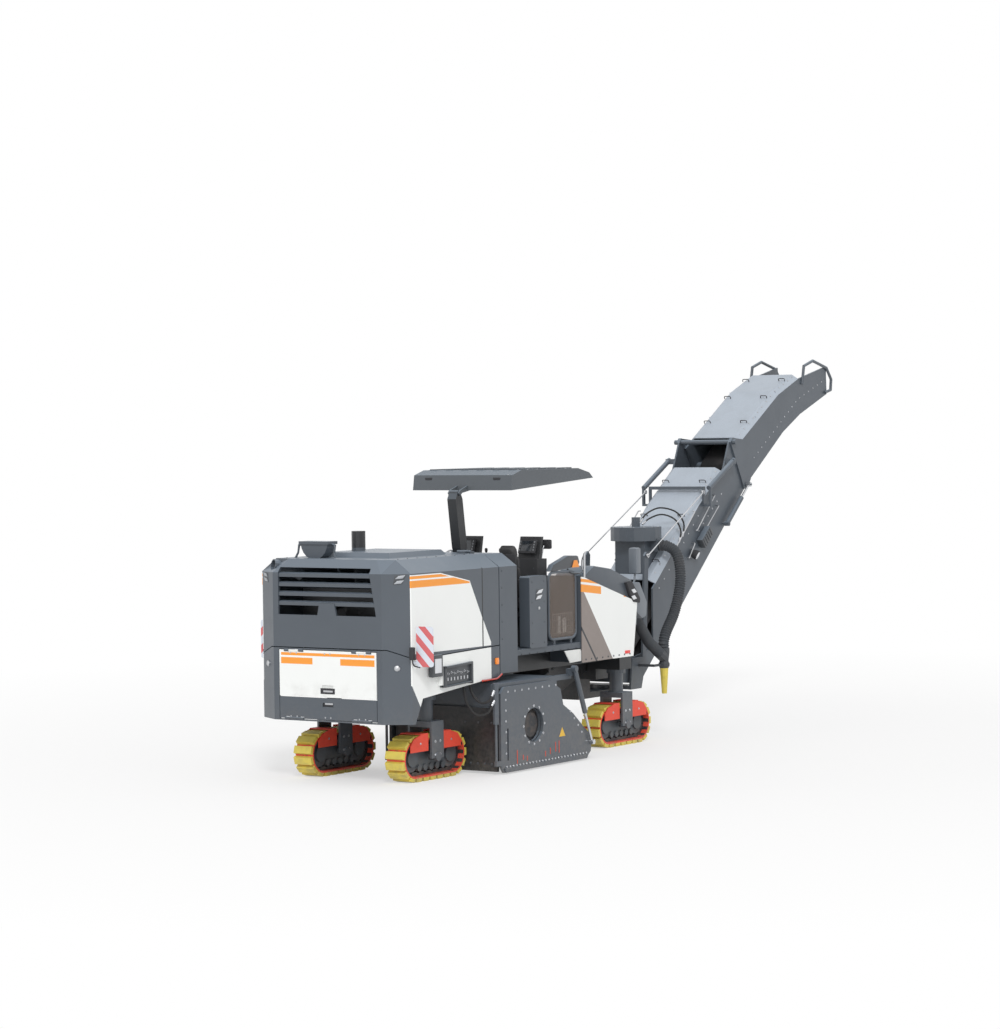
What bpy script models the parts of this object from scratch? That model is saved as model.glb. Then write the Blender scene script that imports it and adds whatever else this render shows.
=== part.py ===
"""Cold planer milling machine on four tracks, with a folding discharge conveyor.

Metres, +X forward along the conveyor, +Y to the left, +Z up, the ground at z = 0.
Each function makes one sub-part as one closed solid, from the named sizes above it.
"""
import bpy
import bmesh
from math import atan2, cos, hypot, pi, radians, sin
from mathutils import Vector

for item in list(bpy.data.objects):
    bpy.data.objects.remove(item, do_unlink=True)

# Fits shared by all pieces
GAP = 0.0003
CLEAR = 0.008
OVER = 0.03
ROUND_STEPS = 12
FINE_STEPS = 20

# Tracks and their columns
TRACK_LENGTH = 1.33
TRACK_WIDTH = 0.26
TRACK_HEIGHT = 0.55
TRACK_Y = 0.68
REAR_TRACK_X = -5.0
WHEELBASE = 4.35
FRONT_TRACK_X = REAR_TRACK_X + WHEELBASE
PAD_COUNT = 23
PAD_DEPTH = 0.045
SHOE_DEPTH = 0.020
LINK_DEPTH = 0.045
LINK_WIDTH = 0.11
ROLLER_COUNT = 5
ROLLER_RADIUS = 0.042
YOKE_LENGTH = 0.25
YOKE_WALL = 0.028
YOKE_TOP = 0.70
YOKE_PLATE = 0.07
YOKE_FOOT = 0.26
COLUMN_RADIUS = 0.09
COLUMN_LENGTH = 0.62
COLLAR_RADIUS = 0.125
COLLAR_HEIGHT = 0.05
SLEEVE_SIZE = 0.30
SLEEVE_FOOT = 1.00
FENDER_WALL = 0.012
FENDER_DROP = 0.19

# Chassis
RAIL_Y = 0.56
RAIL_WIDTH = 0.12
RAIL_FOOT = 1.12
RAIL_TOP = 1.34
CHASSIS_REAR = -5.88
CHASSIS_FRONT = -0.45

# Rear hull, its hood and doors
HULL_REAR = -6.03
HULL_FRONT = -4.02
HULL_HALF = 1.10
HULL_REAR_HALF = 0.80
HULL_CORNER = 0.18
HULL_WALL = 0.03
HULL_HEM = 0.74
SIDE_HEM_REAR = 1.03
SIDE_HEM_FRONT = 1.18
EDGE_Z = 2.50
ROOF_Z = 2.66
ROOF_INSET = 0.22
SEAM_REAR = 1.605
SEAM_LOW = 1.49
SEAM_FRONT = 1.545
SEAM_GAP = 0.012
GRILLE_HALF = 0.72
GRILLE_FOOT = 2.00
GRILLE_TOP = 2.56
BAR_COUNT = 4
BAR_HEIGHT = 0.055
DOOR_HALF = 0.715
DOOR_WALL = 0.028
DOOR_FOOT = 1.03
FLAP_TOP = 1.02

# Milling drum, its housing and side plates
DRUM_X = -3.55
DRUM_Z = 0.545
DRUM_LEFT = 0.30
MILLING_WIDTH = 1.50
DRUM_RIGHT = DRUM_LEFT - MILLING_WIDTH
DRUM_RADIUS = 0.38
TOOL_REACH = 0.49
HOUSING_WALL = 0.03
HOUSING_REAR = -4.20
HOUSING_FRONT = -2.96
HOUSING_TOP = 1.10
HUB_RADIUS = 0.21
PLATE_WALL = 0.035
PLATE_FOOT = 0.02
PLATE_TOP = 1.09
PLATE_REAR = -4.28
PLATE_FRONT = -2.22
PLATE_LIFT = 0.25
SCRAPER_LIFT = 0.30

# Operator's station, water tank and canopy
CABINET_FRONT = -3.62
CABINET_FOOT = 1.20
POST_BOX_FRONT = -3.12
POST_BOX_HALF = 0.42
FLOOR_Z = 1.46
FLOOR_DEPTH = 0.07
TANK_REAR = -2.14
TANK_FRONT = -0.78
TANK_FOOT = 1.20
TANK_REAR_TOP = 2.30
TANK_FRONT_TOP = 1.90
TUNNEL_HALF = 0.44
TUNNEL_TOP = 1.58
POST_X = -3.25
POST_Z = 2.64
POST_LENGTH = 0.74
POST_LEAN = 0.09
CANOPY_REAR = -3.19
CANOPY_FRONT = -1.27
CANOPY_HALF = 0.75
CANOPY_FOOT = 3.41
CANOPY_FRONT_FOOT = 3.53
CANOPY_TOP = 3.66
CANOPY_WALL = 0.03
CHAIR_X = -2.98
CHAIR_Y = -0.70
CHAIR_Z = 2.02

# Conveyors
BELT_WALL = 0.012
PICKUP_REAR_X = -2.80
PICKUP_REAR_Z = 0.36
PICKUP_HEAD_X = 0.10
PICKUP_HEAD_Z = 1.42
PICKUP_HALF = 0.29
SLEW_X = 0.18
LIFT_Z = 0.92
CONVEYOR_HALF = 0.42
CONVEYOR_WALL = 0.025
COVER_INSET = 0.09
MOUTH_X = 0.75
FOLD_X = 2.96
FOLD_Z = 3.95


def material(name, colour, roughness, metallic=0.0):
    """A plain Principled material in the piece's own colour."""
    made = bpy.data.materials.get(name) or bpy.data.materials.new(name)
    made.use_nodes = True
    shader = made.node_tree.nodes["Principled BSDF"]
    shader.inputs["Base Color"].default_value = (*colour, 1.0)
    shader.inputs["Roughness"].default_value = roughness
    shader.inputs["Metallic"].default_value = metallic
    return made


DARK = material("dark_grey_paint", (0.085, 0.10, 0.12), 0.45)
WHITE = material("white_paint", (0.85, 0.86, 0.85), 0.35)
STEEL = material("black_steel", (0.045, 0.05, 0.06), 0.5, 0.3)
LIGHT = material("light_grey_sheet", (0.42, 0.47, 0.54), 0.4)
RED = material("track_red", (0.75, 0.06, 0.03), 0.45)
YELLOW = material("pad_yellow", (0.62, 0.52, 0.08), 0.6)
RUBBER = material("black_rubber", (0.02, 0.02, 0.022), 0.85)
PLASTIC = material("black_plastic", (0.03, 0.03, 0.035), 0.6)
SILVER = material("bare_steel", (0.5, 0.5, 0.52), 0.3, 0.9)
BOARD = material("warning_board", (0.7, 0.25, 0.25), 0.5)
CLEAR_PANE = material("clear_pane", (0.7, 0.75, 0.78), 0.1)
CUSHION = material("chair_cover", (0.03, 0.03, 0.032), 0.8)

# Bodies that move, each with the body that carries it and its joint's place
BODIES = {}


def body(name, carrier, place):
    """An empty on the joint's axis, which the pieces of that body hang from."""
    empty = bpy.data.objects.new("joint_" + name, None)
    bpy.context.collection.objects.link(empty)
    base = BODIES[carrier][1] if carrier else Vector((0, 0, 0))
    empty.location = Vector(place) - base
    if carrier:
        empty.parent = BODIES[carrier][0]
    BODIES[name] = (empty, Vector(place))


def closed(verts, faces):
    """A closed mesh with its faces pointing out."""
    bm = bmesh.new()
    made = [bm.verts.new(v) for v in verts]
    for face in faces:
        bm.faces.new([made[i] for i in face])
    bmesh.ops.recalc_face_normals(bm, faces=bm.faces[:])
    mesh = bpy.data.meshes.new("shape")
    bm.to_mesh(mesh)
    bm.free()
    return mesh


def set_axis(axis, a, b, along):
    """A point from its two plane values and its place along the axis."""
    if axis == "x":
        return (along, a, b)
    if axis == "y":
        return (a, along, b)
    return (a, b, along)


def stack(layers):
    """A solid through equal-count outlines of 3-D points, capped at both ends."""
    count = len(layers[0])
    verts = [p for layer in layers for p in layer]
    faces = []
    for k in range(len(layers) - 1):
        for i in range(count):
            j = (i + 1) % count
            faces.append((k * count + i, k * count + j, (k + 1) * count + j, (k + 1) * count + i))
    faces.append(tuple(range(count)))
    top = (len(layers) - 1) * count
    faces.append(tuple(top + i for i in range(count)))
    return closed(verts, faces)


def prism(outline, axis, low, high):
    """An outline in the plane across an axis, drawn out from low to high."""
    return stack([[set_axis(axis, a, b, low) for a, b in outline],
                  [set_axis(axis, a, b, high) for a, b in outline]])


def box(x, y, z):
    """A block between pairs of x, y and z."""
    outline = [(x[0], y[0]), (x[1], y[0]), (x[1], y[1]), (x[0], y[1])]
    return prism(outline, "z", z[0], z[1])


def rod(start, end, radius, end_radius=None, steps=ROUND_STEPS):
    """A round bar or cone between two points."""
    start = Vector(start)
    end = Vector(end)
    along = (end - start).normalized()
    side = along.orthogonal().normalized()
    up = along.cross(side)
    tip = radius if end_radius is None else end_radius
    layers = []
    for place, size in ((start, radius), (end, tip)):
        layers.append([place + size * (cos(2 * pi * i / steps) * side + sin(2 * pi * i / steps) * up)
                       for i in range(steps)])
    return stack(layers)


def turned(profile, axis, centre, steps=FINE_STEPS):
    """A solid turned about an axis from (radius, along) pairs that start and end on it."""
    layers = []
    for radius, along in profile:
        ring = []
        for i in range(steps):
            angle = 2 * pi * i / steps
            ring.append(Vector(set_axis(axis, radius * cos(angle), radius * sin(angle), along)) + Vector(centre))
        layers.append(ring)
    return stack(layers)


def pipe(points, radius, steps=8):
    """A round tube of one radius along a polyline, with mitred bends."""
    points = [Vector(p) for p in points]
    last = len(points) - 1
    along = (points[1] - points[0]).normalized()
    side = along.orthogonal().normalized()
    layers = []
    for k, place in enumerate(points):
        before = (points[k] - points[k - 1]).normalized() if k else along
        after = (points[k + 1] - points[k]).normalized() if k < last else before
        mitre = (before + after).normalized()
        side = (side - side.dot(before) * before).normalized()
        up = before.cross(side)
        ring = []
        for i in range(steps):
            angle = 2 * pi * i / steps
            spoke = radius * (cos(angle) * side + sin(angle) * up)
            slide = -spoke.dot(mitre) / before.dot(mitre)
            ring.append(place + spoke + slide * before)
        layers.append(ring)
    return stack(layers)


def arc_points(centre, radius, start, end, steps):
    """Points on an arc in a plane, angles in degrees."""
    turn = [radians(start + (end - start) * i / steps) for i in range(steps + 1)]
    return [(centre[0] + radius * cos(a), centre[1] + radius * sin(a)) for a in turn]


def rounded(outline, radius, steps=3):
    """The outline with each corner rounded."""
    made = []
    count = len(outline)
    for i, corner in enumerate(outline):
        here = Vector(corner)
        back = (Vector(outline[i - 1]) - here).normalized()
        ahead = (Vector(outline[(i + 1) % count]) - here).normalized()
        half = back.angle(ahead) / 2
        reach = radius / abs(sin(half) / cos(half))
        centre = here + (back + ahead).normalized() * radius / sin(half)
        first = here + back * reach - centre
        final = here + ahead * reach - centre
        turn = first.angle_signed(final)
        for k in range(steps + 1):
            angle = atan2(first.y, first.x) - turn * k / steps
            made.append((centre.x + radius * cos(angle), centre.y + radius * sin(angle)))
    return made


def solid(name, holder, look, parts, cuts=()):
    """One node: its parts united, its cuts taken away, on the empty of its body."""
    base = bpy.data.objects.new(name, parts[0])
    bpy.context.collection.objects.link(base)
    helpers = []
    for operation, meshes in (("UNION", parts[1:]), ("DIFFERENCE", cuts)):
        if not meshes:
            continue
        group = bpy.data.collections.new(name + operation)
        bpy.context.scene.collection.children.link(group)
        for mesh in meshes:
            helper = bpy.data.objects.new("helper", mesh)
            group.objects.link(helper)
            helpers.append(helper)
        modifier = base.modifiers.new(operation, "BOOLEAN")
        modifier.operation = operation
        modifier.solver = "EXACT"
        modifier.operand_type = "COLLECTION"
        modifier.collection = group
        helpers.append(group)
    depsgraph = bpy.context.evaluated_depsgraph_get()
    mesh = bpy.data.meshes.new_from_object(base.evaluated_get(depsgraph))
    base.modifiers.clear()
    for helper in helpers:
        if isinstance(helper, bpy.types.Collection):
            bpy.data.collections.remove(helper)
        else:
            bpy.data.objects.remove(helper, do_unlink=True)
    base.data = mesh
    empty, place = BODIES[holder]
    for vertex in mesh.vertices:
        vertex.co -= place
    mesh.name = name
    mesh.materials.clear()
    mesh.materials.append(look)
    mesh.shade_smooth()
    mesh.set_sharp_from_angle(angle=radians(32))
    base.parent = empty
    return base


def unlinked(made):
    """The mesh of a helper solid, which leaves the scene."""
    skin = made.data
    for vertex in skin.vertices:
        vertex.co += BODIES["root"][1]
    skin.materials.clear()
    bpy.data.objects.remove(made, do_unlink=True)
    return skin


# Tracks

def loop_frame(share, radius, half_straight):
    """Centre, outward direction and place of a point at a share of the track loop."""
    arc = pi * radius
    straight = 2 * half_straight
    s = (share % 1.0) * (2 * arc + 2 * straight)
    if s < straight:
        return Vector((s - half_straight, 0)), Vector((0, -1))
    s -= straight
    if s < arc:
        angle = -pi / 2 + s / radius
        return Vector((half_straight, 0)), Vector((cos(angle), sin(angle)))
    s -= arc
    if s < straight:
        return Vector((half_straight - s, 0)), Vector((0, 1))
    s -= straight
    angle = pi / 2 + s / radius
    return Vector((-half_straight, 0)), Vector((cos(angle), sin(angle)))


LOOP_RADIUS = TRACK_HEIGHT / 2
HALF_STRAIGHT = TRACK_LENGTH / 2 - LOOP_RADIUS
SHOE_RADIUS = LOOP_RADIUS - PAD_DEPTH
LINK_RADIUS = SHOE_RADIUS - SHOE_DEPTH
INNER_RADIUS = LINK_RADIUS - LINK_DEPTH
# Each pad's corners: share of the pitch, pad top or shoe, link raised or not
PAD_CORNER_SHARES = ((0.06, 0, 1), (0.16, 1, 0), (0.80, 1, 0), (0.90, 0, 1))
LINK_NOTCH_SHARE = 0.35
LOOP_LENGTH = 2 * pi * LOOP_RADIUS + 4 * HALF_STRAIGHT
# Angle of the chain's longest flat where it bends round the drums
FLAT_ANGLE = (PAD_CORNER_SHARES[2][0] - PAD_CORNER_SHARES[1][0]) * LOOP_LENGTH / PAD_COUNT / LOOP_RADIUS
DRUM_ROOM = INNER_RADIUS * cos(FLAT_ANGLE / 2) - GAP


def track_belt(name, holder, x, y):
    """The loop of yellow pads on red shoes and their narrower chain."""
    half = TRACK_WIDTH / 2
    link_half = LINK_WIDTH / 2
    rows = []
    for pad in range(PAD_COUNT):
        for share, top, raised in PAD_CORNER_SHARES:
            hub, out = loop_frame((pad + share) / PAD_COUNT, LOOP_RADIUS, HALF_STRAIGHT)
            outer = LOOP_RADIUS if top else SHOE_RADIUS
            inner = INNER_RADIUS + raised * LINK_NOTCH_SHARE * LINK_DEPTH
            section = ((-half, outer), (half, outer), (half, LINK_RADIUS), (link_half, LINK_RADIUS),
                       (link_half, inner), (-link_half, inner), (-link_half, LINK_RADIUS),
                       (-half, LINK_RADIUS))
            row = []
            for across, reach in section:
                place = hub + out * reach
                row.append((x + place.x, y + across, LOOP_RADIUS + place.y))
            rows.append(row)
    count = len(rows[0])
    faces = []
    for k in range(len(rows)):
        after = (k + 1) % len(rows)
        for i in range(count):
            j = (i + 1) % count
            faces.append((k * count + i, k * count + j, after * count + j, after * count + i))
    mesh = closed([p for row in rows for p in row], faces)
    return solid(name, holder, YELLOW, [mesh])


# Side beam of the track frame: shares of its half length and half height
BEAM_SHARES = ((-0.80, 0.20), (-0.80, -0.60), (-0.45, -1.0), (0.80, -1.0), (0.80, -0.10), (0.62, 0.98),
               (-0.62, 0.98))
FENDER_SHARES = ((0.0, 0.0), (0.0, 1.0), (0.30, 1.0), (0.80, 0.78), (1.0, 0.40), (1.0, 0.0))
FENDER_NEAR = 0.16
FENDER_LENGTH = 0.36
FENDER_TIE_RADIUS = 0.022
DRIVE_WIDTH = 0.17
MOTOR_RADIUS = 0.10


def track_frame(name, holder, x, y):
    """Beam with rollers, drive drum and idler inside the loop, with red fenders over it."""
    hub_z = LOOP_RADIUS
    room = DRUM_ROOM
    beam_half = LINK_WIDTH / 2
    parts = [prism([(x + a * HALF_STRAIGHT, hub_z + b * room * 0.8) for a, b in BEAM_SHARES],
                   "y", y - beam_half, y + beam_half)]
    for end in (-1, 1):
        centre = (x + end * HALF_STRAIGHT, y, hub_z)
        parts.append(rod((centre[0], y - beam_half, hub_z), (centre[0], y + beam_half, hub_z), room,
                         steps=FINE_STEPS))
        reach = DRIVE_WIDTH / 2 if end < 0 else beam_half + YOKE_WALL
        parts.append(rod((centre[0], y - reach, hub_z), (centre[0], y + reach, hub_z), MOTOR_RADIUS))
    span = 2 * HALF_STRAIGHT * 0.62
    for i in range(ROLLER_COUNT):
        place = x - span / 2 + span * i / (ROLLER_COUNT - 1)
        low = hub_z - room + ROLLER_RADIUS
        parts.append(rod((place, y - LINK_WIDTH * 0.7, low), (place, y + LINK_WIDTH * 0.7, low), ROLLER_RADIUS,
                         steps=8))
    pin_reach = TRACK_WIDTH / 2 + CLEAR * 2 - GAP
    parts.append(rod((x, y - pin_reach, hub_z), (x, y + pin_reach, hub_z), ROLLER_RADIUS))
    inner = TRACK_WIDTH / 2 + CLEAR
    outer = inner + FENDER_WALL
    top = TRACK_HEIGHT + CLEAR
    foot = TRACK_HEIGHT - FENDER_DROP
    for end in (-1, 1):
        near = x + end * FENDER_NEAR
        skirt = [(near + end * FENDER_LENGTH * a, foot + (top + FENDER_WALL - foot) * b)
                 for a, b in FENDER_SHARES]
        far = near + end * FENDER_LENGTH * 0.42
        lid = [(near, -outer), (far, -outer), (far, outer), (near, outer)]
        for side in (-1, 1):
            low, high = sorted((y + side * inner, y + side * outer))
            parts.append(prism(skirt, "y", low, high))
        parts.append(prism([(a, y + b) for a, b in lid], "z", top, top + FENDER_WALL))
        tie = (near + end * FENDER_TIE_RADIUS * 1.6, foot + FENDER_TIE_RADIUS * 1.6)
        parts.append(rod((tie[0], y - outer + FENDER_WALL / 2, tie[1]), (tie[0], y + outer - FENDER_WALL / 2, tie[1]),
                         FENDER_TIE_RADIUS, steps=6))
    return solid(name, holder, RED, parts)


def track_yoke(name, holder, x, y):
    """The inverted U over the track with the round column on top."""
    inner = TRACK_WIDTH / 2 + CLEAR * 2
    outer = inner + YOKE_WALL
    half = YOKE_LENGTH / 2
    arch = [(-outer, YOKE_TOP), (-outer, YOKE_FOOT), (-inner, YOKE_FOOT), (-inner, YOKE_TOP - YOKE_PLATE),
            (inner, YOKE_TOP - YOKE_PLATE), (inner, YOKE_FOOT), (outer, YOKE_FOOT), (outer, YOKE_TOP)]
    parts = [prism([(y + a, b) for a, b in arch], "x", x - half, x + half)]
    foot = YOKE_TOP - YOKE_PLATE / 2
    parts.append(rod((x, y, foot), (x, y, YOKE_TOP + COLUMN_LENGTH), COLUMN_RADIUS, steps=FINE_STEPS))
    rest = SLEEVE_FOOT - GAP
    parts.append(rod((x, y, rest - COLLAR_HEIGHT), (x, y, rest), COLLAR_RADIUS, steps=FINE_STEPS))
    for side in (-1, 1):
        parts.append(rod((x, y + side * (outer - YOKE_WALL / 2), LOOP_RADIUS),
                         (x, y + side * (outer + YOKE_WALL / 2), LOOP_RADIUS), ROLLER_RADIUS * 1.3))
    return solid(name, holder, DARK, parts)


# Corner code, x and y of each track
TRACKS = (("front_right", FRONT_TRACK_X, -TRACK_Y), ("front_left", FRONT_TRACK_X, TRACK_Y),
          ("rear_right", REAR_TRACK_X, -TRACK_Y), ("rear_left", REAR_TRACK_X, TRACK_Y))


def tracks():
    """Four steered tracks, each on its own body."""
    for corner, x, y in TRACKS:
        holder = "track_" + corner
        body(holder, "root", (x, y, SLEEVE_FOOT))
        track_belt("track_belt_" + corner, holder, x, y)
        track_frame("track_frame_" + corner, holder, x, y)
        track_yoke("track_yoke_" + corner, holder, x, y)


# Chassis

DECK_DEPTH = 0.05
BEARING_REACH = 0.16
BEARING_HALF = 0.18
BEARING_TOP = 0.66
BEARING_DEPTH = 0.08
SLEEVE_HEIGHT = 0.56
SLEEVE_PLAY = 0.004
CROSS_HALF = 0.46
CROSS_FOOT = 0.86


def chassis():
    """Rails, axle beams with the column sleeves, and the bearing arm of the conveyor."""
    parts = []
    for side in (-1, 1):
        low, high = sorted((side * (RAIL_Y - RAIL_WIDTH / 2), side * (RAIL_Y + RAIL_WIDTH / 2)))
        parts.append(box((CHASSIS_REAR, CHASSIS_FRONT), (low, high), (RAIL_FOOT, RAIL_TOP)))
    cuts = []
    for x in (REAR_TRACK_X, FRONT_TRACK_X):
        half = SLEEVE_SIZE / 2
        reach = TRACK_Y + half
        parts.append(box((x - half, x + half), (-reach, reach), (SLEEVE_FOOT, RAIL_TOP - DECK_DEPTH)))
        for side in (-1, 1):
            y = side * TRACK_Y
            parts.append(box((x - half, x + half), (y - half, y + half), (SLEEVE_FOOT, SLEEVE_FOOT + SLEEVE_HEIGHT)))
            cuts.append(rod((x, y, SLEEVE_FOOT - OVER), (x, y, YOKE_TOP + COLUMN_LENGTH + SLEEVE_PLAY),
                            COLUMN_RADIUS + SLEEVE_PLAY, steps=FINE_STEPS))
    # The arm under the pickup conveyor that carries the conveyor's slewing pin
    front = SLEW_X + BEARING_REACH
    arm_foot = BEARING_TOP - BEARING_DEPTH
    parts.append(box((FRONT_TRACK_X - SLEEVE_SIZE / 2, front), (-BEARING_HALF, BEARING_HALF), (arm_foot, BEARING_TOP)))
    parts.append(box((FRONT_TRACK_X - SLEEVE_SIZE / 2, FRONT_TRACK_X + SLEEVE_SIZE / 2),
                     (-BEARING_HALF, BEARING_HALF), (arm_foot, SLEEVE_FOOT + OVER)))
    parts.append(box((FRONT_TRACK_X - SLEEVE_SIZE / 2, FRONT_TRACK_X + SLEEVE_SIZE / 2),
                     (-CROSS_HALF, CROSS_HALF), (CROSS_FOOT, SLEEVE_FOOT + OVER)))
    cuts.append(pickup_room())
    return solid("chassis_frame", "root", STEEL, parts, cuts)


PICKUP_SLOPE = atan2(PICKUP_HEAD_Z - PICKUP_REAR_Z, PICKUP_HEAD_X - PICKUP_REAR_X)
PICKUP_LENGTH = hypot(PICKUP_HEAD_Z - PICKUP_REAR_Z, PICKUP_HEAD_X - PICKUP_REAR_X)
PICKUP_PULLEY = 0.075
PICKUP_DEPTH = 0.24
PICKUP_FLOOR = 0.11


def pickup_point(along, up):
    """A point of the side view, along the pickup conveyor and square to it."""
    return (PICKUP_REAR_X + along * cos(PICKUP_SLOPE) - up * sin(PICKUP_SLOPE),
            PICKUP_REAR_Z + along * sin(PICKUP_SLOPE) + up * cos(PICKUP_SLOPE))


def pickup_room():
    """The room that the pickup conveyor needs through the frame."""
    low = -PICKUP_FLOOR - CLEAR
    high = PICKUP_DEPTH + CLEAR
    ends = (-OVER, PICKUP_LENGTH + 1.0 * OVER)
    outline = [pickup_point(ends[0], low), pickup_point(ends[1], low), pickup_point(ends[1], high),
               pickup_point(ends[0], high)]
    reach = PICKUP_HALF + CONVEYOR_WALL + CLEAR
    return prism(outline, "y", -reach, reach)


def engine():
    """The engine as one plain block on the rails."""
    return solid("engine_block", "root", STEEL,
                 [box((-4.95, -4.15), (-0.50, 0.50), (RAIL_TOP + GAP, 2.25))])


# Rear hull: the fixed lower part, the lifting hood and the two rear doors

def hull_plan(inset, rear_inset=None):
    """Plan outline of the rear hull, drawn in by an inset."""
    rear = HULL_REAR + (inset if rear_inset is None else rear_inset)
    half = HULL_HALF - inset
    rear_half = HULL_REAR_HALF - inset * 0.6
    return [(rear, -rear_half), (HULL_FRONT, -rear_half), (HULL_FRONT, rear_half), (rear, rear_half)] if half <= rear_half \
        else [(rear, -rear_half), (rear + HULL_CORNER, -half), (HULL_FRONT, -half), (HULL_FRONT, half),
              (rear + HULL_CORNER, half), (rear, rear_half)]


def hull_block(inset, foot, edge, roof):
    """The hull's outer or inner form, with its sloped roof edges."""
    roof_plan = [(max(min(x, HULL_FRONT), HULL_REAR + inset + (ROOF_INSET * 0.6 if x < HULL_FRONT else 0)),
                  y * (HULL_HALF - ROOF_INSET) / HULL_HALF) for x, y in hull_plan(inset)]
    layers = []
    for z, plan in ((foot, hull_plan(inset)), (edge, hull_plan(inset)), (roof, roof_plan)):
        layers.append([(x, y, z) for x, y in plan])
    return stack(layers)


def hull_shell():
    """The whole hull as one shell that is open below and in front."""
    outer = hull_block(0.0, HULL_HEM, EDGE_Z, ROOF_Z)
    inner = hull_block(HULL_WALL, HULL_HEM - OVER, EDGE_Z - HULL_WALL / 2, ROOF_Z - HULL_WALL)
    for vertex in inner.vertices:
        if vertex.co.x > HULL_FRONT - OVER / 2:
            vertex.co.x += OVER
    return outer, inner


def seam_side(above):
    """The hull's room above or below the seam that parts the hood from the lower hull."""
    shift = SEAM_GAP if above else 0.0
    line = [(HULL_REAR - OVER, SEAM_REAR + shift), (HULL_REAR + OVER, SEAM_REAR + shift),
            (HULL_REAR + HULL_CORNER + OVER, SEAM_LOW + shift), (HULL_FRONT + 3 * OVER, SEAM_FRONT + shift)]
    end = HULL_HEM - 2 * OVER if above else ROOF_Z + 3 * OVER
    outline = line + [(HULL_FRONT + 3 * OVER, end), (HULL_REAR - OVER, end)]
    return prism(outline, "y", -HULL_HALF - OVER, HULL_HALF + OVER)


BOX_X = (-5.33, -4.70)
BOX_FOOT = 1.16
BOX_TOP = 1.42
BOX_WALL = 0.05
HULL_BRACKETS_X = (-5.78, -4.22)
HINGE_RADIUS = 0.012
HINGE_LENGTH = 0.14
HINGE_EDGE = 0.03
HINGES_Y = (-0.5, 0.5)
DOOR_TOP = SEAM_REAR - 3 * CLEAR
FLAP_FOOT = HULL_HEM + 3 * CLEAR
DOOR_AXIS_Z = DOOR_TOP - HINGE_RADIUS / 2
FLAP_AXIS_Z = FLAP_FOOT + HINGE_RADIUS / 2


def lower_hull():
    """The fixed lower hull with its rear opening and rising side hems."""
    outer, inner = hull_shell()
    hem = [(HULL_REAR + HULL_CORNER + 2 * OVER, HULL_HEM - OVER), (HULL_REAR + HULL_CORNER + 2 * OVER, HULL_HEM),
           (HULL_REAR + 2 * HULL_CORNER + OVER, SIDE_HEM_REAR), (HULL_FRONT + 2 * OVER, SIDE_HEM_FRONT),
           (HULL_FRONT + 2 * OVER, HULL_HEM - OVER)]
    reach = HULL_HALF + OVER
    door = box((HULL_REAR - OVER, HULL_REAR + HULL_WALL + OVER), (-DOOR_HALF - CLEAR, DOOR_HALF + CLEAR),
               (HULL_HEM + CLEAR * 2, SEAM_REAR - CLEAR * 2))
    cuts = [inner, seam_side(False), prism(hem, "y", -reach, reach), door]
    skin = unlinked(solid("shell", "root", DARK, [outer], cuts))
    parts = [skin]
    for x in HULL_BRACKETS_X:
        for side in (-1, 1):
            low, high = sorted((side * (RAIL_Y - RAIL_WIDTH / 4), side * (HULL_HALF - HULL_WALL / 2)))
            parts.append(box((x - OVER, x + OVER), (low, high), (RAIL_TOP + GAP, RAIL_TOP + 2 * OVER)))
    for axis_z, edge_z in ((DOOR_AXIS_Z, DOOR_AXIS_Z + HINGE_EDGE), (FLAP_AXIS_Z, FLAP_AXIS_Z - HINGE_EDGE)):
        for y in HINGES_Y:
            for side in (-1, 1):
                low, high = sorted((y + side * (HINGE_LENGTH / 2 + GAP), y + side * HINGE_LENGTH))
                parts.append(rod((HULL_REAR, low, axis_z), (HULL_REAR, high, axis_z), HINGE_RADIUS, steps=12))
                parts.append(box((HULL_REAR - HINGE_RADIUS / 2, HULL_REAR + HINGE_RADIUS), (low, high),
                                 sorted((axis_z, edge_z))))
    parts.append(box(BOX_X, (-HULL_HALF - BOX_WALL, -HULL_HALF + HULL_WALL / 2), (BOX_FOOT, BOX_TOP)))
    room = box((BOX_X[0] + BOX_WALL, BOX_X[1] - BOX_WALL), (-HULL_HALF - BOX_WALL - OVER, -HULL_HALF - BOX_WALL / 3),
               (BOX_FOOT + BOX_WALL / 2, BOX_TOP - BOX_WALL))
    return solid("lower_hull", "root", DARK, parts, [room])


HANDLE_SIZE = (0.16, 0.05)


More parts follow.
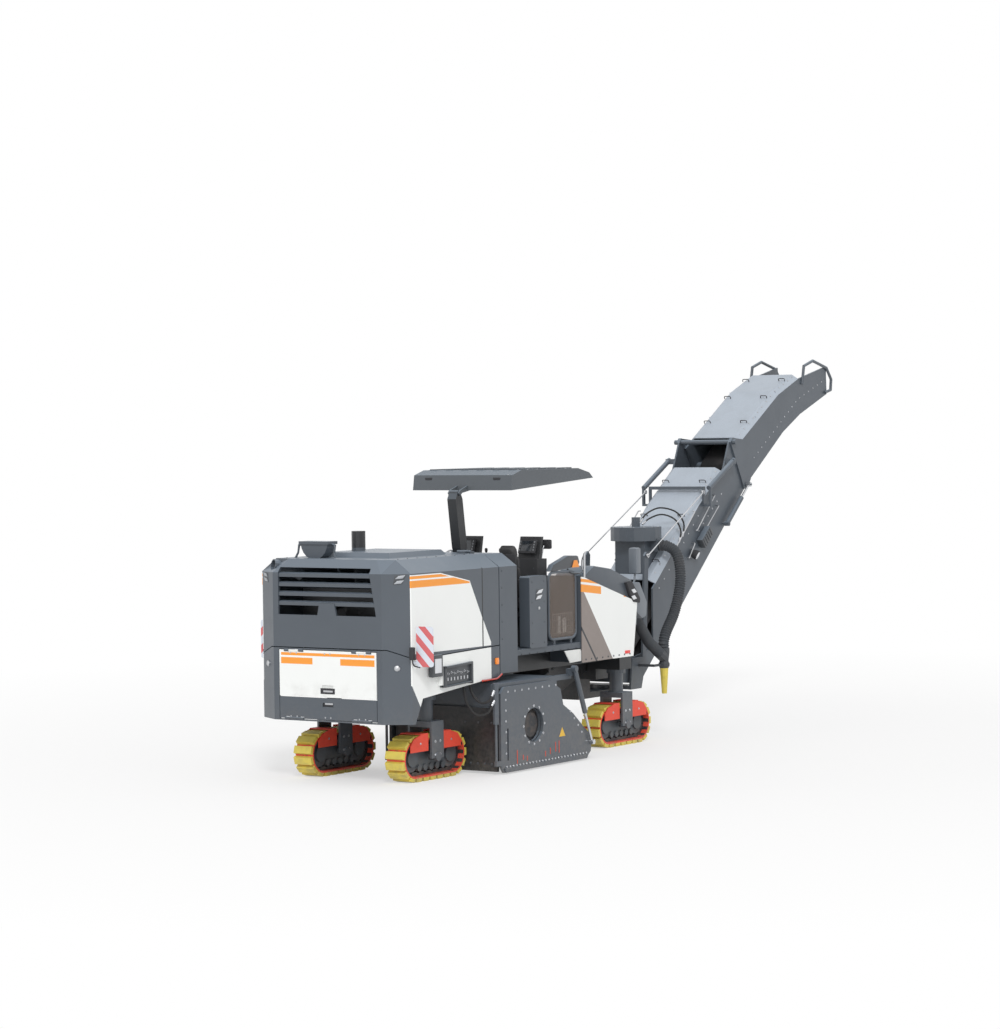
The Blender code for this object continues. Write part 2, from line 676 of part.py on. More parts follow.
def rear_doors():
    """The white upper door hinged along its top and the dark flap hinged along its foot."""
    body("rear_door", "root", (HULL_REAR, 0, DOOR_AXIS_Z))
    body("rear_flap", "root", (HULL_REAR, 0, FLAP_AXIS_Z))
    for name, look, foot, top, axis_z in (("rear_door", WHITE, DOOR_FOOT, DOOR_TOP, DOOR_AXIS_Z),
                                          ("rear_flap", DARK, FLAP_FOOT, FLAP_TOP, FLAP_AXIS_Z)):
        leaf = box((HULL_REAR, HULL_REAR + DOOR_WALL), (-DOOR_HALF, DOOR_HALF), (foot, top))
        handle = foot + HANDLE_SIZE[1] * 2.4 if name == "rear_door" else top - HANDLE_SIZE[1] * 1.6
        recess = box((HULL_REAR - OVER, HULL_REAR + DOOR_WALL * 0.6), (-HANDLE_SIZE[0] / 2, HANDLE_SIZE[0] / 2),
                     (handle - HANDLE_SIZE[1] / 2, handle + HANDLE_SIZE[1] / 2))
        parts = [leaf]
        cuts = [recess]
        for y in HINGES_Y:
            parts.append(rod((HULL_REAR, y - HINGE_LENGTH / 2, axis_z), (HULL_REAR, y + HINGE_LENGTH / 2, axis_z),
                             HINGE_RADIUS, steps=12))
            for side in (-1, 1):
                low, high = sorted((y + side * HINGE_LENGTH / 2, y + side * (HINGE_LENGTH + CLEAR / 2)))
                cuts.append(box((HULL_REAR - OVER, HULL_REAR + DOOR_WALL + OVER), (low, high),
                                (axis_z - HINGE_RADIUS - CLEAR / 2, axis_z + HINGE_RADIUS + CLEAR / 2)))
        solid(name, name, look, parts, cuts)


KNUCKLE_RADIUS = 0.018
KNUCKLE_HALF = 0.05
KNUCKLE_Y = 0.60
KNUCKLE_RISE = 0.02
HOOD_AXIS_Z = ROOF_Z + KNUCKLE_RISE
HOOD_SCOOP = ((-5.5, -4.3), (-0.55, 0.55), 0.06)
STACK_PLACE = (-5.00, 0.28)
STACK_RADIUS = 0.085
STACK_TOP = 2.96
BAR_DEPTH = 0.05
BADGE_HALF = 0.11
EXHAUST_RADIUS = 0.075
# Centres of the exhaust pipe from inside the hood to its mouth, and of its bore
EXHAUST_PATH = ((-5.60, 0.70, 2.45), (-5.72, 0.76, 2.52), (-5.84, 0.82, 2.56), (-5.93, 0.87, 2.58))
EXHAUST_BORE = ((-5.80, 0.80, 2.55), (-5.84, 0.82, 2.56), (-5.95, 0.88, 2.585))
BOWL_PLACE = (-5.60, 0.44, 2.84)
BOWL_HALF = 0.20
BOWL_DEPTH = 0.16
BOWL_RIM = 0.018
LEG_RADIUS = 0.014
# Steps of each bent leg of the bowl from the middle of its lid
BOWL_LEG = ((0.0, 0.19, -0.01), (-0.02, 0.27, -0.03), (-0.04, 0.27, -0.12), (-0.08, 0.33, -0.26), (-0.02, 0.33, -0.34))


def engine_hood():
    """The hood that lifts at the rear, with its open grille of bars and the raised roof panel."""
    body("engine_hood", "root", (HULL_FRONT, 0, HOOD_AXIS_Z))
    outer, inner = hull_shell()
    mouth = [(-GRILLE_HALF, GRILLE_FOOT), (GRILLE_HALF, GRILLE_FOOT), (GRILLE_HALF, GRILLE_TOP),
             (-GRILLE_HALF * 0.86, GRILLE_TOP)]
    opening = prism(mouth, "x", HULL_REAR - OVER, HULL_REAR + HULL_CORNER + OVER)
    shell = solid("shell", "root", DARK, [outer], [inner, seam_side(True), opening])
    skin = unlinked(shell)
    parts = [skin]
    (x0, x1), (y0, y1), rise = HOOD_SCOOP
    parts.append(stack([[(x0, y0, ROOF_Z - HULL_WALL / 2), (x1, y0, ROOF_Z - HULL_WALL / 2),
                         (x1, y1, ROOF_Z - HULL_WALL / 2), (x0, y1, ROOF_Z - HULL_WALL / 2)],
                        [(x0 + rise, y0 + rise, ROOF_Z + rise), (x1 - rise, y0 + rise, ROOF_Z + rise),
                         (x1 - rise, y1 - rise, ROOF_Z + rise), (x0 + rise, y1 - rise, ROOF_Z + rise)]]))
    pitch = (GRILLE_TOP - GRILLE_FOOT) / (BAR_COUNT + 1)
    inner_x = HULL_REAR + HULL_WALL
    for i in range(1, BAR_COUNT + 1):
        z = GRILLE_FOOT + pitch * i
        slat = [(inner_x - BAR_DEPTH * 0.4, z), (inner_x + BAR_DEPTH, z + BAR_HEIGHT * 0.4),
                (inner_x + BAR_DEPTH, z + BAR_HEIGHT), (inner_x - BAR_DEPTH * 0.4, z + BAR_HEIGHT * 0.75)]
        parts.append(prism(slat, "y", -GRILLE_HALF - OVER, GRILLE_HALF + OVER))
    badge = [(-BADGE_HALF * 1.3, GRILLE_FOOT - OVER / 2), (BADGE_HALF * 1.3, GRILLE_FOOT - OVER / 2),
             (BADGE_HALF, GRILLE_FOOT + pitch + BAR_HEIGHT / 2), (-BADGE_HALF, GRILLE_FOOT + pitch + BAR_HEIGHT / 2)]
    parts.append(prism(badge, "x", HULL_REAR, HULL_REAR + HULL_WALL))
    for side in (-1, 1):
        y = side * KNUCKLE_Y
        parts.append(rod((HULL_FRONT, y - KNUCKLE_HALF, HOOD_AXIS_Z), (HULL_FRONT, y + KNUCKLE_HALF, HOOD_AXIS_Z),
                         KNUCKLE_RADIUS, steps=12))
        parts.append(box((HULL_FRONT - 3 * OVER, HULL_FRONT), (y - KNUCKLE_HALF, y + KNUCKLE_HALF),
                         (ROOF_Z - HULL_WALL / 2, HOOD_AXIS_Z)))
    x, y = STACK_PLACE
    parts.append(rod((x, y, ROOF_Z - HULL_WALL / 2), (x, y, STACK_TOP), STACK_RADIUS))
    parts.append(pipe(EXHAUST_PATH, EXHAUST_RADIUS, ROUND_STEPS))
    x, y, z = BOWL_PLACE
    bowl = [(y - BOWL_HALF, z), (y + BOWL_HALF, z)] + arc_points((y, z), BOWL_HALF, 0, -180, 10)[1:-1]
    parts.append(prism(bowl, "x", x - BOWL_DEPTH / 2, x + BOWL_DEPTH / 2))
    lid_half = BOWL_HALF + BOWL_RIM
    parts.append(box((x - BOWL_DEPTH / 2 - BOWL_RIM, x + BOWL_DEPTH / 2 + BOWL_RIM), (y - lid_half, y + lid_half),
                     (z - BOWL_RIM, z + BOWL_RIM)))
    for side in (-1, 1):
        legs = [(x + dx, y + side * dy, z + dz) for dx, dy, dz in BOWL_LEG]
        parts.append(pipe(legs, LEG_RADIUS, 6))
    cuts = [pipe(EXHAUST_BORE, EXHAUST_RADIUS - FENDER_WALL, ROUND_STEPS)]
    return solid("engine_hood", "engine_hood", DARK, parts, cuts)


# Cooling pack behind the grille

COOLER_X = (-5.66, -5.44)
COOLER_HALF = 0.63
COOLER_TOP = 2.30
FAN_RADIUS = 0.30
FAN_HUB = 0.09
BLADE_COUNT = 7


def cooling_pack():
    """The cooler with its round fan opening, fan blades and cross braces."""
    foot = RAIL_TOP + GAP
    middle = (foot + COOLER_TOP) / 2
    block = box(COOLER_X, (-COOLER_HALF, COOLER_HALF), (foot, COOLER_TOP))
    rear = COOLER_X[0]
    depth = (COOLER_X[1] - COOLER_X[0]) / 2
    well = rod((rear - OVER, 0, middle), (rear + depth, 0, middle), FAN_RADIUS, steps=FINE_STEPS)
    cooler = solid("cooler", "root", STEEL, [block], [well])
    parts = [unlinked(cooler)]
    parts.append(rod((rear + OVER, 0, middle), (rear + depth + OVER, 0, middle), FAN_HUB))
    for i in range(BLADE_COUNT):
        angle = 2 * pi * i / BLADE_COUNT
        out = Vector((0, cos(angle), sin(angle)))
        across = Vector((0, -sin(angle), cos(angle))) * FAN_HUB * 0.7
        base = Vector((rear + depth * 0.75, 0, middle))
        thin = Vector((FENDER_WALL, 0, 0))
        sweep = Vector((depth * 0.35, 0, 0))
        layers = []
        for reach in (FAN_HUB * 0.6, FAN_RADIUS * 0.93):
            spot = base + out * reach
            layers.append([spot - across - sweep, spot + across + sweep - thin, spot + across + sweep,
                           spot - across - sweep + thin])
        parts.append(stack(layers))
    return solid("cooling_pack", "root", STEEL, parts)


# Milling drum, housing, side plates and scraper

HOUSING_RIGHT = DRUM_RIGHT - CLEAR - HOUSING_WALL
HOUSING_LEFT = DRUM_LEFT + CLEAR + HOUSING_WALL
HOUSING_FOOT = 0.24
HOUSING_ROOM = TOOL_REACH + 0.035
TOOL_COUNT = 54
TOOL_STARTS = 2
TOOL_TURNS = 2.25
TOOL_WIDTH = 0.052
HOLDER_SHARE = 0.62
TIP_SHARE = 0.18
RAKE = 16


def milling_drum():
    """The drum with its two helices of tool holders and pointed tools."""
    centre = Vector((DRUM_X, 0, DRUM_Z))
    body("milling_drum", "root", (DRUM_X, DRUM_RIGHT + MILLING_WIDTH / 2, DRUM_Z))
    parts = [rod((DRUM_X, DRUM_RIGHT, DRUM_Z), (DRUM_X, DRUM_LEFT, DRUM_Z), DRUM_RADIUS, steps=FINE_STEPS)]
    seat = HOUSING_LEFT - HOUSING_WALL - GAP
    parts.append(rod((DRUM_X, DRUM_LEFT - OVER, DRUM_Z), (DRUM_X, seat, DRUM_Z), HUB_RADIUS * 0.6))
    parts.append(rod((DRUM_X, HOUSING_RIGHT + CLEAR, DRUM_Z), (DRUM_X, DRUM_RIGHT + OVER, DRUM_Z),
                     HUB_RADIUS * 0.72, steps=FINE_STEPS))
    each = TOOL_COUNT // TOOL_STARTS
    for start in range(TOOL_STARTS):
        for i in range(each):
            share = (i + 0.5) / each
            y = DRUM_RIGHT + TOOL_WIDTH * 0.6 + (MILLING_WIDTH - TOOL_WIDTH * 1.2) * share
            angle = 2 * pi * (start / TOOL_STARTS + TOOL_TURNS * abs(share - 0.5))
            layers = []
            height = TOOL_REACH - DRUM_RADIUS
            for reach, lean, size in ((-0.25, 0.0, 1.0), (HOLDER_SHARE, 0.6, 0.8), (1.0, 1.0, TIP_SHARE)):
                turn = angle + radians(RAKE) * lean * 0.5
                out = Vector((cos(turn), 0, sin(turn)))
                across = Vector((-sin(turn), 0, cos(turn)))
                half = TOOL_WIDTH * size / 2
                spot = centre + out * (DRUM_RADIUS + height * reach) + Vector((0, y, 0))
                wide = Vector((0, half, 0))
                layers.append([spot - wide - across * half, spot + wide - across * half,
                               spot + wide + across * half, spot - wide + across * half])
            parts.append(stack(layers))
    return solid("milling_drum", "milling_drum", STEEL, parts)


SLIDE_PLAY = 0.0006
STRUT_TOP = (-2.66, 1.17)
STRUT_EYE = (-2.27, 0.22)
STRUT_RADIUS = 0.032
STRUT_ROD_RADIUS = 0.016
STRUT_ARM_HALF = 0.04
BARREL_RADIUS = 0.036
BARREL_X = PLATE_REAR - 0.08
BARREL_FOOT = 0.62
PLATE_ROD_RADIUS = 0.017


def plate_side(side):
    """Inner and outer y of the side plate on one side."""
    wall = HOUSING_LEFT if side > 0 else HOUSING_RIGHT
    inner = wall + side * CLEAR
    return inner, inner + side * PLATE_WALL


def milling_housing():
    """The housing over the drum, open below and to the pickup conveyor, with the plate cylinders."""
    outer = box((HOUSING_REAR, HOUSING_FRONT), (HOUSING_RIGHT, HOUSING_LEFT), (HOUSING_FOOT, HOUSING_TOP))
    inside = (DRUM_RIGHT - CLEAR, DRUM_LEFT + CLEAR)
    cuts = [rod((DRUM_X, inside[0], DRUM_Z), (DRUM_X, inside[1], DRUM_Z), HOUSING_ROOM, steps=FINE_STEPS),
            box((DRUM_X - HOUSING_ROOM * 0.98, DRUM_X + HOUSING_ROOM * 0.98), inside, (HOUSING_FOOT - OVER, DRUM_Z)),
            box((DRUM_X, HOUSING_FRONT + OVER), (-PICKUP_HALF, DRUM_LEFT - CLEAR), (HOUSING_FOOT - OVER, PICKUP_REAR_Z * 2)),
            rod((DRUM_X, HOUSING_RIGHT - OVER, DRUM_Z), (DRUM_X, DRUM_RIGHT, DRUM_Z), HUB_RADIUS * 0.95,
                steps=FINE_STEPS)]
    parts = [outer]
    mount = RAIL_FOOT - GAP
    for x in (HOUSING_REAR + OVER, HOUSING_FRONT - 3 * OVER):
        for y in (-RAIL_Y, DRUM_LEFT - OVER * 2):
            parts.append(box((x, x + 2 * OVER), (y - OVER, y + OVER), (HOUSING_TOP - OVER, HOUSING_TOP + CLEAR)))
    parts.append(box((HOUSING_REAR, HOUSING_FRONT), (-RAIL_Y - OVER, -RAIL_Y + OVER), (HOUSING_TOP - OVER, mount)))
    for side in (-1, 1):
        y = sum(plate_side(side)) / 2
        wall = HOUSING_LEFT if side > 0 else HOUSING_RIGHT
        arm_z = (HOUSING_TOP - 2 * OVER, HOUSING_TOP)
        low, high = sorted((wall - side * OVER, wall))
        parts.append(box((BARREL_X - BARREL_RADIUS / 2, HOUSING_REAR + OVER), (low, high), arm_z))
        low, high = sorted((wall - side * OVER, y + side * BARREL_RADIUS / 2))
        parts.append(box((BARREL_X - BARREL_RADIUS / 2, BARREL_X + BARREL_RADIUS / 2), (low, high), arm_z))
        parts.append(rod((BARREL_X, y, BARREL_FOOT), (BARREL_X, y, HOUSING_TOP + OVER / 2), BARREL_RADIUS))
        cuts.append(rod((BARREL_X, y, BARREL_FOOT - OVER), (BARREL_X, y, HOUSING_TOP - OVER),
                        PLATE_ROD_RADIUS + SLIDE_PLAY))
        low, high = sorted((wall, wall - side * 2 * OVER))
        arm_z = (STRUT_TOP[1] - 3 * OVER, STRUT_TOP[1])
        parts.append(box((HOUSING_FRONT - OVER, STRUT_TOP[0] + STRUT_ARM_HALF), (low, high), (HOUSING_TOP - 2 * OVER, HOUSING_TOP)))
        low, high = sorted((wall - side * OVER, plate_side(side)[1]))
        parts.append(box((STRUT_TOP[0] - STRUT_ARM_HALF, STRUT_TOP[0] + STRUT_ARM_HALF), (low, high), arm_z))
    return solid("milling_housing", "root", DARK, parts, cuts)


# Side plate outline: shares of its length from the rear end, and of its height
PLATE_OUTLINE_SHARES = ((0.0, 0.075), (0.03, 0.0), (0.93, 0.0), (0.985, 0.075), (1.0, 0.25), (0.90, 0.385),
                        (0.79, 0.55), (0.68, 0.67), (0.65, 0.86), (0.54, 0.97), (0.04, 0.97), (0.0, 0.90))
SHOE_HEIGHT = 0.055
SHOE_WALL = 0.016
SLOT_X = -4.13
SLOT_HALF = 0.016
SLOT_Z = (0.16, 0.55)


def side_plate(name, side):
    """A side plate with its skid shoe, hub opening, guide slot, guides and lift lug."""
    inner, outer = plate_side(side)
    body(name, "root", (DRUM_X, inner, PLATE_FOOT))
    span = PLATE_FRONT - PLATE_REAR
    rise = PLATE_TOP - PLATE_FOOT
    outline = [(PLATE_REAR + span * a, PLATE_FOOT + rise * b) for a, b in PLATE_OUTLINE_SHARES]
    low, high = sorted((inner, outer))
    parts = [prism(outline, "y", low, high)]
    shoe = [(PLATE_REAR + span * 0.04, PLATE_FOOT), (PLATE_REAR + span * 0.93, PLATE_FOOT),
            (PLATE_REAR + span * 0.95, PLATE_FOOT + SHOE_HEIGHT), (PLATE_REAR + span * 0.03, PLATE_FOOT + SHOE_HEIGHT)]
    low, high = sorted((outer - side * OVER / 3, outer + side * SHOE_WALL))
    parts.append(prism(shoe, "y", low, high))
    low, high = sorted((inner + side * OVER / 3, inner - side * (CLEAR - GAP)))
    for x in (HOUSING_REAR + OVER, HOUSING_FRONT - 3 * OVER):
        parts.append(box((x, x + 2 * OVER), (low, high), (HOUSING_FOOT + 2 * OVER, HOUSING_TOP * 0.75)))
    y = (inner + outer) / 2
    parts.append(box((BARREL_X - PLATE_ROD_RADIUS, PLATE_REAR + 2 * OVER), (min(inner, outer), max(inner, outer)),
                     (PLATE_FOOT + 3 * OVER, PLATE_FOOT + 5 * OVER)))
    parts.append(rod((BARREL_X, y, PLATE_FOOT + 4 * OVER), (BARREL_X, y, BARREL_FOOT + 4 * OVER), PLATE_ROD_RADIUS))
    reach = (min(inner, outer) - OVER, max(inner, outer) + OVER)
    cuts = [rod((DRUM_X, reach[0], DRUM_Z), (DRUM_X, reach[1], DRUM_Z), HUB_RADIUS, steps=FINE_STEPS),
            box((SLOT_X - SLOT_HALF, SLOT_X + SLOT_HALF), reach, SLOT_Z)]
    return solid(name, name, DARK, parts, cuts)


def plate_strut(hand, side):
    """The slanting front cylinder of a side plate: barrel hinged above, rod sliding in it."""
    inner, outer = plate_side(side)
    y = outer + side * (STRUT_RADIUS + GAP)
    barrel = "plate_barrel_" + hand
    piston = "plate_rod_" + hand
    body(barrel, "root", (STRUT_TOP[0], y, STRUT_TOP[1]))
    body(piston, barrel, (STRUT_EYE[0], y, STRUT_EYE[1]))
    top = Vector((STRUT_TOP[0], y, STRUT_TOP[1]))
    eye = Vector((STRUT_EYE[0], y, STRUT_EYE[1]))
    along = (eye - top).normalized()
    length = (eye - top).length
    eye_half = STRUT_RADIUS
    parts = [rod(top, top + along * length * 0.60, STRUT_RADIUS),
             rod(top - Vector((0, eye_half, 0)), top + Vector((0, eye_half, 0)), STRUT_RADIUS * 1.25)]
    bore = rod(top + along * length * 0.14, top + along * length * 0.65, STRUT_ROD_RADIUS + SLIDE_PLAY)
    solid(barrel, barrel, DARK, parts, [bore])
    parts = [rod(top + along * length * 0.45, eye, STRUT_ROD_RADIUS),
             rod(eye - Vector((0, eye_half, 0)), eye + Vector((0, eye_half, 0)), STRUT_RADIUS)]
    solid(piston, piston, SILVER, parts)


SCRAPER_WALL = 0.04
SCRAPER_FOOT = 0.03
SCRAPER_TOP = RAIL_FOOT - SCRAPER_LIFT - 2 * CLEAR


def scraper():
    """The scraper blade behind the drum, with its ribs and wear strip."""
    front = HOUSING_REAR - CLEAR
    rear = front - SCRAPER_WALL
    body("scraper", "root", (rear, DRUM_RIGHT + MILLING_WIDTH / 2, SCRAPER_FOOT))
    parts = [box((rear, front), (DRUM_RIGHT, DRUM_LEFT), (SCRAPER_FOOT, SCRAPER_TOP))]
    for share in (0.1, 0.37, 0.63, 0.9):
        y = DRUM_RIGHT + MILLING_WIDTH * share
        parts.append(box((front - OVER / 2, HOUSING_REAR - GAP), (y - OVER, y + OVER),
                         (HOUSING_FOOT + 2 * OVER, SCRAPER_TOP - OVER)))
    return solid("scraper_blade", "scraper", STEEL, parts)


# Operator's station

CABINET_WALL = 0.025
ROOF_HALF = HULL_HALF - ROOF_INSET


def rail_channels(front, rear):
    """The room for the two rails through a housing that sits over them."""
    made = []
    for side in (-1, 1):
        low, high = sorted((side * (RAIL_Y - RAIL_WIDTH / 2) - side * GAP, side * (RAIL_Y + RAIL_WIDTH / 2) + side * GAP))
        made.append(box((rear, front), (low, high), (RAIL_FOOT - OVER, RAIL_TOP + GAP)))
    return made


def hollowed(outline, low, high):
    """A housing drawn along x from an outline, hollow and open below."""
    centre = sum((Vector(p) for p in outline), Vector((0, 0))) / len(outline)
    foot = min(z for _, z in outline)
    inner = []
    for y, z in outline:
        place = Vector((y, z))
        inward = Vector((CABINET_WALL if y < centre.x else -CABINET_WALL, CABINET_WALL if z < centre.y else -CABINET_WALL))
        spot = place + inward
        inner.append((spot.x, foot - OVER if z == foot else spot.y))
    made = solid("shell", "root", DARK, [prism(outline, "x", low, high)],
                 [prism(inner, "x", low + CABINET_WALL, high - CABINET_WALL)])
    return unlinked(made)


def cabinet():
    """The cabinet across the machine behind the operator, with the canopy post's box."""
    rear = HULL_FRONT + 2 * CLEAR
    outline = [(-HULL_HALF, CABINET_FOOT), (HULL_HALF, CABINET_FOOT), (HULL_HALF, EDGE_Z), (ROOF_HALF, ROOF_Z - CLEAR),
               (-ROOF_HALF, ROOF_Z - CLEAR), (-HULL_HALF, EDGE_Z)]
    shell = hollowed(outline, rear, CABINET_FRONT)
    parts = [shell,
             box((CABINET_FRONT - CABINET_WALL / 2, POST_BOX_FRONT), (-POST_BOX_HALF, POST_BOX_HALF), (FLOOR_Z + GAP, POST_Z - POST_KNUCKLE - CLEAR))]
    for side in (-1, 1):
        for inward in (-1, 1):
            y = side * KNUCKLE_Y + inward * (KNUCKLE_HALF + GAP)
            end = y + inward * KNUCKLE_HALF
            parts.append(rod((HULL_FRONT, y, HOOD_AXIS_Z), (HULL_FRONT, end, HOOD_AXIS_Z), KNUCKLE_RADIUS, steps=12))
            low, high = sorted((y, end))
            parts.append(box((HULL_FRONT, rear + 2 * OVER), (low, high), (HOOD_AXIS_Z - KNUCKLE_RADIUS * 0.7, HOOD_AXIS_Z)))
            parts.append(box((rear + OVER / 2, rear + 2 * OVER), (low, high), (ROOF_Z - OVER, HOOD_AXIS_Z)))
    wide = POST_SIZE[1] / 2
    ear = [(POST_X - 2 * POST_KNUCKLE, POST_Z - POST_KNUCKLE - 2 * CLEAR - OVER), (POST_X + 2 * POST_KNUCKLE, POST_Z - POST_KNUCKLE - 2 * CLEAR - OVER),
           (POST_X + POST_KNUCKLE, POST_Z + POST_KNUCKLE / 2), (POST_X - POST_KNUCKLE, POST_Z + POST_KNUCKLE / 2)]
    for side in (-1, 1):
        low, high = sorted((side * (wide + GAP), side * (wide + EAR_WALL)))
        parts.append(prism(ear, "y", low, high))
    inner, outer = plate_side(1)
    plate_room = box((rear - OVER, CABINET_FRONT + OVER), (inner - CLEAR, outer + CLEAR),
                     (CABINET_FOOT - OVER, PLATE_TOP + PLATE_LIFT))
    cuts = rail_channels(CABINET_FRONT + OVER, rear - OVER) + [plate_room]
    return solid("operator_cabinet", "root", DARK, parts, cuts)


FLOOR_INSET = 0.02
FLOOR_HALF = HULL_HALF - FLOOR_INSET
TREAD_X = (-3.08, -2.46)
TREAD_Y = (-0.44, 1.04)
TREAD_RISE = 0.006
CONSOLE_X = (-3.34, -2.95)
CONSOLE_DEPTH = 0.15
CONSOLE_Y = (-HULL_HALF, -HULL_HALF + CONSOLE_DEPTH)
CONSOLE_TOP = 2.35
DESK_X = (-2.42, -2.20)
DESK_HALF = 0.62
DESK_TOP = 2.52
SCREEN_HALF = 0.16
SCREEN_TOP = 2.80


def platform():
    """The operator's floor on its bearers, with the raised tread between chair and desk."""
    parts = [box((CABINET_FRONT + GAP, TANK_REAR - GAP), (-FLOOR_HALF, FLOOR_HALF), (FLOOR_Z - FLOOR_DEPTH, FLOOR_Z)),
             box(TREAD_X, TREAD_Y, (FLOOR_Z - FLOOR_DEPTH / 2, FLOOR_Z + TREAD_RISE))]
    for side in (-1, 1):
        y = side * RAIL_Y
        parts.append(box((CABINET_FRONT + CLEAR, TANK_REAR - CLEAR), (y - OVER, y + OVER),
                         (RAIL_TOP + GAP, FLOOR_Z - FLOOR_DEPTH / 2)))
    return solid("operator_platform", "root", DARK, parts)


def consoles():
    """The side console at the right edge and the control desk in front of the chair."""
    foot = FLOOR_Z + GAP
    outline = rounded([(CONSOLE_X[0], foot), (CONSOLE_X[1], foot), (CONSOLE_X[1], CONSOLE_TOP), (CONSOLE_X[0], CONSOLE_TOP)],
                      OVER)
    solid("side_console", "root", DARK, [prism(outline, "y", *CONSOLE_Y)])
    parts = [box(DESK_X, (-DESK_HALF, DESK_HALF), (foot, DESK_TOP))]
    for side in (-1, 1):
        y = side * (DESK_HALF - SCREEN_HALF)
        lean = DESK_X[0] + OVER
        parts.append(prism([(lean, DESK_TOP - OVER), (lean + 2 * OVER, DESK_TOP - OVER), (lean + OVER * 4, SCREEN_TOP),
                            (lean + OVER * 2.5, SCREEN_TOP)], "y", y - SCREEN_HALF, y + SCREEN_HALF))
    solid("control_desk", "root", PLASTIC, parts)


SEAT_SIZE = (0.46, 0.46, 0.12)
BACK_SIZE = (0.10, 0.40, 0.76)
CUSHION_ROUND = 0.035


def chair():
    """The pedestal chair: base with armrests, and its padded cushions."""
    foot = FLOOR_Z + GAP
    seat_foot = CHAIR_Z - SEAT_SIZE[2]
    half = SEAT_SIZE[0] / 2
    parts = [rod((CHAIR_X, CHAIR_Y, foot), (CHAIR_X, CHAIR_Y, seat_foot - OVER), 0.10, 0.07),
             rod((CHAIR_X, CHAIR_Y, foot), (CHAIR_X, CHAIR_Y, foot + OVER), 0.17),
             box((CHAIR_X - half, CHAIR_X + half), (CHAIR_Y - half * 0.8, CHAIR_Y + half * 0.8),
                 (seat_foot - 2 * OVER, seat_foot - GAP))]
    solid("chair_base", "root", PLASTIC, parts)
    rear = CHAIR_X - half
    outline = rounded([(rear, seat_foot), (CHAIR_X + half, seat_foot), (CHAIR_X + half, CHAIR_Z), (rear + BACK_SIZE[0], CHAIR_Z),
                       (rear + BACK_SIZE[0] * 0.4, CHAIR_Z + BACK_SIZE[2]), (rear - BACK_SIZE[0] * 0.6, CHAIR_Z + BACK_SIZE[2])],
                      CUSHION_ROUND)
    half_width = BACK_SIZE[1] / 2
    solid("chair_cushions", "root", CUSHION, [prism(outline, "y", CHAIR_Y - half_width, CHAIR_Y + half_width)])


TANK_LEAN = 0.11


def water_tank():
    """The front module with the sloped top and the tunnel for the pickup conveyor."""
    outline = [(TANK_REAR, TANK_FOOT), (TANK_FRONT - TANK_LEAN, TANK_FOOT), (TANK_FRONT, TANK_FRONT_TOP),
               (TANK_REAR, TANK_REAR_TOP)]
    parts = [prism(outline, "y", -HULL_HALF, HULL_HALF)]
    cuts = [box((TANK_REAR - OVER, TANK_FRONT + OVER), (-TUNNEL_HALF, TUNNEL_HALF), (TANK_FOOT - OVER, TUNNEL_TOP))]
    cuts += rail_channels(TANK_FRONT + OVER, TANK_REAR - OVER)
    parts.append(box(DUCT_X, DUCT_Y, DUCT_Z))
    return solid("water_tank", "root", WHITE, parts, cuts)


# Canopy

POST_SIZE = (0.15, 0.13)
POST_KNUCKLE = 0.05
HEAD_KNUCKLE = 0.035
EAR_WALL = 0.022
BRACKET_REACH = 0.26


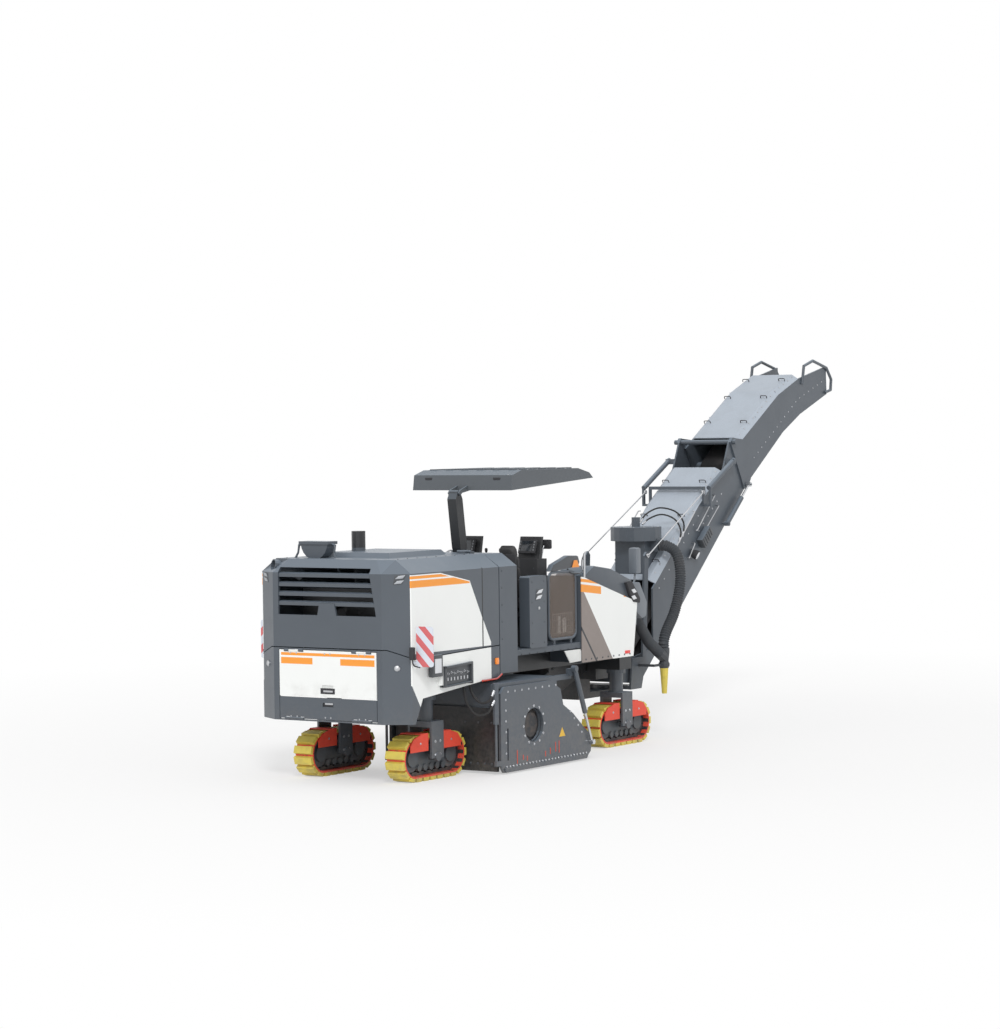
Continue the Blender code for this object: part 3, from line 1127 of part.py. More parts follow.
def canopy():
    """The leaning post on its hinge, and the ribbed roof hinged on top of the post."""
    foot = Vector((POST_X, 0, POST_Z))
    top = foot + Vector((-POST_LEAN, 0, POST_LENGTH))
    body("canopy_post", "root", foot)
    body("canopy_roof", "canopy_post", top)
    half = POST_SIZE[0] / 2
    wide = POST_SIZE[1] / 2
    shaft = [(foot.x - POST_KNUCKLE, foot.z), (foot.x + POST_KNUCKLE, foot.z), (foot.x + half, foot.z + POST_KNUCKLE),
             (top.x + half, top.z - half), (top.x + HEAD_KNUCKLE, top.z), (top.x - HEAD_KNUCKLE, top.z),
             (top.x - half, top.z - half), (foot.x - half, foot.z + POST_KNUCKLE)]
    parts = [prism(shaft, "y", -wide, wide), rod((foot.x, -wide, foot.z), (foot.x, wide, foot.z), POST_KNUCKLE),
             rod((top.x, -wide, top.z), (top.x, wide, top.z), HEAD_KNUCKLE)]
    solid("canopy_post", "canopy_post", DARK, parts)
    outline = [(CANOPY_REAR, CANOPY_FOOT), (CANOPY_FRONT, CANOPY_FRONT_FOOT), (CANOPY_FRONT - 3 * OVER, CANOPY_TOP - 2 * OVER),
               (CANOPY_FRONT - 12 * OVER, CANOPY_TOP), (CANOPY_REAR + 8 * OVER, CANOPY_TOP), (CANOPY_REAR + OVER, CANOPY_TOP - 2 * OVER)]
    inner = [(CANOPY_REAR + CANOPY_WALL, CANOPY_FOOT - OVER), (CANOPY_FRONT - CANOPY_WALL, CANOPY_FOOT - OVER),
             (CANOPY_FRONT - 4 * OVER, CANOPY_TOP - 3 * OVER), (CANOPY_FRONT - 12 * OVER, CANOPY_TOP - CANOPY_WALL),
             (CANOPY_REAR + 8 * OVER, CANOPY_TOP - CANOPY_WALL), (CANOPY_REAR + 2 * OVER, CANOPY_TOP - 3 * OVER)]
    ear = [(top.x - HEAD_KNUCKLE, top.z), (top.x, top.z - HEAD_KNUCKLE), (top.x + HEAD_KNUCKLE, top.z),
           (CANOPY_REAR + BRACKET_REACH, CANOPY_FOOT + CANOPY_WALL), (CANOPY_REAR + BRACKET_REACH, CANOPY_TOP - CANOPY_WALL),
           (CANOPY_REAR + CANOPY_WALL / 2, CANOPY_FOOT + 2 * CANOPY_WALL), (top.x, top.z + HEAD_KNUCKLE)]
    shell = solid("shell", "root", DARK, [prism(outline, "y", -CANOPY_HALF, CANOPY_HALF)],
                  [prism(inner, "y", -CANOPY_HALF + CANOPY_WALL, CANOPY_HALF - CANOPY_WALL)])
    skin = unlinked(shell)
    parts = [skin]
    for side in (-1, 1):
        low, high = sorted((side * (wide + GAP), side * (wide + EAR_WALL)))
        parts.append(prism(ear, "y", low, high))
    for i in range(RIB_COUNT):
        y = -CANOPY_HALF * 0.8 + CANOPY_HALF * 1.6 * i / (RIB_COUNT - 1)
        parts.append(box((CANOPY_REAR + 8 * OVER, CANOPY_FRONT - 12 * OVER), (y - RIB_WIDTH / 2, y + RIB_WIDTH / 2),
                         (CANOPY_TOP - CANOPY_WALL / 2, CANOPY_TOP + RIB_HEIGHT)))
    solid("canopy_roof", "canopy_roof", DARK, parts)


RIB_COUNT = 6
RIB_WIDTH = 0.10
RIB_HEIGHT = 0.012


# Pickup conveyor under the machine

def trough(point, length, depth, floor, half, wall, floor_wall):
    """A U-shaped trough along a line given by a point function."""
    outline = [point(0, -floor), point(length, -floor), point(length, depth), point(0, depth)]
    room = [point(-OVER, floor_wall - floor), point(length + OVER, floor_wall - floor),
            point(length + OVER, depth + OVER), point(-OVER, depth + OVER)]
    return prism(outline, "y", -half - wall, half + wall), prism(room, "y", -half, half)


BELT_STEPS = 6


def pulley_size(radius):
    """The largest radius that stays inside the flats of a belt's bend."""
    return radius * cos(pi / (2 * BELT_STEPS)) - GAP


def offset_line(line, rise):
    """The side-view polyline moved square to itself by a rise."""
    points = [Vector(p) for p in line]
    last = len(points) - 1
    made = []
    for k, place in enumerate(points):
        before = (points[k] - points[k - 1] if k else points[1] - points[0]).normalized()
        after = (points[k + 1] - points[k]).normalized() if k < last else before
        mitre = (before + after).normalized()
        made.append(place + Vector((-mitre.y, mitre.x)) * rise / before.dot(mitre))
    return made


def belt_band(path, radius, half):
    """A belt round two pulleys, over a path that may bend between them."""
    runs = []
    for size in (radius, radius + BELT_WALL):
        over = offset_line(path, size)
        under = offset_line(path, -size)
        ring = []
        for spot, ahead, first in ((path[-1], Vector(path[-1]) - Vector(path[-2]), -90),
                                   (path[0], Vector(path[1]) - Vector(path[0]), 90)):
            slope = atan2(ahead.y, ahead.x)
            for i in range(BELT_STEPS + 1):
                angle = slope + radians(first + 180 * i / BELT_STEPS)
                ring.append((spot[0] + size * cos(angle), spot[1] + size * sin(angle)))
            between_ends = over[-2:0:-1] if first < 0 else under[1:-1]
            ring += [(p.x, p.y) for p in between_ends]
        runs.append(ring)
    rows = []
    for inner, outer in zip(runs[0], runs[1]):
        rows.append([(outer[0], -half, outer[1]), (outer[0], half, outer[1]),
                     (inner[0], half, inner[1]), (inner[0], -half, inner[1])])
    faces = []
    for k in range(len(rows)):
        after = (k + 1) % len(rows)
        for i in range(4):
            j = (i + 1) % 4
            faces.append((k * 4 + i, k * 4 + j, after * 4 + j, after * 4 + i))
    return closed([p for row in rows for p in row], faces)


def pickup():
    """The pickup conveyor: trough with end pulleys, and its belt."""
    outer, room = trough(pickup_point, PICKUP_LENGTH, PICKUP_DEPTH, PICKUP_FLOOR, PICKUP_HALF, CONVEYOR_WALL, BELT_WALL * 1.5)
    pulley = PICKUP_PULLEY
    parts = [outer]
    holder = solid("trough", "root", DARK, parts, [room])
    skin = unlinked(holder)
    parts = [skin]
    for along in (pulley * 1.5, PICKUP_LENGTH - pulley * 1.5):
        x, z = pickup_point(along, 0)
        parts.append(rod((x, -PICKUP_HALF - CONVEYOR_WALL / 2, z), (x, PICKUP_HALF + CONVEYOR_WALL / 2, z), pulley_size(pulley),
                         steps=FINE_STEPS))
    for share in PICKUP_HANGERS:
        x, z = pickup_point(PICKUP_LENGTH * share, PICKUP_DEPTH / 2)
        for side in (-1, 1):
            low, high = sorted((side * (PICKUP_HALF + CONVEYOR_WALL / 2), side * (RAIL_Y - RAIL_WIDTH / 2 - GAP)))
            parts.append(box((x - OVER, x + OVER), (low, high), (RAIL_FOOT, RAIL_FOOT + 2 * OVER)))
            parts.append(box((x - OVER, x + OVER), sorted((side * (PICKUP_HALF + CONVEYOR_WALL / 2), side * (PICKUP_HALF + CONVEYOR_WALL))),
                             (z - OVER, RAIL_FOOT + 2 * OVER)))
    solid("pickup_conveyor", "root", STEEL, parts)
    path = [pickup_point(along, 0) for along in (pulley * 1.5, PICKUP_LENGTH - pulley * 1.5)]
    band = belt_band(path, pulley, PICKUP_HALF - CLEAR)
    solid("pickup_belt", "root", RUBBER, [band])


PICKUP_HANGERS = (0.40, 0.62)


# Slewing bracket and the two sections of the discharge conveyor

CHEEK_WALL = 0.03
CHEEK_GAP = 0.03
TURNTABLE_RADIUS = 0.17
TURNTABLE_HEIGHT = 0.05
CHEEK_TOP = 1.08
# Places ahead of the slewing axis: foot and top corners of a cheek, and the foot of its mast
CHEEK_STEPS = (-0.13, 0.15, 0.29, -0.08)
MAST_STEPS = (0.18, 0.28)
MAST_TOP = (0.50, 2.44)
MAST_SIZE = 0.05
PIN_RADIUS = 0.05
LOWER_LINE = ((-0.16, 0.90), (-0.04, 0.76), (0.20, 0.735), (0.46, 0.79), (3.36, 3.31))
# Side view of the lower section's side tops, from the mouth to the fold
LOWER_TOP = ((0.75, 1.98), (2.03, 3.08), (2.80, 3.62), (2.99, 3.79))
# Top of the mouth's sides at the rear and where the cover begins
MOUTH_TOPS = (1.01, 1.18)
COVER_RISE = 0.07


def between(a, b, share):
    """A point between two points of the side view."""
    return (a[0] + (b[0] - a[0]) * share, a[1] + (b[1] - a[1]) * share)


LOWER_SLOPE = atan2(LOWER_LINE[4][1] - LOWER_LINE[3][1], LOWER_LINE[4][0] - LOWER_LINE[3][0])


def lower_point(along, up):
    """A point of the side view along the lower section's floor and square to it."""
    return (LOWER_LINE[3][0] + along * cos(LOWER_SLOPE) - up * sin(LOWER_SLOPE),
            LOWER_LINE[3][1] + along * sin(LOWER_SLOPE) + up * cos(LOWER_SLOPE))


LOWER_LENGTH = hypot(LOWER_LINE[4][0] - LOWER_LINE[3][0], LOWER_LINE[4][1] - LOWER_LINE[3][1])


def slew_bracket():
    """The turntable, cheeks and mast that carry the discharge conveyor and its stays."""
    body("slew_bracket", "root", (SLEW_X, 0, BEARING_TOP))
    foot = BEARING_TOP + GAP
    inner = CONVEYOR_HALF + CHEEK_GAP
    outer = inner + CHEEK_WALL
    plate_top = foot + TURNTABLE_HEIGHT
    parts = [rod((SLEW_X, 0, foot), (SLEW_X, 0, plate_top), TURNTABLE_RADIUS, steps=FINE_STEPS),
             box((SLEW_X - TURNTABLE_RADIUS * 0.7, SLEW_X + TURNTABLE_RADIUS * 0.7), (-outer, outer), (foot, plate_top))]
    cheek = [(SLEW_X + CHEEK_STEPS[0], foot), (SLEW_X + CHEEK_STEPS[1], foot), (SLEW_X + CHEEK_STEPS[2], CHEEK_TOP),
             (SLEW_X + CHEEK_STEPS[3], CHEEK_TOP)]
    mast = [(SLEW_X + MAST_STEPS[0], LIFT_Z), (SLEW_X + MAST_STEPS[1], LIFT_Z), (MAST_TOP[0] + MAST_SIZE, MAST_TOP[1]),
            (MAST_TOP[0], MAST_TOP[1] + MAST_SIZE), (MAST_TOP[0] - MAST_SIZE, MAST_TOP[1])]
    for side in (-1, 1):
        low, high = sorted((side * inner, side * outer))
        parts.append(prism(cheek, "y", low, high))
        parts.append(prism(mast, "y", low, high))
        low, high = sorted((side * (outer - OVER / 2), side * (outer + STAY_EYE_WALL + CLEAR)))
        parts.append(rod((MAST_TOP[0], low, MAST_TOP[1]), (MAST_TOP[0], high, MAST_TOP[1]), STAY_PIN_RADIUS, steps=FINE_STEPS))
    return solid("slew_bracket", "slew_bracket", DARK, parts)


LOWER_PULLEY = 0.10
LUG_HALF = 0.06
LUG_REACH = 0.30
FOLD_REACH = 0.50
FOLD_RADIUS = 0.035
BELT_HALF = 0.32
FOLD_FOOT = (2.70, 2.80)
FOLD_EYE = (3.34, 3.34)
FOLD_BARREL_RADIUS = 0.034
FOLD_ROD_RADIUS = 0.017
FOLD_PIN_RADIUS = 0.014
FOLD_CYLINDER_Y = CONVEYOR_HALF + CONVEYOR_WALL + FOLD_BARREL_RADIUS + CLEAR
STAY_Y = 0.47
STAY_BAR = (2.14, 3.315)
STAY_BAR_SIZE = 0.022
STAY_BAR_FOOT = 3.09
STAY_CYLINDER_HEAD = (2.84, 3.70)
STAY_CYLINDER_RADIUS = 0.036
STAY_LANE = 0.022
STAY_ARM_WALL = 0.03
STAY_EYE = (2.07, 3.26)
STAY_EYE_RADIUS = 0.028
STAY_PIN_RADIUS = 0.012


def cover(line, reach, rise, inset):
    """A sheet cover with sloped sides along a side-view line, open below."""
    low = offset_line(line, GAP)
    high = offset_line(line, rise)
    under = offset_line(line, rise - CONVEYOR_WALL / 2)
    narrow = reach - inset
    wall = CONVEYOR_WALL
    layers = []
    for foot, top, below in zip(low, high, under):
        layers.append([(foot.x, -reach, foot.y), (top.x, -narrow, top.y), (top.x, narrow, top.y), (foot.x, reach, foot.y),
                       (foot.x, reach - wall, foot.y), (below.x, narrow - wall / 2, below.y),
                       (below.x, -narrow + wall / 2, below.y), (foot.x, -reach + wall, foot.y)])
    return stack(layers)


def fold_pins(place, start):
    """The two pins that a pair of folding cylinders hangs on."""
    pins = []
    for hand in (-1, 1):
        low, high = sorted((hand * start, hand * (FOLD_CYLINDER_Y + FOLD_BARREL_RADIUS + CLEAR)))
        pins.append(rod((place[0], low, place[1]), (place[0], high, place[1]), FOLD_PIN_RADIUS, steps=FINE_STEPS))
    return pins


def conveyor_lower():
    """The lower section: U-shaped trough with hopper, fold lugs and stay cylinders, belt, and top cover."""
    body("conveyor_lower", "slew_bracket", (SLEW_X, 0, LIFT_Z))
    hopper_rear = LOWER_LINE[0][0]
    side = list(LOWER_LINE) + list(reversed(LOWER_TOP)) + [(MOUTH_X, MOUTH_TOPS[1]), (hopper_rear, MOUTH_TOPS[0])]
    wall = CONVEYOR_WALL
    floor = [(p.x, p.y) for p in offset_line(LOWER_LINE[1:], wall)]
    ahead = Vector(floor[-1]) - Vector(floor[-2])
    far = Vector(floor[-1]) + ahead.normalized() * OVER
    room_outline = [(hopper_rear + wall, LOWER_LINE[0][1] + wall / 2)] + floor[:-1]
    room_outline += [(far.x, far.y), (far.x, LOWER_TOP[3][1] + LUG_REACH), (hopper_rear + wall, LOWER_TOP[3][1] + LUG_REACH)]
    outer = prism(side, "y", -CONVEYOR_HALF, CONVEYOR_HALF)
    room = prism(room_outline, "y", -CONVEYOR_HALF + wall, CONVEYOR_HALF - wall)
    parts = [unlinked(solid("shell", "root", DARK, [outer], [room]))]
    lift = wall + LOWER_PULLEY + BELT_WALL + CLEAR
    tail = (LOWER_LINE[2][0], LOWER_LINE[2][1] + lift)
    head = lower_point(LOWER_LENGTH - LOWER_PULLEY, lift)
    for x, z in (tail, head):
        parts.append(rod((x, -CONVEYOR_HALF + wall / 2, z), (x, CONVEYOR_HALF - wall / 2, z), pulley_size(LOWER_PULLEY),
                         steps=FINE_STEPS))
    boss = CONVEYOR_HALF + CHEEK_GAP - GAP
    top = LOWER_TOP[3]
    lug = [(top[0] - LUG_REACH, top[1] - LUG_REACH), (FOLD_X - LUG_HALF, FOLD_Z), (FOLD_X, FOLD_Z + LUG_HALF),
           (FOLD_X + LUG_HALF, FOLD_Z), (top[0] + OVER, top[1] - 2 * OVER)]
    for hand in (-1, 1):
        low, high = sorted((hand * (CONVEYOR_HALF - wall / 2), hand * boss))
        parts.append(rod((SLEW_X, low, LIFT_Z), (SLEW_X, high, LIFT_Z), PIN_RADIUS))
        low, high = sorted((hand * (CONVEYOR_HALF - wall), hand * CONVEYOR_HALF))
        parts.append(prism(lug, "y", low, high))
        y = hand * (STAY_Y + STAY_LANE + STAY_CYLINDER_RADIUS)
        x, z = STAY_BAR
        start = Vector((x - STAY_BAR_SIZE, y, z))
        end = Vector((STAY_CYLINDER_HEAD[0], y, STAY_CYLINDER_HEAD[1]))
        parts.append(rod(start, end, STAY_CYLINDER_RADIUS))
        low, high = sorted((hand * (CONVEYOR_HALF - wall / 2), y + hand * OVER))
        parts.append(box((end.x - 2 * OVER, end.x + OVER / 2), (low, high), (end.z - 2 * OVER, end.z + OVER / 2)))
    x, z = STAY_BAR
    span = (x - STAY_BAR_SIZE, x + STAY_BAR_SIZE)
    inner = STAY_Y - STAY_LANE
    parts.append(box(span, (-inner, inner), (z - STAY_BAR_SIZE, z + STAY_BAR_SIZE)))
    outer = STAY_Y + STAY_LANE + STAY_CYLINDER_RADIUS
    for hand in (-1, 1):
        low, high = sorted((hand * (CONVEYOR_HALF + GAP), hand * inner))
        parts.append(box(span, (low, high), (STAY_BAR_FOOT - OVER, z)))
        low, high = sorted((hand * (CONVEYOR_HALF - wall / 2), hand * (outer + STAY_ARM_WALL)))
        parts.append(box(span, (low, high), (STAY_BAR_FOOT - OVER, STAY_BAR_FOOT)))
        low, high = sorted((hand * outer, hand * (outer + STAY_ARM_WALL)))
        parts.append(box(span, (low, high), (STAY_BAR_FOOT - OVER, z + STAY_BAR_SIZE)))
    parts.append(rod((FOLD_X, -FOLD_REACH, FOLD_Z), (FOLD_X, FOLD_REACH, FOLD_Z), FOLD_RADIUS))
    parts += fold_pins(FOLD_FOOT, CONVEYOR_HALF - wall / 2)
    solid("conveyor_lower_frame", "conveyor_lower", DARK, parts)
    line = [between(LOWER_TOP[0], LOWER_TOP[1], COVER_START_SHARE / 2), LOWER_TOP[1],
            between(LOWER_TOP[1], LOWER_TOP[2], COVER_END_SHARE)]
    solid("conveyor_lower_cover", "conveyor_lower", LIGHT, [cover(line, CONVEYOR_HALF, COVER_RISE, COVER_INSET)])
    solid("conveyor_lower_belt", "conveyor_lower", RUBBER, [belt_band([tail, head], LOWER_PULLEY, BELT_HALF)])


COVER_START_SHARE = 0.12
COVER_END_SHARE = 0.85
# Side view of the upper section: floor and top corners from the fold to the tip
UPPER_FLOOR = ((3.42, 3.36), (4.50, 4.08), (5.03, 4.34), (5.88, 4.64))
UPPER_TOP = ((3.08, 3.86), (4.36, 4.62), (4.98, 4.86), (5.86, 5.05))


def conveyor_upper():
    """The upper section: bent trough with its belt, cover, tip pulley and guard hoops."""
    body("conveyor_upper", "conveyor_lower", (FOLD_X, 0, FOLD_Z))
    wall = CONVEYOR_WALL
    outline = list(UPPER_FLOOR) + list(reversed(UPPER_TOP))
    outer = prism(outline, "y", -CONVEYOR_HALF, CONVEYOR_HALF)
    floor = []
    for k, (x, z) in enumerate(UPPER_FLOOR):
        shift = -2 * OVER if k == 0 else (2 * OVER if k == len(UPPER_FLOOR) - 1 else 0)
        floor.append((x + shift, z + shift * 0.6 + wall * 1.2))
    top = []
    for k, (x, z) in enumerate(UPPER_TOP):
        shift = -2 * OVER if k == 0 else (2 * OVER if k == len(UPPER_TOP) - 1 else 0)
        top.append((x + shift, z + shift * 0.6 + 2 * OVER))
    room = prism(floor + list(reversed(top)), "y", -CONVEYOR_HALF + wall, CONVEYOR_HALF - wall)
    shell = solid("shell", "root", DARK, [outer], [room])
    skin = unlinked(shell)
    parts = [skin]
    path = offset_line(UPPER_FLOOR, wall + OVER + UPPER_PULLEY + BELT_WALL)
    for k, slide in ((0, UPPER_PULLEY + 2 * OVER), (-1, -UPPER_PULLEY * UPPER_TIP_SHARE)):
        ahead = (path[1] - path[0] if k == 0 else path[-1] - path[-2]).normalized()
        path[k] = path[k] + ahead * slide
    path = [(p.x, p.y) for p in path]
    tail, head = path[0], path[-1]
    for x, z in (tail, head):
        parts.append(rod((x, -CONVEYOR_HALF + wall / 2, z), (x, CONVEYOR_HALF - wall / 2, z), pulley_size(UPPER_PULLEY), steps=FINE_STEPS))
    knuckle_half = FOLD_RADIUS * 1.7
    for hand in (-1, 1):
        low, high = sorted((hand * (CONVEYOR_HALF + GAP), hand * (CONVEYOR_HALF + wall)))
        arm = [(FOLD_X - knuckle_half, FOLD_Z), (FOLD_X, FOLD_Z + knuckle_half), (UPPER_TOP[0][0] + 8 * OVER, UPPER_TOP[0][1] + 4 * OVER),
               (UPPER_TOP[0][0] + 8 * OVER, UPPER_TOP[0][1] - 2 * OVER), (UPPER_FLOOR[0][0] + 2 * OVER, UPPER_FLOOR[0][1] + 2 * OVER),
               (FOLD_EYE[0] + LUG_HALF / 2, FOLD_EYE[1] - LUG_HALF), (FOLD_EYE[0] - LUG_HALF, FOLD_EYE[1] - LUG_HALF),
               (FOLD_EYE[0] - 2 * LUG_HALF, FOLD_EYE[1] + LUG_HALF)]
        parts.append(prism(arm, "y", low, high))
        low, high = sorted((hand * (CONVEYOR_HALF - wall / 2), hand * (CONVEYOR_HALF + wall / 2)))
        foot = UPPER_TOP[0]
        parts.append(prism([(foot[0] + 3 * OVER, foot[1] - 3 * OVER), (foot[0] + 6 * OVER, foot[1] - 2 * OVER),
                            (foot[0] + 6 * OVER, foot[1] - OVER), (foot[0] + 3 * OVER, foot[1] - 2 * OVER)], "y", low, high))
        y = hand * (CONVEYOR_HALF + HOOP_RADIUS * 0.6)
        parts.append(pipe([(x, y, z) for x, z in HOOP_PATH], HOOP_RADIUS, 8))
    parts += fold_pins(FOLD_EYE, CONVEYOR_HALF + wall / 2)
    cuts = []
    for hand in (-1, 1):
        low, high = sorted((hand * CONVEYOR_HALF, hand * (FOLD_REACH + OVER)))
        cuts.append(rod((FOLD_X, low, FOLD_Z), (FOLD_X, high, FOLD_Z), FOLD_RADIUS + FOLD_PLAY, steps=FINE_STEPS))
    solid("conveyor_upper_frame", "conveyor_upper", DARK, parts, cuts)
    line = [between(UPPER_TOP[0], UPPER_TOP[1], COVER_START_SHARE), UPPER_TOP[1], UPPER_TOP[2]]
    solid("conveyor_upper_cover", "conveyor_upper", LIGHT, [cover(line, CONVEYOR_HALF, COVER_RISE, COVER_INSET)])
    solid("conveyor_upper_belt", "conveyor_upper", RUBBER, [belt_band(path, UPPER_PULLEY, BELT_HALF)])


UPPER_TIP_SHARE = 0.4
UPPER_PULLEY = 0.09
FOLD_PLAY = 0.002
HOOP_RADIUS = 0.022
HOOP_PATH = ((5.08, 4.78), (5.14, 5.05), (5.42, 5.13), (5.85, 5.03), (6.00, 4.86), (5.98, 4.70), (5.80, 4.66))

STAY_RADIUS = 0.009
STAY_EYE_WALL = 0.018


def stays():
    """The taut stays from the mast's pins to the cylinders on the conveyor."""
    for hand, side in (("right", -1), ("left", 1)):
        name = "stay_" + hand
        y = side * STAY_Y
        start = Vector((MAST_TOP[0], y + side * CHEEK_WALL, MAST_TOP[1]))
        end = Vector((STAY_EYE[0], y, STAY_EYE[1]))
        body(name, "slew_bracket", start)
        parts = [rod(start, end, STAY_RADIUS, steps=8)]
        cuts = []
        for place in (start, end):
            half = Vector((0, STAY_EYE_WALL / 2, 0))
            parts.append(rod(place - half, place + half, STAY_EYE_RADIUS))
            cuts.append(rod(place - 2 * half, place + 2 * half, STAY_PIN_RADIUS + GAP, steps=FINE_STEPS))
        solid(name, name, SILVER, parts, cuts)


# Folding cylinders at the lower edge of the fold

BARREL_SHARE = 0.66
BORE_SHARE = 0.12
ROD_START_SHARE = 0.16


def fold_cylinders():
    """The cylinders that fold the upper section, each a barrel with its sliding rod."""
    for hand, side in (("right", -1), ("left", 1)):
        y = side * FOLD_CYLINDER_Y
        foot = Vector((FOLD_FOOT[0], y, FOLD_FOOT[1]))
        eye = Vector((FOLD_EYE[0], y, FOLD_EYE[1]))
        barrel = "fold_barrel_" + hand
        piston = "fold_rod_" + hand
        body(barrel, "conveyor_lower", foot)
        body(piston, barrel, eye)
        half = Vector((0, FOLD_BARREL_RADIUS, 0))
        span = eye - foot
        pin = [rod(foot - 2 * half, foot + 2 * half, FOLD_PIN_RADIUS + GAP, steps=FINE_STEPS)]
        bore = rod(foot + span * BORE_SHARE, foot + span * (BARREL_SHARE + BORE_SHARE), FOLD_ROD_RADIUS + SLIDE_PLAY)
        parts = [rod(foot, foot + span * BARREL_SHARE, FOLD_BARREL_RADIUS), rod(foot - half, foot + half, FOLD_BARREL_RADIUS)]
        solid(barrel, barrel, DARK, parts, pin + [bore])
        pin = [rod(eye - 2 * half, eye + 2 * half, FOLD_PIN_RADIUS + GAP, steps=FINE_STEPS)]
        parts = [rod(foot + span * ROD_START_SHARE, eye, FOLD_ROD_RADIUS), rod(eye - half, eye + half, FOLD_BARREL_RADIUS)]
        solid(piston, piston, SILVER, parts, pin)


# Dust extraction: fan on the conveyor, hoses, and the outlet

FAN_PLACE = (1.02, 0.0, 2.62)
FAN_CASE_RADIUS = 0.35
FAN_CASE_HEIGHT = 0.19
FAN_MOTOR_RADIUS = 0.06
FAN_MOTOR_HEIGHT = 0.13
FAN_STAND_X = (0.86, 1.24)
FAN_STAND_HALF = 0.24
HOSE_RADIUS = 0.075
HOSE_PITCH = 0.055
HOSE_STEPS = 10
ARM_X = 0.27
FORK_PLACE = (0.50, -0.735, 1.20)
STUB_STEP = (-0.14, 0.0, 0.08)
STUB_FOOT = 1.07
OUTLET_TOP_RADIUS = 0.06
OUTLET_TIP_RADIUS = 0.035
OUTLET_TOP = 0.93
OUTLET_TIP = 0.585
DUCT_X = (-0.86, -0.50)
DUCT_Y = (-0.92, -0.68)
DUCT_Z = (1.58, 1.80)
# Routes of the two hoses, each from its inlet down to the fork
LONG_HOSE = ((1.06, -0.36, 2.55), (1.06, -0.46, 2.55), (1.05, -0.63, 2.44), (0.97, -0.73, 2.10), (0.80, -0.74, 1.70),
             (0.57, -0.735, 1.42), (0.50, -0.735, 1.29), (FORK_PLACE[0], FORK_PLACE[1], FORK_PLACE[2] + GAP))
SHORT_HOSE = ((DUCT_X[1] + GAP, -0.80, 1.69), (-0.40, -0.80, 1.69), (-0.15, -0.78, 1.49), (0.08, -0.75, 1.31))


def cover_point(x):
    """Height of the lower section's cover at an x near the mouth."""
    slope = (LOWER_TOP[1][1] - LOWER_TOP[0][1]) / (LOWER_TOP[1][0] - LOWER_TOP[0][0])
    return LOWER_TOP[0][1] + slope * (x - LOWER_TOP[0][0]) + COVER_RISE * hypot(1.0, slope)


def dust_system():
    """The extraction fan, its two hoses, and the fork with the outlet cone."""
    x, y, z = FAN_PLACE
    inlet = LONG_HOSE[0]
    rear, front = FAN_STAND_X
    stand = [(rear, cover_point(rear) + GAP), (front, cover_point(front) + GAP), (front, z + OVER), (rear, z + OVER)]
    parts = [rod((x, y, z), (x, y, z + FAN_CASE_HEIGHT), FAN_CASE_RADIUS, steps=FINE_STEPS),
             rod((x, y, z + FAN_CASE_HEIGHT - OVER), (x, y, z + FAN_CASE_HEIGHT + FAN_MOTOR_HEIGHT), FAN_MOTOR_RADIUS, steps=8),
             prism(stand, "y", -FAN_STAND_HALF, FAN_STAND_HALF),
             box((inlet[0] - HOSE_RADIUS, inlet[0] + HOSE_RADIUS), (inlet[1] + GAP, y - FAN_STAND_HALF + OVER), (inlet[2] - HOSE_RADIUS, z + OVER))]
    solid("dust_fan", "conveyor_lower", DARK, parts)
    x, y, z = FORK_PLACE
    stub_foot = Vector((x, y, STUB_FOOT))
    stub_end = stub_foot + Vector(STUB_STEP)
    along = Vector(STUB_STEP).normalized()
    short = list(SHORT_HOSE) + [stub_end + along * HOSE_RADIUS, stub_end + along * GAP]
    for name, holder, route in (("dust_hose_long", "slew_bracket", LONG_HOSE), ("dust_hose_short", "root", short)):
        solid(name, holder, PLASTIC, [pipe(smooth_route(route), HOSE_RADIUS, HOSE_STEPS)])
    foot = OUTLET_TOP
    profile = [(OUTLET_TOP_RADIUS, foot), (HOSE_RADIUS, foot + OVER), (HOSE_RADIUS, foot + 2 * OVER),
               (OUTLET_TOP_RADIUS, foot + 3 * OVER), (HOSE_RADIUS, z - 2 * OVER), (HOSE_RADIUS, z)]
    outer = CONVEYOR_HALF + CHEEK_GAP + CHEEK_WALL
    parts = [turned(profile, "z", (x, y, 0), ROUND_STEPS), rod(stub_foot, stub_end, HOSE_RADIUS, steps=HOSE_STEPS),
             box((ARM_X - OVER, x + OVER), (y, y + OVER), (foot + OVER, foot + 2 * OVER)),
             box((ARM_X - OVER, ARM_X + OVER), (y, -outer - GAP), (foot + OVER, foot + 2 * OVER)),
             rod((x, y, foot + OVER / 2), (x, y, OUTLET_TIP), OUTLET_TOP_RADIUS, OUTLET_TIP_RADIUS)]
    solid("dust_outlet", "slew_bracket", YELLOW, parts)


def smooth_route(points, steps=3):
    """A smooth curve through the points of a route, straight in its first and last stretch."""
    ends = [Vector(points[0]), Vector(points[-1])]
    points = [Vector(p) for p in points[1:-1]]
    made = [ends[0]]
    for k in range(len(points) - 1):
        a = points[max(k - 1, 0)]
        b = points[k]
        c = points[k + 1]
        d = points[min(k + 2, len(points) - 1)]
        for i in range(steps):
            t = i / steps
            made.append(0.5 * (2 * b + (c - a) * t + (2 * a - 5 * b + 4 * c - d) * t * t + (3 * b - a - 3 * c + d) * t ** 3))
    return made + [points[-1], ends[1]]


# Side guard with its pane

GUARD_X = (-2.82, -2.19)
GUARD_Z = (1.53, 2.37)
GUARD_INSET = 0.06
GUARD_Y = -HULL_HALF + GUARD_INSET
TUBE_RADIUS = 0.017
PANE_WALL = 0.006
PANE_PLAY = 0.0012


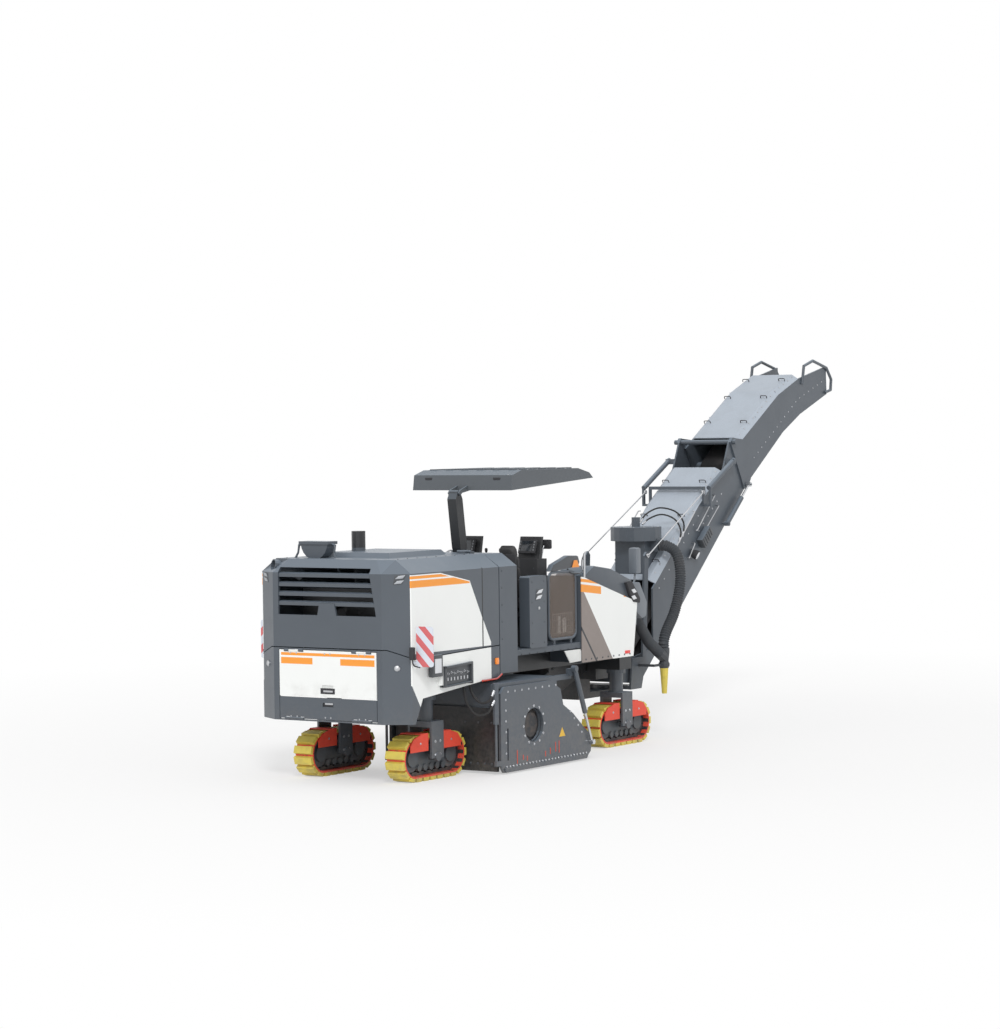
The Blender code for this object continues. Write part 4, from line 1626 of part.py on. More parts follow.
def side_guard():
    """The tube frame at the right edge of the platform, with its clear pane."""
    rear, front = GUARD_X
    low, high = GUARD_Z
    outline = rounded([(rear, low), (front, low), (front, high), (rear, high)], 3 * OVER)
    ring = closed_tube([(x, GUARD_Y, z) for x, z in outline], TUBE_RADIUS, 8)
    parts = [ring]
    for x in (rear + 4 * OVER, front - 4 * OVER):
        parts.append(rod((x, GUARD_Y, FLOOR_Z + GAP), (x, GUARD_Y, low + TUBE_RADIUS / 2), TUBE_RADIUS, steps=8))
    solid("side_guard", "root", DARK, parts)
    inset = TUBE_RADIUS + PANE_PLAY
    pane = rounded([(rear + inset, low + inset), (front - inset, low + inset), (front - inset, high - inset),
                    (rear + inset, high - inset)], 3 * OVER - inset)
    solid("side_pane", "root", CLEAR_PANE, [prism(pane, "y", GUARD_Y - PANE_WALL / 2, GUARD_Y + PANE_WALL / 2)])


def closed_tube(points, radius, steps):
    """A round tube along a closed loop in an upright plane across Y."""
    points = [Vector(p) for p in points]
    count = len(points)
    rows = []
    for k, place in enumerate(points):
        before = (place - points[k - 1]).normalized()
        after = (points[(k + 1) % count] - place).normalized()
        mitre = (before + after).normalized()
        out = Vector((mitre.z, 0, -mitre.x)) / before.dot(mitre)
        rows.append([place + radius * (cos(2 * pi * i / steps) * out + Vector((0, sin(2 * pi * i / steps), 0)))
                     for i in range(steps)])
    faces = []
    for k in range(count):
        after = (k + 1) % count
        for i in range(steps):
            j = (i + 1) % steps
            faces.append((k * steps + i, k * steps + j, after * steps + j, after * steps + i))
    return closed([p for row in rows for p in row], faces)


# Warning boards

BOARD_SIZE = (0.24, 0.47)
BOARD_WALL = 0.012
BOARD_Z = 1.42
# Side, x and inner edge of each board
BOARDS = (("right", -1, -5.84), ("left", 1, -5.52))
BOARD_GAP = 0.055
BOARD_INNER = HULL_HALF + BOARD_GAP


def boards():
    """The two warning boards on their brackets beside the hull."""
    for hand, side, x in BOARDS:
        low, high = sorted((side * BOARD_INNER, side * (BOARD_INNER + BOARD_SIZE[0])))
        face = rounded([(low, BOARD_Z), (high, BOARD_Z), (high, BOARD_Z + BOARD_SIZE[1]), (low, BOARD_Z + BOARD_SIZE[1])], OVER)
        arm_low, arm_high = sorted((side * (HULL_HALF + GAP), side * (BOARD_INNER + 2 * OVER)))
        parts = [prism(face, "x", x, x + BOARD_WALL),
                 box((x + BOARD_WALL / 2, x + BOARD_WALL + OVER), (arm_low, arm_high), (BOARD_Z + OVER, BOARD_Z + 2 * OVER))]
        solid("warning_board_" + hand, "root", BOARD, parts)


def main_body():
    """Bodies in order, then all their pieces."""
    body("root", None, (0, 0, 0))
    tracks()
    chassis()
    engine()
    cooling_pack()
    lower_hull()
    rear_doors()
    engine_hood()
    milling_drum()
    milling_housing()
    for name, side in (("side_plate_right", -1), ("side_plate_left", 1)):
        side_plate(name, side)
    for hand, side in (("right", -1), ("left", 1)):
        plate_strut(hand, side)
    scraper()
    cabinet()
    platform()
    consoles()
    chair()
    water_tank()
    canopy()
    pickup()
    slew_bracket()
    conveyor_lower()
    conveyor_upper()
    stays()
    fold_cylinders()
    dust_system()
    side_guard()
    boards()


if __name__ == "__main__":
    main_body()
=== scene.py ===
"""Looks for a cold planer: paints, stripes, fasteners, hoses, cushions, lamps and a plain studio."""

from math import cos, pi, radians, sin

import bmesh
import bpy
from bpy.props import FloatProperty, FloatVectorProperty, PointerProperty
from mathutils import Matrix, Vector
from mathutils.bvhtree import BVHTree


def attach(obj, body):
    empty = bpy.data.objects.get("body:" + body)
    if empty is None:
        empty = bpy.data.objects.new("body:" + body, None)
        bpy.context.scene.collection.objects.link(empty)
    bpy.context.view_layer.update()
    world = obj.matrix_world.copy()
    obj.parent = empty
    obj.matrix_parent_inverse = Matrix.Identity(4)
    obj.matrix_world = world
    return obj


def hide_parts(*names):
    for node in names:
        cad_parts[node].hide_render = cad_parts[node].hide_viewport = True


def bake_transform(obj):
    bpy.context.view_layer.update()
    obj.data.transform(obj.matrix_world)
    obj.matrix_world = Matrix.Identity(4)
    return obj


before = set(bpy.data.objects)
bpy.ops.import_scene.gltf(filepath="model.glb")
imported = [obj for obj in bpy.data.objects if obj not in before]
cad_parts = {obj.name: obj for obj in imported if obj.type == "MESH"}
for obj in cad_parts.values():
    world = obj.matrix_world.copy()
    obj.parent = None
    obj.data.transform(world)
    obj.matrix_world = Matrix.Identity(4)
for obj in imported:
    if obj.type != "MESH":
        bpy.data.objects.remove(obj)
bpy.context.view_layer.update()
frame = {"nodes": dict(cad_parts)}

bl_info = {
    "name": "Cold planer looks",
    "version": (1, 0, 0),
    "blender": (4, 5, 0),
    "location": "View3D > Sidebar > Planer",
    "description": "Paints and details a cold planer around its packed CAD frame",
    "category": "Object",
}


# Materials

class Wire:
    """One value in a material's nodes; sums and comparisons of it add Math nodes."""

    def __init__(self, tree, socket=None):
        self.tree = tree
        self.socket = socket

    def node(self, kind, settings, values, out=0):
        """A node of any type: its settings first, then the values or links of its sockets."""
        made = self.tree.nodes.new(kind)
        for name, value in settings.items():
            setattr(made, name, value)
        for key, value in values.items():
            socket = Wire.pick(made.inputs, key)
            if isinstance(value, Wire):
                self.tree.links.new(value.socket, socket)
            else:
                socket.default_value = value
        return Wire(self.tree, Wire.pick(made.outputs, out))

    @staticmethod
    def pick(sockets, key):
        """A socket by its place in the full list, or the enabled one of that name."""
        if isinstance(key, int):
            return sockets[key]
        return next(socket for socket in sockets if socket.name == key and socket.enabled)

    def sum(self, operation, first, second):
        return self.node("ShaderNodeMath", {"operation": operation}, {0: first, 1: second})

    def __add__(self, other):
        return self.sum("ADD", self, other)

    __radd__ = __add__

    def __sub__(self, other):
        return self.sum("SUBTRACT", self, other)

    def __rsub__(self, other):
        return self.sum("SUBTRACT", other, self)

    def __mul__(self, other):
        return self.sum("MULTIPLY", self, other)

    __rmul__ = __mul__

    def __gt__(self, other):
        return self.sum("GREATER_THAN", self, other)

    def __lt__(self, other):
        return self.sum("LESS_THAN", self, other)

    def __abs__(self):
        return self.sum("ABSOLUTE", self, 0.0)

    def __mod__(self, other):
        return self.sum("FLOORED_MODULO", self, other)

    def either(self, other):
        return self.sum("MAXIMUM", self, other)

    def over(self, under, colour):
        """The under colour with another over it where this mask is 1."""
        return self.node("ShaderNodeMix", {"data_type": "RGBA"},
                         {0: self, 6: opaque(under), 7: opaque(colour)}, 2)


def opaque(colour):
    """A colour with full alpha; one that varies over the surface stays as it is."""
    return colour if isinstance(colour, Wire) else (*colour[:3], 1.0)


def shaded(colour, share):
    """A share of a plain colour."""
    return tuple(c * share for c in colour[:3])


def begin(name):
    """A new material, its place on the object, the three axes of that, and its shader."""
    made = bpy.data.materials.new(name)
    made.use_nodes = True
    shader = made.node_tree.nodes["Principled BSDF"]
    place = Wire(made.node_tree).node("ShaderNodeTexCoord", {}, {}, "Object")
    axes = [place.node("ShaderNodeSeparateXYZ", {}, {"Vector": place}, k) for k in range(3)]
    return made, place, axes, shader


def grain(place, scale, detail=4.0, roughness=0.6):
    """Noise from 0 to 1 at a scale in 1/m."""
    return place.node("ShaderNodeTexNoise", {"noise_dimensions": "3D"},
                      {"Vector": place, "Scale": scale, "Detail": detail, "Roughness": roughness}, "Fac")


def pebbles(place, scale):
    """Distance to the edges of small cells at a scale in 1/m."""
    return place.node("ShaderNodeTexVoronoi", {"feature": "DISTANCE_TO_EDGE"},
                      {"Vector": place, "Scale": scale}, "Distance")


def ramp(value, low, high):
    """0 below low, 1 above high and straight between them."""
    return value.node("ShaderNodeMapRange", {"clamp": True}, {0: value, 1: low, 2: high, 3: 0.0, 4: 1.0})


def between(value, low, high):
    return (value > low) * (value < high)


def away(first, second):
    """The length of a line with these two sides."""
    squares = first * first + second * second
    return squares.sum("SQRT", squares, 0.0)


def above(x, z, point, fall):
    """Height over a line through a point, which falls by a share of the way along x."""
    return z + x * fall - (point[1] + point[0] * fall)


def within(u, v, corners):
    """1 inside a convex outline whose corners run anticlockwise."""
    mask = None
    for k, (a, b) in enumerate(corners):
        c, d = corners[(k + 1) % len(corners)]
        edge = (v * (c - a) - u * (d - b)) > (b * (c - a) - a * (d - b))
        mask = edge if mask is None else mask * edge
    return mask


def upward(place):
    """How far a surface faces up, from 0 to 1."""
    normal = place.node("ShaderNodeNewGeometry", {}, {}, "Normal")
    return ramp(place.node("ShaderNodeSeparateXYZ", {}, {"Vector": normal}, 2), 0.25, 0.85)


def feed(shader, name, value):
    """Links a varying value to a shader's socket, or sets a plain one on it."""
    if isinstance(value, Wire):
        value.tree.links.new(value.socket, shader.inputs[name])
    else:
        shader.inputs[name].default_value = value


def finish(shader, place, colour, roughness, bump=None, height=0.0004, metallic=0.0, coat=0.0):
    """Joins the colour, roughness and bump to the shader."""
    feed(shader, "Base Color", opaque(colour))
    feed(shader, "Roughness", roughness)
    feed(shader, "Metallic", metallic)
    feed(shader, "Coat Weight", coat)
    feed(shader, "Coat Roughness", 0.25)
    if bump is not None:
        feed(shader, "Normal", place.node("ShaderNodeBump", {}, {"Height": bump, "Strength": 0.6,
                                                                 "Distance": height}, "Normal"))


# Scales in 1/m of scuffs and of the paint's orange peel
SCUFF_SCALE = 6.0
PEEL_SCALE = 190.0
# Colours of dirt, of bare or worn material and of the painted sky sheen on top faces, which a user would
# leave as they are
PAINTED_SKY_SHEEN = (0.235, 0.29, 0.355)
ROAD_DUST = (0.23, 0.205, 0.18)
DOOR_DIRT = (0.33, 0.30, 0.27)
TRACK_DUST = (0.30, 0.27, 0.21)
RUBBER_DUST = (0.11, 0.10, 0.095)
SOOT = (0.022, 0.023, 0.026)
JOINT_BLACK = (0.006, 0.006, 0.007)


def satin(shader, place, colour, spread=0.2, gloss=0.33, coat=0.2, height=0.0004):
    """Satin machine paint: scuffed gloss over orange peel."""
    finish(shader, place, colour, grain(place, SCUFF_SCALE) * spread + gloss, grain(place, PEEL_SCALE, 2.0),
           height, coat=coat)


def weathered_with_sky_sheen(place, height, colour, sky_sheen, dust):
    """A paint colour with faint mottling, a painted sky sheen that lightens its top faces, and dust low down.
    """
    mottle = grain(place, 1.7, 5.0)
    fine = grain(place, 23.0, 3.0)
    shade = (ramp(mottle, 0.3, 0.7) * 0.35).over(colour, shaded(colour, 0.78))
    # painted sky sheen: faces that look up are lightened towards a pale blue-grey, as if they caught the
    # sky's light
    shade = (upward(place) * sky_sheen).over(shade, PAINTED_SKY_SHEEN)
    low = ramp(height, 1.1, 0.0) * ramp(fine * 0.5 + mottle * 0.5, 0.38, 0.66)
    return (low * dust).over(shade, ROAD_DUST)


def dark_paint(name, colour, dust=0.45):
    """Plain machine paint of any colour, with a painted sky sheen on its top faces."""
    made, place, axes, shader = begin(name)
    satin(shader, place, weathered_with_sky_sheen(place, axes[2], colour, 0.62, dust), 0.22, 0.34, 0.18)
    return made


def white_panel(place, looks, scale):
    """White paint that is duller in patches."""
    return (ramp(grain(place, scale, 5.0), 0.35, 0.7) * 0.25).over(looks.white_paint,
                                                                  shaded(looks.white_paint, 0.93))


# Outlines on the hull's sides in x and z, and how far out they start
SIDE_WHITE = ((-5.98, 1.56), (-4.38, 1.56), (-4.38, 1.90), (-4.64, 2.365), (-5.25, 2.485), (-5.895, 2.485))
SIDE_TRIANGLE = ((-4.36, 1.56), (-4.20, 1.56), (-4.20, 1.60), (-4.36, 1.875))
LOWER_WHITE = ((-5.86, 0.9), (-4.20, 0.9), (-4.20, 1.535), (-5.99, 1.50), (-6.0, 1.42), (-5.86, 1.20))
HULL_SIDE = 1.088
# The two stripes' heights, their ends in x, and a point and the fall of the line that cuts them off
HULL_STRIPES = ((2.437, 2.472), (2.335, 2.418))
STRIPE_ENDS = (-5.885, -4.64)
STRIPE_CUT = ((-4.64, 2.353), 0.197)
PANEL_JOINT = (-4.385, -4.365)
SEAM_HEIGHT = 1.55
# The room round the exhaust stack, above the hood's raised cover
STACK_X = (-5.2, -4.8)
STACK_Y = (0.05, 0.50)
STACK_FOOT = 2.76


def hull_paint(looks):
    """Dark grey hull with the white side panels, two orange stripes, the panel joint and the sooty stack."""
    made, place, (x, y, z), shader = begin("hull_paint")
    # the dark grey gets a painted sky sheen on its top faces
    dark = weathered_with_sky_sheen(place, z, looks.dark_paint, 0.62, 0.4)
    side = abs(y) > HULL_SIDE
    high, corner, low = (within(x, z, outline) for outline in (SIDE_WHITE, SIDE_TRIANGLE, LOWER_WHITE))
    panel = high.either(corner).either(low) * side
    thin, thick = (between(z, *heights) for heights in HULL_STRIPES)
    stripe = (thin + thick) * between(x, *STRIPE_ENDS) * (above(x, z, *STRIPE_CUT) < 0.0)
    colour = panel.over(dark, stripe.over(white_panel(place, looks, 2.1), looks.orange_paint))
    stack = (z > STACK_FOOT) * between(y, *STACK_Y) * between(x, *STACK_X)
    colour = stack.over(colour, SOOT)
    colour = (between(x, *PANEL_JOINT) * (z > SEAM_HEIGHT) * side).over(colour, JOINT_BLACK)
    satin(shader, place, colour)
    return made


# The door's outer face in x and half width, its stripes' heights, and the gap in the thicker one
DOOR_FACE = -6.025
DOOR_HALF = 0.69
DOOR_STRIPES = ((1.515, 1.550), (1.415, 1.492))
STRIPE_GAP = (-0.19, 0.22)


def door_paint(looks):
    """White rear door with two orange stripes, the thicker one open in its middle."""
    made, place, (x, y, z), shader = begin("door_paint")
    thin, thick = (between(z, *heights) for heights in DOOR_STRIPES)
    stripe = (thin + thick * (1.0 - between(y, *STRIPE_GAP))) * (x < DOOR_FACE) * (abs(y) < DOOR_HALF)
    colour = stripe.over(white_panel(place, looks, 2.4), looks.orange_paint)
    low = ramp(z, 1.25, 1.02) * ramp(grain(place, 5.0, 5.0), 0.45, 0.7) * 0.3
    satin(shader, place, low.over(colour, DOOR_DIRT), 0.18, 0.3, 0.25, 0.0003)
    return made


# The tank's side in y; a point and the fall of the grey band's edge, its dark line and the stripes' slope
TANK_SIDE = 1.09
BAND_EDGE = ((-2.08, 2.09), 1.309)
BAND_LINE = ((-1.79, 1.22), 1.244)
LINE_WIDTH = 0.05
TANK_SLOPE = ((-2.1, 0.0), 0.113)
TANK_STRIPES = ((2.222, 2.262), (2.095, 2.192))
THIN_END = -0.98
THICK_END = -1.67
THICK_PATCH = (-1.12, -0.96)
TANK_TOP = 2.285
BAND_GREY = ((0.255, 0.215, 0.195), (0.19, 0.165, 0.155))


def tank_paint(looks):
    """White tank sides with stripes and a slanted grey band, under a dark top."""
    made, place, (x, y, z), shader = begin("tank_paint")
    grey = (ramp(grain(place, 3.0, 5.0), 0.3, 0.75) * 0.5).over(*BAND_GREY)
    level = above(x, z, *TANK_SLOPE)
    thin, thick = (between(level, *heights) for heights in TANK_STRIPES)
    stripe = thin * (x < THIN_END) + thick * ((x < THICK_END) + between(x, *THICK_PATCH))
    colour = (above(x, z, *BAND_EDGE) < 0.0).over(white_panel(place, looks, 2.2), grey)
    colour = between(above(x, z, *BAND_LINE), -LINE_WIDTH, 0.0).over(colour, (0.03, 0.032, 0.036))
    colour = stripe.over(colour, looks.orange_paint)
    # the dark top gets a painted sky sheen on its up-facing faces
    dark = weathered_with_sky_sheen(place, z, looks.dark_paint, 0.62, 0.3)
    satin(shader, place, ((abs(y) > TANK_SIDE) * (level < TANK_TOP)).over(dark, colour))
    return made


def sheet_paint(looks):
    """Blue-grey cover sheet with a fine grain and streaks of dust."""
    made, place, axes, shader = begin("cover_sheet")
    speck = grain(place, 95.0, 3.0, 0.7)
    streak = grain(place, 3.2, 5.0)
    shade = (ramp(speck, 0.35, 0.65) * 0.5).over(looks.cover_grey, shaded(looks.cover_grey, 0.72))
    shade = (ramp(streak, 0.45, 0.75) * 0.35).over(shade, (0.33, 0.36, 0.40))
    finish(shader, place, shade, streak * 0.2 + 0.42, speck, 0.0006, coat=0.05)
    return made


# Places of the four tracks, and the loop's straight half, wheel height, shoe and pad radii
TRACK_X = {"front": -0.65, "rear": -5.0}
TRACK_Y = {"right": -0.68, "left": 0.68}
LOOP_HALF = 0.39
WHEEL_HEIGHT = 0.275
SHOE_RADIUS = 0.2085
PAD_RADIUS = 0.2305
# Where a frame's red fenders start, out from its middle and up, and the foot of their lids
FENDER_X = 0.155
FENDER_Y = 0.1365
FENDER_FOOT = 0.358
LID_FOOT = 0.552


def belt_colour(looks, x, z, mud, place):
    """Yellow pads on red shoes, over the dark chain."""
    loop = away((abs(x) - LOOP_HALF).either(0.0), z - WHEEL_HEIGHT)
    chip = ramp(grain(place, 34.0, 4.0), 0.55, 0.62)
    yellow = (ramp(mud, 0.42, 0.7) * 0.35).over(looks.pad_yellow, (0.36, 0.30, 0.10))
    red = (chip * 0.5).over(looks.track_red, (0.10, 0.07, 0.06))
    shoe = between(loop, SHOE_RADIUS, PAD_RADIUS).over((0.030, 0.031, 0.034), red)
    return (loop > PAD_RADIUS).over(shoe, yellow)


def frame_colour(looks, x, y, z, mud):
    """Red fenders and lids over the dark beam."""
    fender = (abs(y) > FENDER_Y) * (z > FENDER_FOOT) * (abs(x) > FENDER_X)
    red = (ramp(mud, 0.5, 0.75) * 0.2).over(looks.track_red, (0.33, 0.05, 0.03))
    dark = (ramp(mud, 0.4, 0.7) * 0.5).over((0.075, 0.088, 0.10), (0.04, 0.042, 0.047))
    return fender.either(z > LID_FOOT).over(dark, red)


def track_look(looks, kind, end, hand):
    """The belt or the frame of one track, told apart by height and distance from its middle."""
    made, place, (x, y, z), shader = begin(f"track_{kind}_{end}_{hand}_paint")
    mud = grain(place, 9.0, 5.0)
    x, y = x - TRACK_X[end], y - TRACK_Y[hand]
    colour = belt_colour(looks, x, z, mud, place) if kind == "belt" else frame_colour(looks, x, y, z, mud)
    dust = ramp(z, 0.35, 0.0) * ramp(mud, 0.4, 0.65) * 0.35
    finish(shader, place, dust.over(colour, TRACK_DUST), mud * 0.25 + 0.42, grain(place, 60.0), 0.001)
    return made


# Rear face of each warning board in x; pitch of the stripes and the red one's height
BOARD_FACE = {"right": -5.825, "left": -5.505}
BOARD_PITCH = 0.205
BOARD_RED = 0.10


def board_paint(hand):
    """Red and white slanted stripes of reflective sheet."""
    made, place, (x, y, z), shader = begin("board_" + hand)
    slant = (z - y if hand == "right" else z + y) % BOARD_PITCH
    cell = ramp(grain(place, 210.0, 1.0), 0.35, 0.65)
    white = (cell * 0.4).over((0.66, 0.70, 0.78), (0.80, 0.83, 0.88))
    red = (cell * 0.35).over((0.62, 0.12, 0.13), (0.76, 0.21, 0.22))
    colour = (x < BOARD_FACE[hand]).over((0.10, 0.11, 0.12), (slant < BOARD_RED).over(white, red))
    finish(shader, place, colour, 0.35, cell, 0.0002)
    return made


def rubber_look(name, colour=(0.022, 0.022, 0.024)):
    """Matt rubber with dust in its grain."""
    made, place, axes, shader = begin(name)
    fine = grain(place, 60.0)
    shade = (ramp(grain(place, 4.0), 0.45, 0.75) * 0.35).over(colour, RUBBER_DUST)
    finish(shader, place, shade, fine * 0.2 + 0.66, fine, 0.0008)
    return made


def plastic_look(name, colour, roughness=0.45):
    """Moulded plastic with a fine leather grain."""
    made, place, axes, shader = begin(name)
    worn = grain(place, 8.0)
    pale = [min(1.0, c * 1.35 + 0.012) for c in colour]
    shade = (ramp(worn, 0.45, 0.8) * 0.4).over(colour, pale)
    finish(shader, place, shade, worn * 0.15 + roughness, pebbles(place, 420.0), 0.0002)
    return made


def metal_look(name, colour, roughness=0.3, metallic=1.0):
    """Bare or plated metal with fine scratches."""
    made, place, axes, shader = begin(name)
    scratch = grain(place, 140.0, 3.0, 0.8)
    shade = (ramp(scratch, 0.4, 0.7) * 0.3).over(colour, shaded(colour, 0.7))
    finish(shader, place, shade, scratch * 0.2 + roughness, scratch, 0.0002, metallic=metallic)
    return made


# The drum's axis in x and z, and the radius past which its tools are worn bright
DRUM_AXIS = (-3.55, 0.545)
TIP_RADIUS = 0.4604


def drum_look():
    """Ground steel drum with worn tool holders."""
    made, place, (x, y, z), shader = begin("drum_steel")
    rub = grain(place, 14.0, 5.0)
    tip = away(x - DRUM_AXIS[0], z - DRUM_AXIS[1]) > TIP_RADIUS
    shade = (ramp(rub, 0.4, 0.7) * 0.6).over((0.045, 0.047, 0.052), (0.15, 0.12, 0.10))
    shade = (tip * 0.8).over(shade, (0.30, 0.28, 0.26))
    finish(shader, place, shade, rub * 0.2 + 0.42, rub, 0.0015, metallic=0.5)
    return made


def vinyl_look(name):
    """Black vinyl with a pebbled grain."""
    made, place, axes, shader = begin(name)
    worn = grain(place, 7.0)
    shade = (ramp(worn, 0.45, 0.75) * 0.5).over((0.022, 0.022, 0.024), (0.05, 0.048, 0.047))
    finish(shader, place, shade, worn * 0.2 + 0.48, pebbles(place, 260.0), 0.0004)
    return made


def pane_look():
    """Brown tinted pane, clear enough to see through."""
    made, place, axes, shader = begin("tinted_pane")
    smear = grain(place, 5.0)
    finish(shader, place, (smear * 0.4).over((0.20, 0.15, 0.12), (0.30, 0.25, 0.21)), smear * 0.1 + 0.08)
    feed(shader, "Alpha", 0.34)
    return made


# Distance between two ribs of a lens
LENS_PITCH = 0.008


def lamp_look(name, colour, glow=0.0):
    """A moulded lens with fine ribs."""
    made, place, (x, y, z), shader = begin(name)
    rib = (z % LENS_PITCH) * 90.0
    shade = (ramp(rib, 0.2, 0.6) * 0.35).over(colour, shaded(colour, 0.6))
    finish(shader, place, shade, 0.2, rib, 0.0003, coat=0.5)
    feed(shader, "Emission Color", opaque(colour))
    feed(shader, "Emission Strength", glow)
    return made


# Tread bars to a metre
TREAD_SCALE = 28.0


def floor_plate_look(looks):
    """Dark tread plate with raised bars in alternate directions."""
    made, place, (x, y, z), shader = begin("tread_plate")
    u, v = (x + y) * TREAD_SCALE, (x - y) * TREAD_SCALE
    cell = (u * 0.5) % 1.0 > 0.5
    bar = cell * between(v % 1.0, 0.34, 0.66) * between(u % 1.0, 0.12, 0.88)
    bar = bar.either((1.0 - cell) * between(u % 1.0, 0.34, 0.66) * between(v % 1.0, 0.12, 0.88))
    top = bar * upward(place)
    # the plate's paint gets a painted sky sheen on its top faces
    shade = weathered_with_sky_sheen(place, z, looks.dark_paint, 0.4, 0.3)
    finish(shader, place, (top * 0.5).over(shade, (0.20, 0.215, 0.23)), 0.45, top, 0.003)
    return made


def canopy_look():
    """Grey canopy shell, paler above from a painted sky sheen, and dull below."""
    made, place, axes, shader = begin("canopy_shell")
    shade = weathered_with_sky_sheen(place, axes[2], (0.10, 0.112, 0.125), 0.5, 0.0)
    speck = grain(place, 120.0, 3.0)
    finish(shader, place, shade, speck * 0.2 + 0.42, speck, 0.0004)
    return made


# Height at which the clamp round the cone starts
CLAMP_FOOT = 0.928


def outlet_look(looks):
    """Yellow outlet cone under its black clamp and grey fork."""
    made, place, (x, y, z), shader = begin("outlet_cone")
    mud = grain(place, 12.0, 5.0)
    yellow = (ramp(mud, 0.42, 0.7) * 0.3).over(looks.pad_yellow, (0.30, 0.26, 0.07))
    colour = (z < CLAMP_FOOT).over((0.05, 0.055, 0.062), yellow)
    finish(shader, place, colour, mud * 0.2 + 0.45, mud, 0.0008)
    return made


def screen_look(name):
    """A dark display behind glossy glass, with a faint tint that drifts over it."""
    made, place, axes, shader = begin(name)
    drift = grain(place, 9.0, 2.0)
    shade = (ramp(drift, 0.35, 0.7) * 0.6).over((0.012, 0.014, 0.018), (0.045, 0.06, 0.075))
    finish(shader, place, shade, drift * 0.06 + 0.07, coat=0.6)
    return made


def paint_table(looks):
    """The material of each CAD node."""
    black = dark_paint("chassis_black", (0.018, 0.020, 0.023), 0.35)
    hull = hull_paint(looks)
    belt = rubber_look("belt_rubber")
    rod = metal_look("chromed_rod", (0.66, 0.67, 0.69), 0.14)
    cover = sheet_paint(looks)
    plastic = plastic_look("desk_plastic", (0.030, 0.031, 0.034))
    machine = dark_paint("machine_paint", looks.dark_paint)
    table = dict.fromkeys(frame["nodes"], machine)
    for node in frame["nodes"]:
        words = node.split("_")
        if words[0] == "track" and words[1] != "yoke":
            table[node] = track_look(looks, *words[1:])
        elif words[-1] == "belt" or words[:2] == ["dust", "hose"]:
            table[node] = belt
        elif "rod" in words or words[0] == "stay":
            table[node] = rod
    for nodes, look in ((("engine_hood", "lower_hull"), hull), (("control_desk", "chair_base"), plastic),
                        (("conveyor_lower_cover", "conveyor_upper_cover"), cover),
                        (("engine_block", "cooling_pack", "chassis_frame", "pickup_conveyor", "scraper_blade",
                          "canopy_post"), black)):
        table.update(dict.fromkeys(nodes, look))
    table.update(rear_door=door_paint(looks), water_tank=tank_paint(looks), canopy_roof=canopy_look(),
                 operator_platform=floor_plate_look(looks), milling_drum=drum_look(), side_pane=pane_look(),
                 warning_board_right=board_paint("right"), warning_board_left=board_paint("left"),
                 dust_outlet=outlet_look(looks), chair_cushions=vinyl_look("chair_vinyl"))
    return table


# Mesh forms

# The surface tree of each CAD node that was asked for, and the length below which a side counts as none
SKINS = {}
NEAR_NOTHING = 0.0001


def surface(node, start, way):
    """Where a straight line from start meets a CAD node, and the normal there."""
    if node not in SKINS:
        mesh = frame["nodes"][node].data
        SKINS[node] = BVHTree.FromPolygons([v.co for v in mesh.vertices],
                                           [p.vertices[:] for p in mesh.polygons])
    spot, normal, _, _ = SKINS[node].ray_cast(Vector(start), Vector(way).normalized())
    if spot is None:
        raise RuntimeError(f"nothing of {node} lies on the line from {start} along {way}")
    return spot, normal


def across(spot, side, middle=0.0):
    """A place as it is for side 1, or mirrored in a middle plane for side -1."""
    x, y, z = spot
    return (x, middle + side * (y - middle), z)


def turned(outline, hand, scale=1.0):
    """A flat outline scaled, and mirrored in its first measure for the other hand."""
    return [(u * hand * scale, v * scale) for u, v in outline]


def facing(place, out, up=(0.0, 0.0, 1.0)):
    """A matrix at a place whose z axis points out and whose y axis leans up."""
    z = Vector(out).normalized()
    x = Vector(up).cross(z)
    if x.length < NEAR_NOTHING:
        x = Vector((0.0, 1.0, 0.0)).cross(z)
    x.normalize()
    turn = Matrix((x, z.cross(x), z)).transposed().to_4x4()
    return Matrix.Translation(Vector(place)) @ turn


def bent(points, radius, steps=4):
    """A route with its inner corners rounded off."""
    points = [Vector(p) for p in points]
    route = [points[0]]
    for before, corner, after in zip(points, points[1:], points[2:]):
        reach = min(radius, (before - corner).length * 0.45, (after - corner).length * 0.45)
        start = corner + (before - corner).normalized() * reach
        end = corner + (after - corner).normalized() * reach
        for k in range(steps + 1):
            t = k / steps
            route.append(start * (1 - t) ** 2 + corner * 2 * t * (1 - t) + end * t ** 2)
    return route + [points[-1]]


def flowing(points, steps=8):
    """A smooth curve through every point of a route."""
    points = [Vector(p) for p in points]
    padded = [points[0] * 2 - points[1]] + points + [points[-1] * 2 - points[-2]]
    route = []
    for a, b, c, d in zip(padded, padded[1:], padded[2:], padded[3:]):
        for k in range(steps):
            t = k / steps
            route.append((b * 2 + (c - a) * t + (a * 2 - b * 5 + c * 4 - d) * t ** 2
                          + (b * 3 - a - c * 3 + d) * t ** 3) * 0.5)
    return route + [points[-1]]


